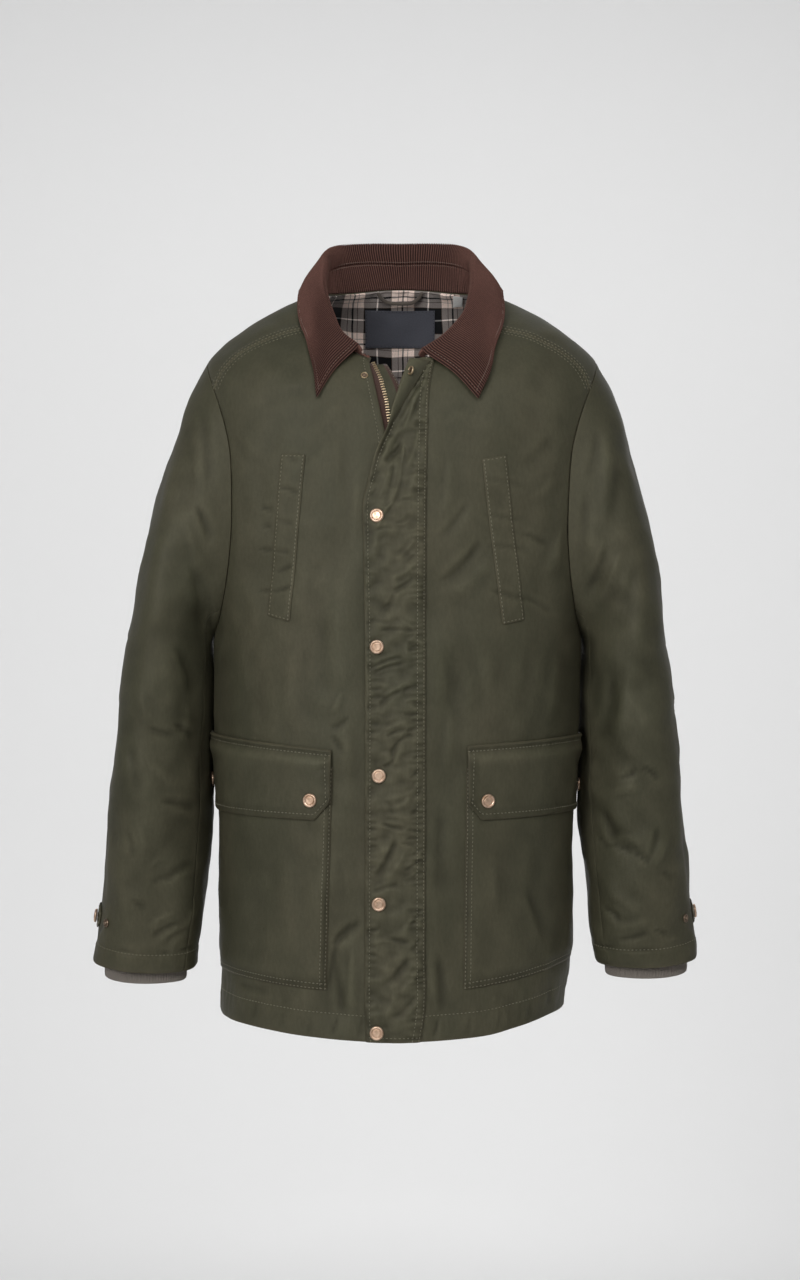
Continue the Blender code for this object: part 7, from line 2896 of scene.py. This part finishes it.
@dataclass
class Collar(Assembly):
    """Corduroy stand and fall.

    rows has a row for each station: angle round the neck, X, Y and Z of the seam inside the
    collar, X, Y and Z of its top roll, angle and length on the body under the fall's edge, and
    the fall's height over the body there.
    """

    rows: tuple = (
        (-25, -0.0410, -0.0897, -0.0570, -0.0433, -0.0962, -0.0500, -36.8, 0.694, 0.0066),
        (-36, -0.0586, -0.0785, -0.0440, -0.0618, -0.0860, -0.0345, -40.4, 0.737, 0.0068),
        (-50, -0.0693, -0.0560, -0.0225, -0.0727, -0.0640, -0.0095, -47.0, 0.780, 0.0066),
        (-70, -0.0800, -0.0260, 0.0080, -0.0820, -0.0300, 0.0240, -59.0, 0.812, 0.0065),
        (-92, -0.0815, 0.0080, 0.0340, -0.0830, 0.0080, 0.0520, -84.0, 0.834, 0.0080),
        (-115, -0.0780, 0.0420, 0.0500, -0.0815, 0.0450, 0.0730, -112.0, 0.836, 0.0110),
        (-138, -0.0600, 0.0680, 0.0600, -0.0650, 0.0710, 0.0835, -138.0, 0.834, 0.0120),
        (-160, -0.0320, 0.0800, 0.0640, -0.0340, 0.0850, 0.0875, -160.0, 0.832, 0.0120),
        (-180, 0.0000, 0.0840, 0.0640, 0.0000, 0.0890, 0.0880, -180.0, 0.832, 0.0120),
        (-200, 0.0320, 0.0800, 0.0640, 0.0345, 0.0850, 0.0877, -200.0, 0.832, 0.0115),
        (-222, 0.0590, 0.0680, 0.0598, 0.0640, 0.0710, 0.0832, -222.0, 0.834, 0.0105),
        (-245, 0.0765, 0.0420, 0.0490, 0.0800, 0.0450, 0.0710, -247.0, 0.837, 0.0090),
        (-268, 0.0800, 0.0080, 0.0320, 0.0812, 0.0080, 0.0500, -276.0, 0.837, 0.0072),
        (-290, 0.0768, -0.0260, 0.0070, 0.0783, -0.0300, 0.0220, -301.0, 0.814, 0.0064),
        (-310, 0.0655, -0.0560, -0.0240, 0.0680, -0.0650, -0.0120, -313.6, 0.780, 0.0070),
        (-324, 0.0490, -0.0785, -0.0440, 0.0500, -0.0880, -0.0350, -319.5, 0.737, 0.0085),
        (-345, 0.0225, -0.0910, -0.0620, 0.0230, -0.0985, -0.0545, -326.3, 0.696, 0.0085),
    )
    roll: float = 0.0045
    tight_roll: float = 0.0026
    stand_ends: tuple[float, float] = (25.0, 330.0)
    stand_tip: tuple = (-20.0, -0.0345, -0.0925, -0.0608)  # its front end: angle, top X, Y and Z
    clear: float = 0.0014
    belly: float = 0.0040
    inner_length: float = 0.035
    wale_pitch: float = 0.0028
    wale_height: float = 0.0016
    samples: int = 4

    def stations(self) -> Array:
        """Angles round the neck, several for each wale, evenly along the roll.

        Returns:
            The angles in degrees.
        """
        table = np.asarray(self.rows, float)
        keys = -table[:, 0]
        fine = np.linspace(keys[0], keys[-1], 400)
        roll = smooth(np.column_stack([keys, table[:, 4:7]]), fine)
        run = run_length(roll[:, None], 0)[:, 0]
        count = int(round(run[-1] / self.wale_pitch)) * self.samples
        return np.interp(np.linspace(0, run[-1], count + 1), run, fine)

    def columns(self, shop: Workshop, stations: Array) -> dict[str, Array]:
        """Neckline, seam, roll, edge and outward way at each station.

        Args:
            shop: The workshop.
            stations: Angles round the neck.

        Returns:
            Values by name, one for each station.
        """
        table = np.asarray(self.rows, float)
        rows = smooth(np.column_stack([-table[:, 0], table[:, 1:]]), stations)
        edge_angle, edge_up = np.radians(rows[:, 6]), rows[:, 7]
        edge = shop.body.place(edge_angle, edge_up, rows[:, 8])
        neck_angle = -np.radians(stations)
        outward = edge - rows[:, 3:6]
        outward[:, 2] = 0
        return {
            "neck": shop.body.bare(neck_angle, np.full_like(stations, NECKLINE)),
            "seam": rows[:, 0:3],
            "roll": rows[:, 3:6],
            "edge": edge,
            "outward": unit(outward),
            "edge_angle": edge_angle,
            "edge_up": edge_up,
        }

    @staticmethod
    def profile(stages: tuple, shares: Array) -> Array:
        """Points on a smooth line through the stages, at the given shares.

        Args:
            stages: Rows of points that the line runs through.
            shares: Shares of its length.

        Returns:
            A row of points for each share.
        """
        stack = np.array(stages)
        count, columns = stack.shape[:2]
        lengths = np.linalg.norm(np.diff(stack, axis=0), axis=-1).mean(axis=1)
        keys = np.concatenate([[0], np.cumsum(lengths)])
        table = np.column_stack([keys / keys[-1], stack.reshape(count, -1)])
        return smooth(table, shares).reshape(len(shares), columns, 3)

    def wales(self, rows: int, columns: int) -> tuple[Array, Array]:
        """Height of the wales, and how deep each point lies between them, which the corduroy finish paints as
        shade.

        Args:
            rows: How many rows.
            columns: How many columns.

        Returns:
            Heights and depths of the whole grid.
        """
        phase = np.arange(columns) % self.samples / self.samples
        crest = np.abs(np.cos(phase * math.pi)) ** 3.6
        height = (crest - 0.5) * self.wale_height
        return np.tile(height, (rows, 1)), np.tile(1 - crest, (rows, 1))

    def lay(self, shop: Workshop, node: str, points: Array, seams: dict[Edge, Seam]) -> None:
        """Makes a corduroy piece.

        Args:
            shop: The workshop.
            node: The frame node that it stands for.
            points: Its smooth outer face.
            seams: How its edges are sewn.
        """
        face = Face(points, grid_normals(points), np.zeros(points.shape[:2]))
        height, depth = self.wales(*points.shape[:2])
        face.relief += height
        for edge, seam in seams.items():
            face.sew(edge, seam)
        # The depth between the wales goes in as the wear value; the corduroy finish paints shade with it.
        face.wear = depth
        stitches, face.stitches = face.stitches, []
        shop.cloth(
            node + "_cord", face, CORDUROY, Look.CORDUROY, nodes=(node,),
        )
        shop.sew(Look.BROWN_THREAD, stitches)

    def build(self, shop: Workshop) -> None:
        """Makes the stand and the fall.

        Args:
            shop: The workshop.
        """
        stations = self.stations()
        c = self.columns(shop, stations)
        up = np.array([0, 0, 1.0])
        kept = (stations >= self.stand_ends[0]) & (stations <= self.stand_ends[1])
        tip_angle, *tip_top = self.stand_tip
        tip = shop.body.place(np.radians(tip_angle), np.array(NECKLINE))
        reach = np.linspace(0, 1, 2 * self.samples, endpoint=False)[:, None]
        first = int(np.argmax(kept))
        low = np.concatenate([tip + (c["neck"][first] - tip) * reach, c["neck"][kept]])
        high = np.concatenate([tip_top + (c["seam"][first] - tip_top) * reach, c["seam"][kept]])
        rise = unit(high - low)
        shares = spaced(0.030, 0.0042)
        stand = self.profile((low + rise * 0.0007, high - rise * 0.0007), shares)
        stand_seams = {
            Edge.TOP: Seam(dip=0.0003, rows=(0.0016,), pucker=0.0004, pitch=0.012),
            Edge.BOTTOM: Seam(dip=0.0006, pucker=0.0010, pitch=0.016, reach=0.012),
        }
        self.lay(shop, "collar_stand", stand, stand_seams)
        height = np.linalg.norm(c["roll"] - c["seam"], axis=-1, keepdims=True)
        radius = np.clip(0.40 * height, self.tight_roll, self.roll)
        inside = c["roll"] - c["outward"] * radius - up * radius * 1.2
        outside = c["roll"] + c["outward"] * radius - up * radius * 0.9
        middle = (outside + c["edge"]) / 2 + (c["outward"] * 0.7 + up * 0.7) * self.belly
        rims = np.array(RIMS) / self.inner_length
        inner_shares = np.concatenate([rims[:-1], np.linspace(rims[-1], 1, 10)])
        inner_rows = self.profile((c["seam"], inside, c["roll"], outside), inner_shares)
        outer_shares = spaced(0.075, 0.0042, first=False)[1:]
        outer_rows = self.profile((outside, middle, c["edge"]), outer_shares)
        outer_rows = self.clear_body(shop, outer_rows, outer_shares, c, -np.radians(stations))
        face = np.concatenate([inner_rows, outer_rows])
        fall_seams = {
            Edge.BOTTOM: Seam(dip=0.0003, rows=(0.0016,), pucker=0.0003),
            Edge.TOP: Seam(dip=0.0012, band=0.0004, reach=0.005, rows=(0.0055,), trim=(0.0055, 0.0055)),
            Edge.LEFT: Seam(dip=0.0010, rows=(0.0055,), trim=(0.012, 0.0055)),
            Edge.RIGHT: Seam(dip=0.0010, rows=(0.0055,), trim=(0.012, 0.0055)),
        }
        self.lay(shop, "collar_fall", face, fall_seams)

    def clear_body(
        self, shop: Workshop, rows: Array, shares: Array, c: dict[str, Array], neck_angle: Array
    ) -> Array:
        """Keeps the fall clear of the shoulders and chest under it.

        Args:
            shop: The workshop.
            rows: Points of the fall from its roll to its edge.
            shares: Share of the way of each row.
            c: The columns.
            neck_angle: Angle of each column at the neckline.

        Returns:
            The points, moved out where they were too low.
        """
        need = CORDUROY + self.clear
        for k, share in enumerate(shares):
            angle = neck_angle + (c["edge_angle"] - neck_angle) * share
            up = NECKLINE + (c["edge_up"] - NECKLINE) * share
            outward = shop.body.normal(angle, np.minimum(up, NECKLINE - 0.001))
            height = ((rows[k] - shop.body.place(angle, up)) * outward).sum(axis=-1)
            rows[k] += outward * np.maximum(need - height, 0)[:, None]
        return rows


@dataclass
class NeckInside(Assembly):
    """Check lining, blank label, blank size tag and hanger loop."""

    lining: float = 0.0008
    label_half: float = 0.0395
    label_heights: tuple[float, float] = (-0.0290, 0.0110)
    tag_middle: float = 0.0650
    tag_half: float = 0.0052
    tag_heights: tuple[float, float] = (0.0130, 0.0270)
    loop_half: float = 0.0260
    loop_top: float = 0.0310
    loop_sag: float = 0.0130
    loop_radius: float = 0.0020
    tag_thick: float = 0.0006
    search_steps: int = 40

    def on_back_inside(self, body: Body, x: Array, z: Array, depth: Array | float) -> Array:
        """Finds points inside the back of the neck by halving.

        Args:
            body: The body surface.
            x: X of each point.
            z: Z of each point.
            depth: Depth of each under the surface.

        Returns:
            The points.
        """
        x, z, depth = np.broadcast_arrays(np.asarray(x, float), np.asarray(z, float), depth)
        low, high = np.full(x.shape, 0.60), np.full(x.shape, NECKLINE)
        angle = math.pi - np.arcsin(np.clip(x / 0.11, -1, 1))
        for _ in range(self.search_steps):
            middle = (low + high) / 2
            place = body.place(angle, middle, -depth)
            below = place[..., 2] < z
            low, high = np.where(below, middle, low), np.where(below, high, middle)
            angle = angle + np.clip((place[..., 0] - x) / 0.12, -0.05, 0.05)
        return body.place(angle, (low + high) / 2, -depth)

    def build(self, shop: Workshop) -> None:
        """Makes what shows inside the neck.

        Args:
            shop: The workshop.
        """
        panels = BodyPanels()
        steps = np.linspace(0, panels.yoke_columns, 170)
        shares = spaced(0.12, 0.0040) * 0.75 + 0.25
        grid = panels.yoke_grid(shop.body, steps, shares)
        base, normals, relief = shop.body.face(grid[..., 0], grid[..., 1])
        face = Face(base, normals, relief - CLOTH - LAY_GAP)
        puckers = Ripple(seed=5, height=0.0009, longest=0.03, shortest=0.008, count=24).at(base)
        near_top = np.exp(-((face.distance(Edge.TOP) / 0.012) ** 2))
        face.inner_relief = face.relief + puckers * near_top - 0.0004 * near_top
        shop.cloth(
            "neck_lining_check", face, self.lining, Look.FLANNEL, nodes=("neck_lining",),
            chart=face.chart(0.5, from_top=True),
        )
        self.tags(shop)
        self.loop(shop)

    @staticmethod
    def stretched(corners: Array, across: Array, upward: Array) -> Array:
        """A grid pulled flat between four corners, rows going up."""
        low, high = (row[0] + (row[1] - row[0]) * across[:, None] for row in corners)
        return low + (high - low) * upward[:, None, None]

    def tags(self, shop: Workshop) -> None:
        """The blank label and the blank size tag.

        Args:
            shop: The workshop.
        """
        depth = CLOTH + LAY_GAP + self.lining + 0.0012
        for name, middle, half, heights, look in (
            ("neck_label", 0.0, self.label_half, self.label_heights, Look.LABEL),
            ("size_tag", self.tag_middle, self.tag_half, self.tag_heights, Look.TAG),
        ):
            across = spaced(half * 2, 0.002) * 2 - 1
            upward = spaced(heights[1] - heights[0], 0.002)
            grid = across, heights[0] + (heights[1] - heights[0]) * upward
            if look is Look.TAG:
                grid = np.array([-1.0, 1.0]), heights
            x, z = np.meshgrid(middle + half * grid[0], grid[1])
            far, near = (
                self.on_back_inside(shop.body, x, z, under) for under in (depth, depth + self.tag_thick)
            )
            if look is Look.TAG:
                far, near = (self.stretched(corners, (across + 1) / 2, upward) for corners in (far, near))
            normals = unit(near - far)
            face = Face(near, normals, np.zeros(near.shape[:2]))
            for edge in Edge:
                face.sew(edge, Seam(dip=0.0003, rows=(0.0015,), trim=(0.0015, 0.0015), wear=0.0))
            stitches, face.stitches = face.stitches, []
            shop.cloth(
                name + "_weave", face, self.tag_thick, look, nodes=(name,),
            )
            if name == "neck_label":
                shop.sew(Look.SLATE_THREAD, stitches)

    def loop(self, shop: Workshop) -> None:
        """The hanger loop, a narrow tube of cloth that sags between its sewn ends.

        Args:
            shop: The workshop.
        """
        share = np.linspace(-1, 1, 41)
        heights = self.loop_top - self.loop_sag * (1 - share**4)
        depth = CLOTH + LAY_GAP + self.lining + 0.0006 + self.loop_radius + 0.0040 * (1 - share**2)
        path = self.on_back_inside(shop.body, self.loop_half * share, heights, depth)
        piece = tube("hanger_loop_cloth", path, self.loop_radius * 1.1, 12, 0.7)
        shop.dress(piece, Look.LOOP)
        shop.deliver(piece, Look.LOOP, "hanger_loop")


# ------------------------------------------------------------------ stage
@dataclass
class Studio:
    """Pale floor that sweeps up all round, soft lights and the camera."""

    floor_z: float = -1.56
    flat_radius: float = 2.6
    sweep: float = 2.2
    wall_top: float = 4.5
    neck_watts: float = 38.0
    neck_beam: float = math.radians(9.2)
    neck_soft: float = 0.12
    neck_lamp: tuple[float, float, float] = (0.0, -1.3, 1.05)
    surround: float = 0.215
    camera_y: float = -2.60
    camera_z: float = -0.363
    focal_px: float = 2363.6
    image_height: float = 1280.0
    sensor: float = 36.0

    def build(self) -> None:
        """Makes the stage."""
        self.backdrop()
        self.lights()
        self.camera()

    def backdrop(self) -> None:
        """The floor and its sweep, one turned sheet."""
        arc = np.linspace(0, math.pi / 2, 14)
        radii = [0.0, 0.8, 1.7, self.flat_radius]
        heights = [self.floor_z] * 4
        radii += [self.flat_radius + self.sweep * math.sin(a) for a in arc[1:]]
        heights += [self.floor_z + self.sweep * (1 - math.cos(a)) for a in arc[1:]]
        radii.append(self.flat_radius + self.sweep)
        heights.append(self.wall_top)
        sides = 64
        points, faces = [(0.0, 0.0, heights[0])], []
        for radius, height in zip(radii[1:], heights[1:]):
            for k in range(sides):
                turn = TURN * k / sides
                points.append((radius * math.cos(turn), radius * math.sin(turn), height))
        for k in range(sides):
            faces.append((0, 1 + k, 1 + (k + 1) % sides))
        for r in range(len(radii) - 2):
            a, b = 1 + r * sides, 1 + (r + 1) * sides
            for k in range(sides):
                n = (k + 1) % sides
                faces.append((a + k, b + k, b + n, a + n))
        mesh = bpy.data.meshes.new("studio_floor")
        mesh.from_pydata(points, [], faces)
        mesh.shade_smooth()
        floor = put("studio_floor", mesh)
        material = bpy.data.materials.new("studio_pale")
        material.use_nodes = True
        shader = material.node_tree.nodes["Principled BSDF"]
        shader.inputs["Base Color"].default_value = (0.73, 0.73, 0.73, 1)
        shader.inputs["Roughness"].default_value = 0.9
        shader.inputs["Specular IOR Level"].default_value = 0.1
        mesh.materials.append(material)

    def lights(self) -> None:
        """Large soft lights and an even surround."""
        # Columns: name, place, size, power, aimed at.
        table = (
            ("key", (-1.50, -3.05, 0.60), 1.1, 41.0, (0.0, 0.0, -0.36)),
            ("front", (0.45, -2.3, 1.0), 0.9, 13.5, (0.0, 0.0, -0.20)),
            ("fill", (2.6, -2.7, 0.1), 2.2, 2.5, (0.0, 0.0, -0.40)),
            ("top", (0.0, -0.8, 2.6), 1.6, 3.0, (0.0, 0.0, -0.3)),
            ("rear", (0.6, 2.4, 1.2), 2.2, 8.0, (0.0, 0.0, -0.3)),
            ("wall", (0.0, 1.6, 1.0), 1.6, 72.0, (0.0, 4.8, -0.3)),
        )
        for name, place, size, power, target in table:
            light = bpy.data.lights.new(name, "AREA")
            light.size = size
            light.energy = power
            holder = aim(put(name, light), place, np.array(target) - np.array(place))
            holder.visible_camera = False
        light = bpy.data.lights.new("neck", "SPOT")
        light.energy, light.spot_size, light.spot_blend = self.neck_watts, self.neck_beam, 0.8
        light.shadow_soft_size = self.neck_soft
        aim(put("neck", light), self.neck_lamp, np.array([0.0, 1.34, -1.08]))
        world = bpy.data.worlds.new("surround")
        world.use_nodes = True
        back = world.node_tree.nodes["Background"]
        back.inputs["Color"].default_value = (1.0, 1.0, 1.0, 1)
        back.inputs["Strength"].default_value = self.surround
        bpy.context.scene.world = world

    def camera(self) -> None:
        """A level camera in front."""
        lens = bpy.data.cameras.new("camera")
        lens.sensor_fit = "VERTICAL"
        lens.sensor_height = self.sensor
        lens.sensor_width = self.sensor
        lens.lens = self.focal_px / self.image_height * self.sensor
        place = (0.0, self.camera_y, self.camera_z)
        bpy.context.scene.camera = aim(put("camera", lens), place, np.array([0.0, 1.0, 0.0]))
        bpy.context.scene.view_settings.view_transform = "Standard"


def aim(holder: bpy.types.Object, place: tuple, way: Array) -> bpy.types.Object:
    """Points a light or a camera.

    Args:
        holder: Its object.
        place: Where it stands.
        way: Direction that it looks in, with its top up.

    Returns:
        The object.
    """
    turn: Quaternion = Vector(way.tolist()).to_track_quat("-Z", "Y")
    holder.location = place
    holder.rotation_mode = "QUATERNION"
    holder.rotation_quaternion = turn
    return holder


def sleeve_creases(side: int, front: tuple) -> tuple[Creases, ...]:
    """All the creases of one sleeve: its own front, and shared ones behind and outside.

    Args:
        side: 1 for the wearer's left, -1 for the right.
        front: Rows of its own creases.

    Returns:
        The creases.
    """
    behind = tuple(
        (side * a, b, side * c, d, side * bow, *rest) for a, b, c, d, bow, *rest in SLEEVE_BACK_CREASES
    )
    outside = Facing.LEFT if side > 0 else Facing.RIGHT
    return (
        Creases(Facing.FRONT, front), Creases(Facing.BACK, behind), Creases(outside, SLEEVE_SIDE_CREASES),
    )


def main() -> None:
    """Builds the jacket and its stage."""
    logging.basicConfig(level=logging.INFO, format="%(message)s")
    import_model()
    Studio().build()
    body = Body()
    sleeves = {
        "r": Sleeve(-1, body, sleeve_creases(-1, SLEEVE_R_CREASES), Ripple(seed=23, height=0.0008)),
        "l": Sleeve(1, body, sleeve_creases(1, SLEEVE_L_CREASES), Ripple(seed=31, height=0.0008)),
    }
    shop = Workshop(body, sleeves, Effects(), Repeats())
    for assembly in (BodyPanels(), SleevePair(), Collar(), NeckInside(), Closure(), Pockets()):
        LOG.info("building %s", type(assembly).__name__)
        assembly.build(shop)
    shop.finish_threads()


if __name__ == "__main__":
    main()
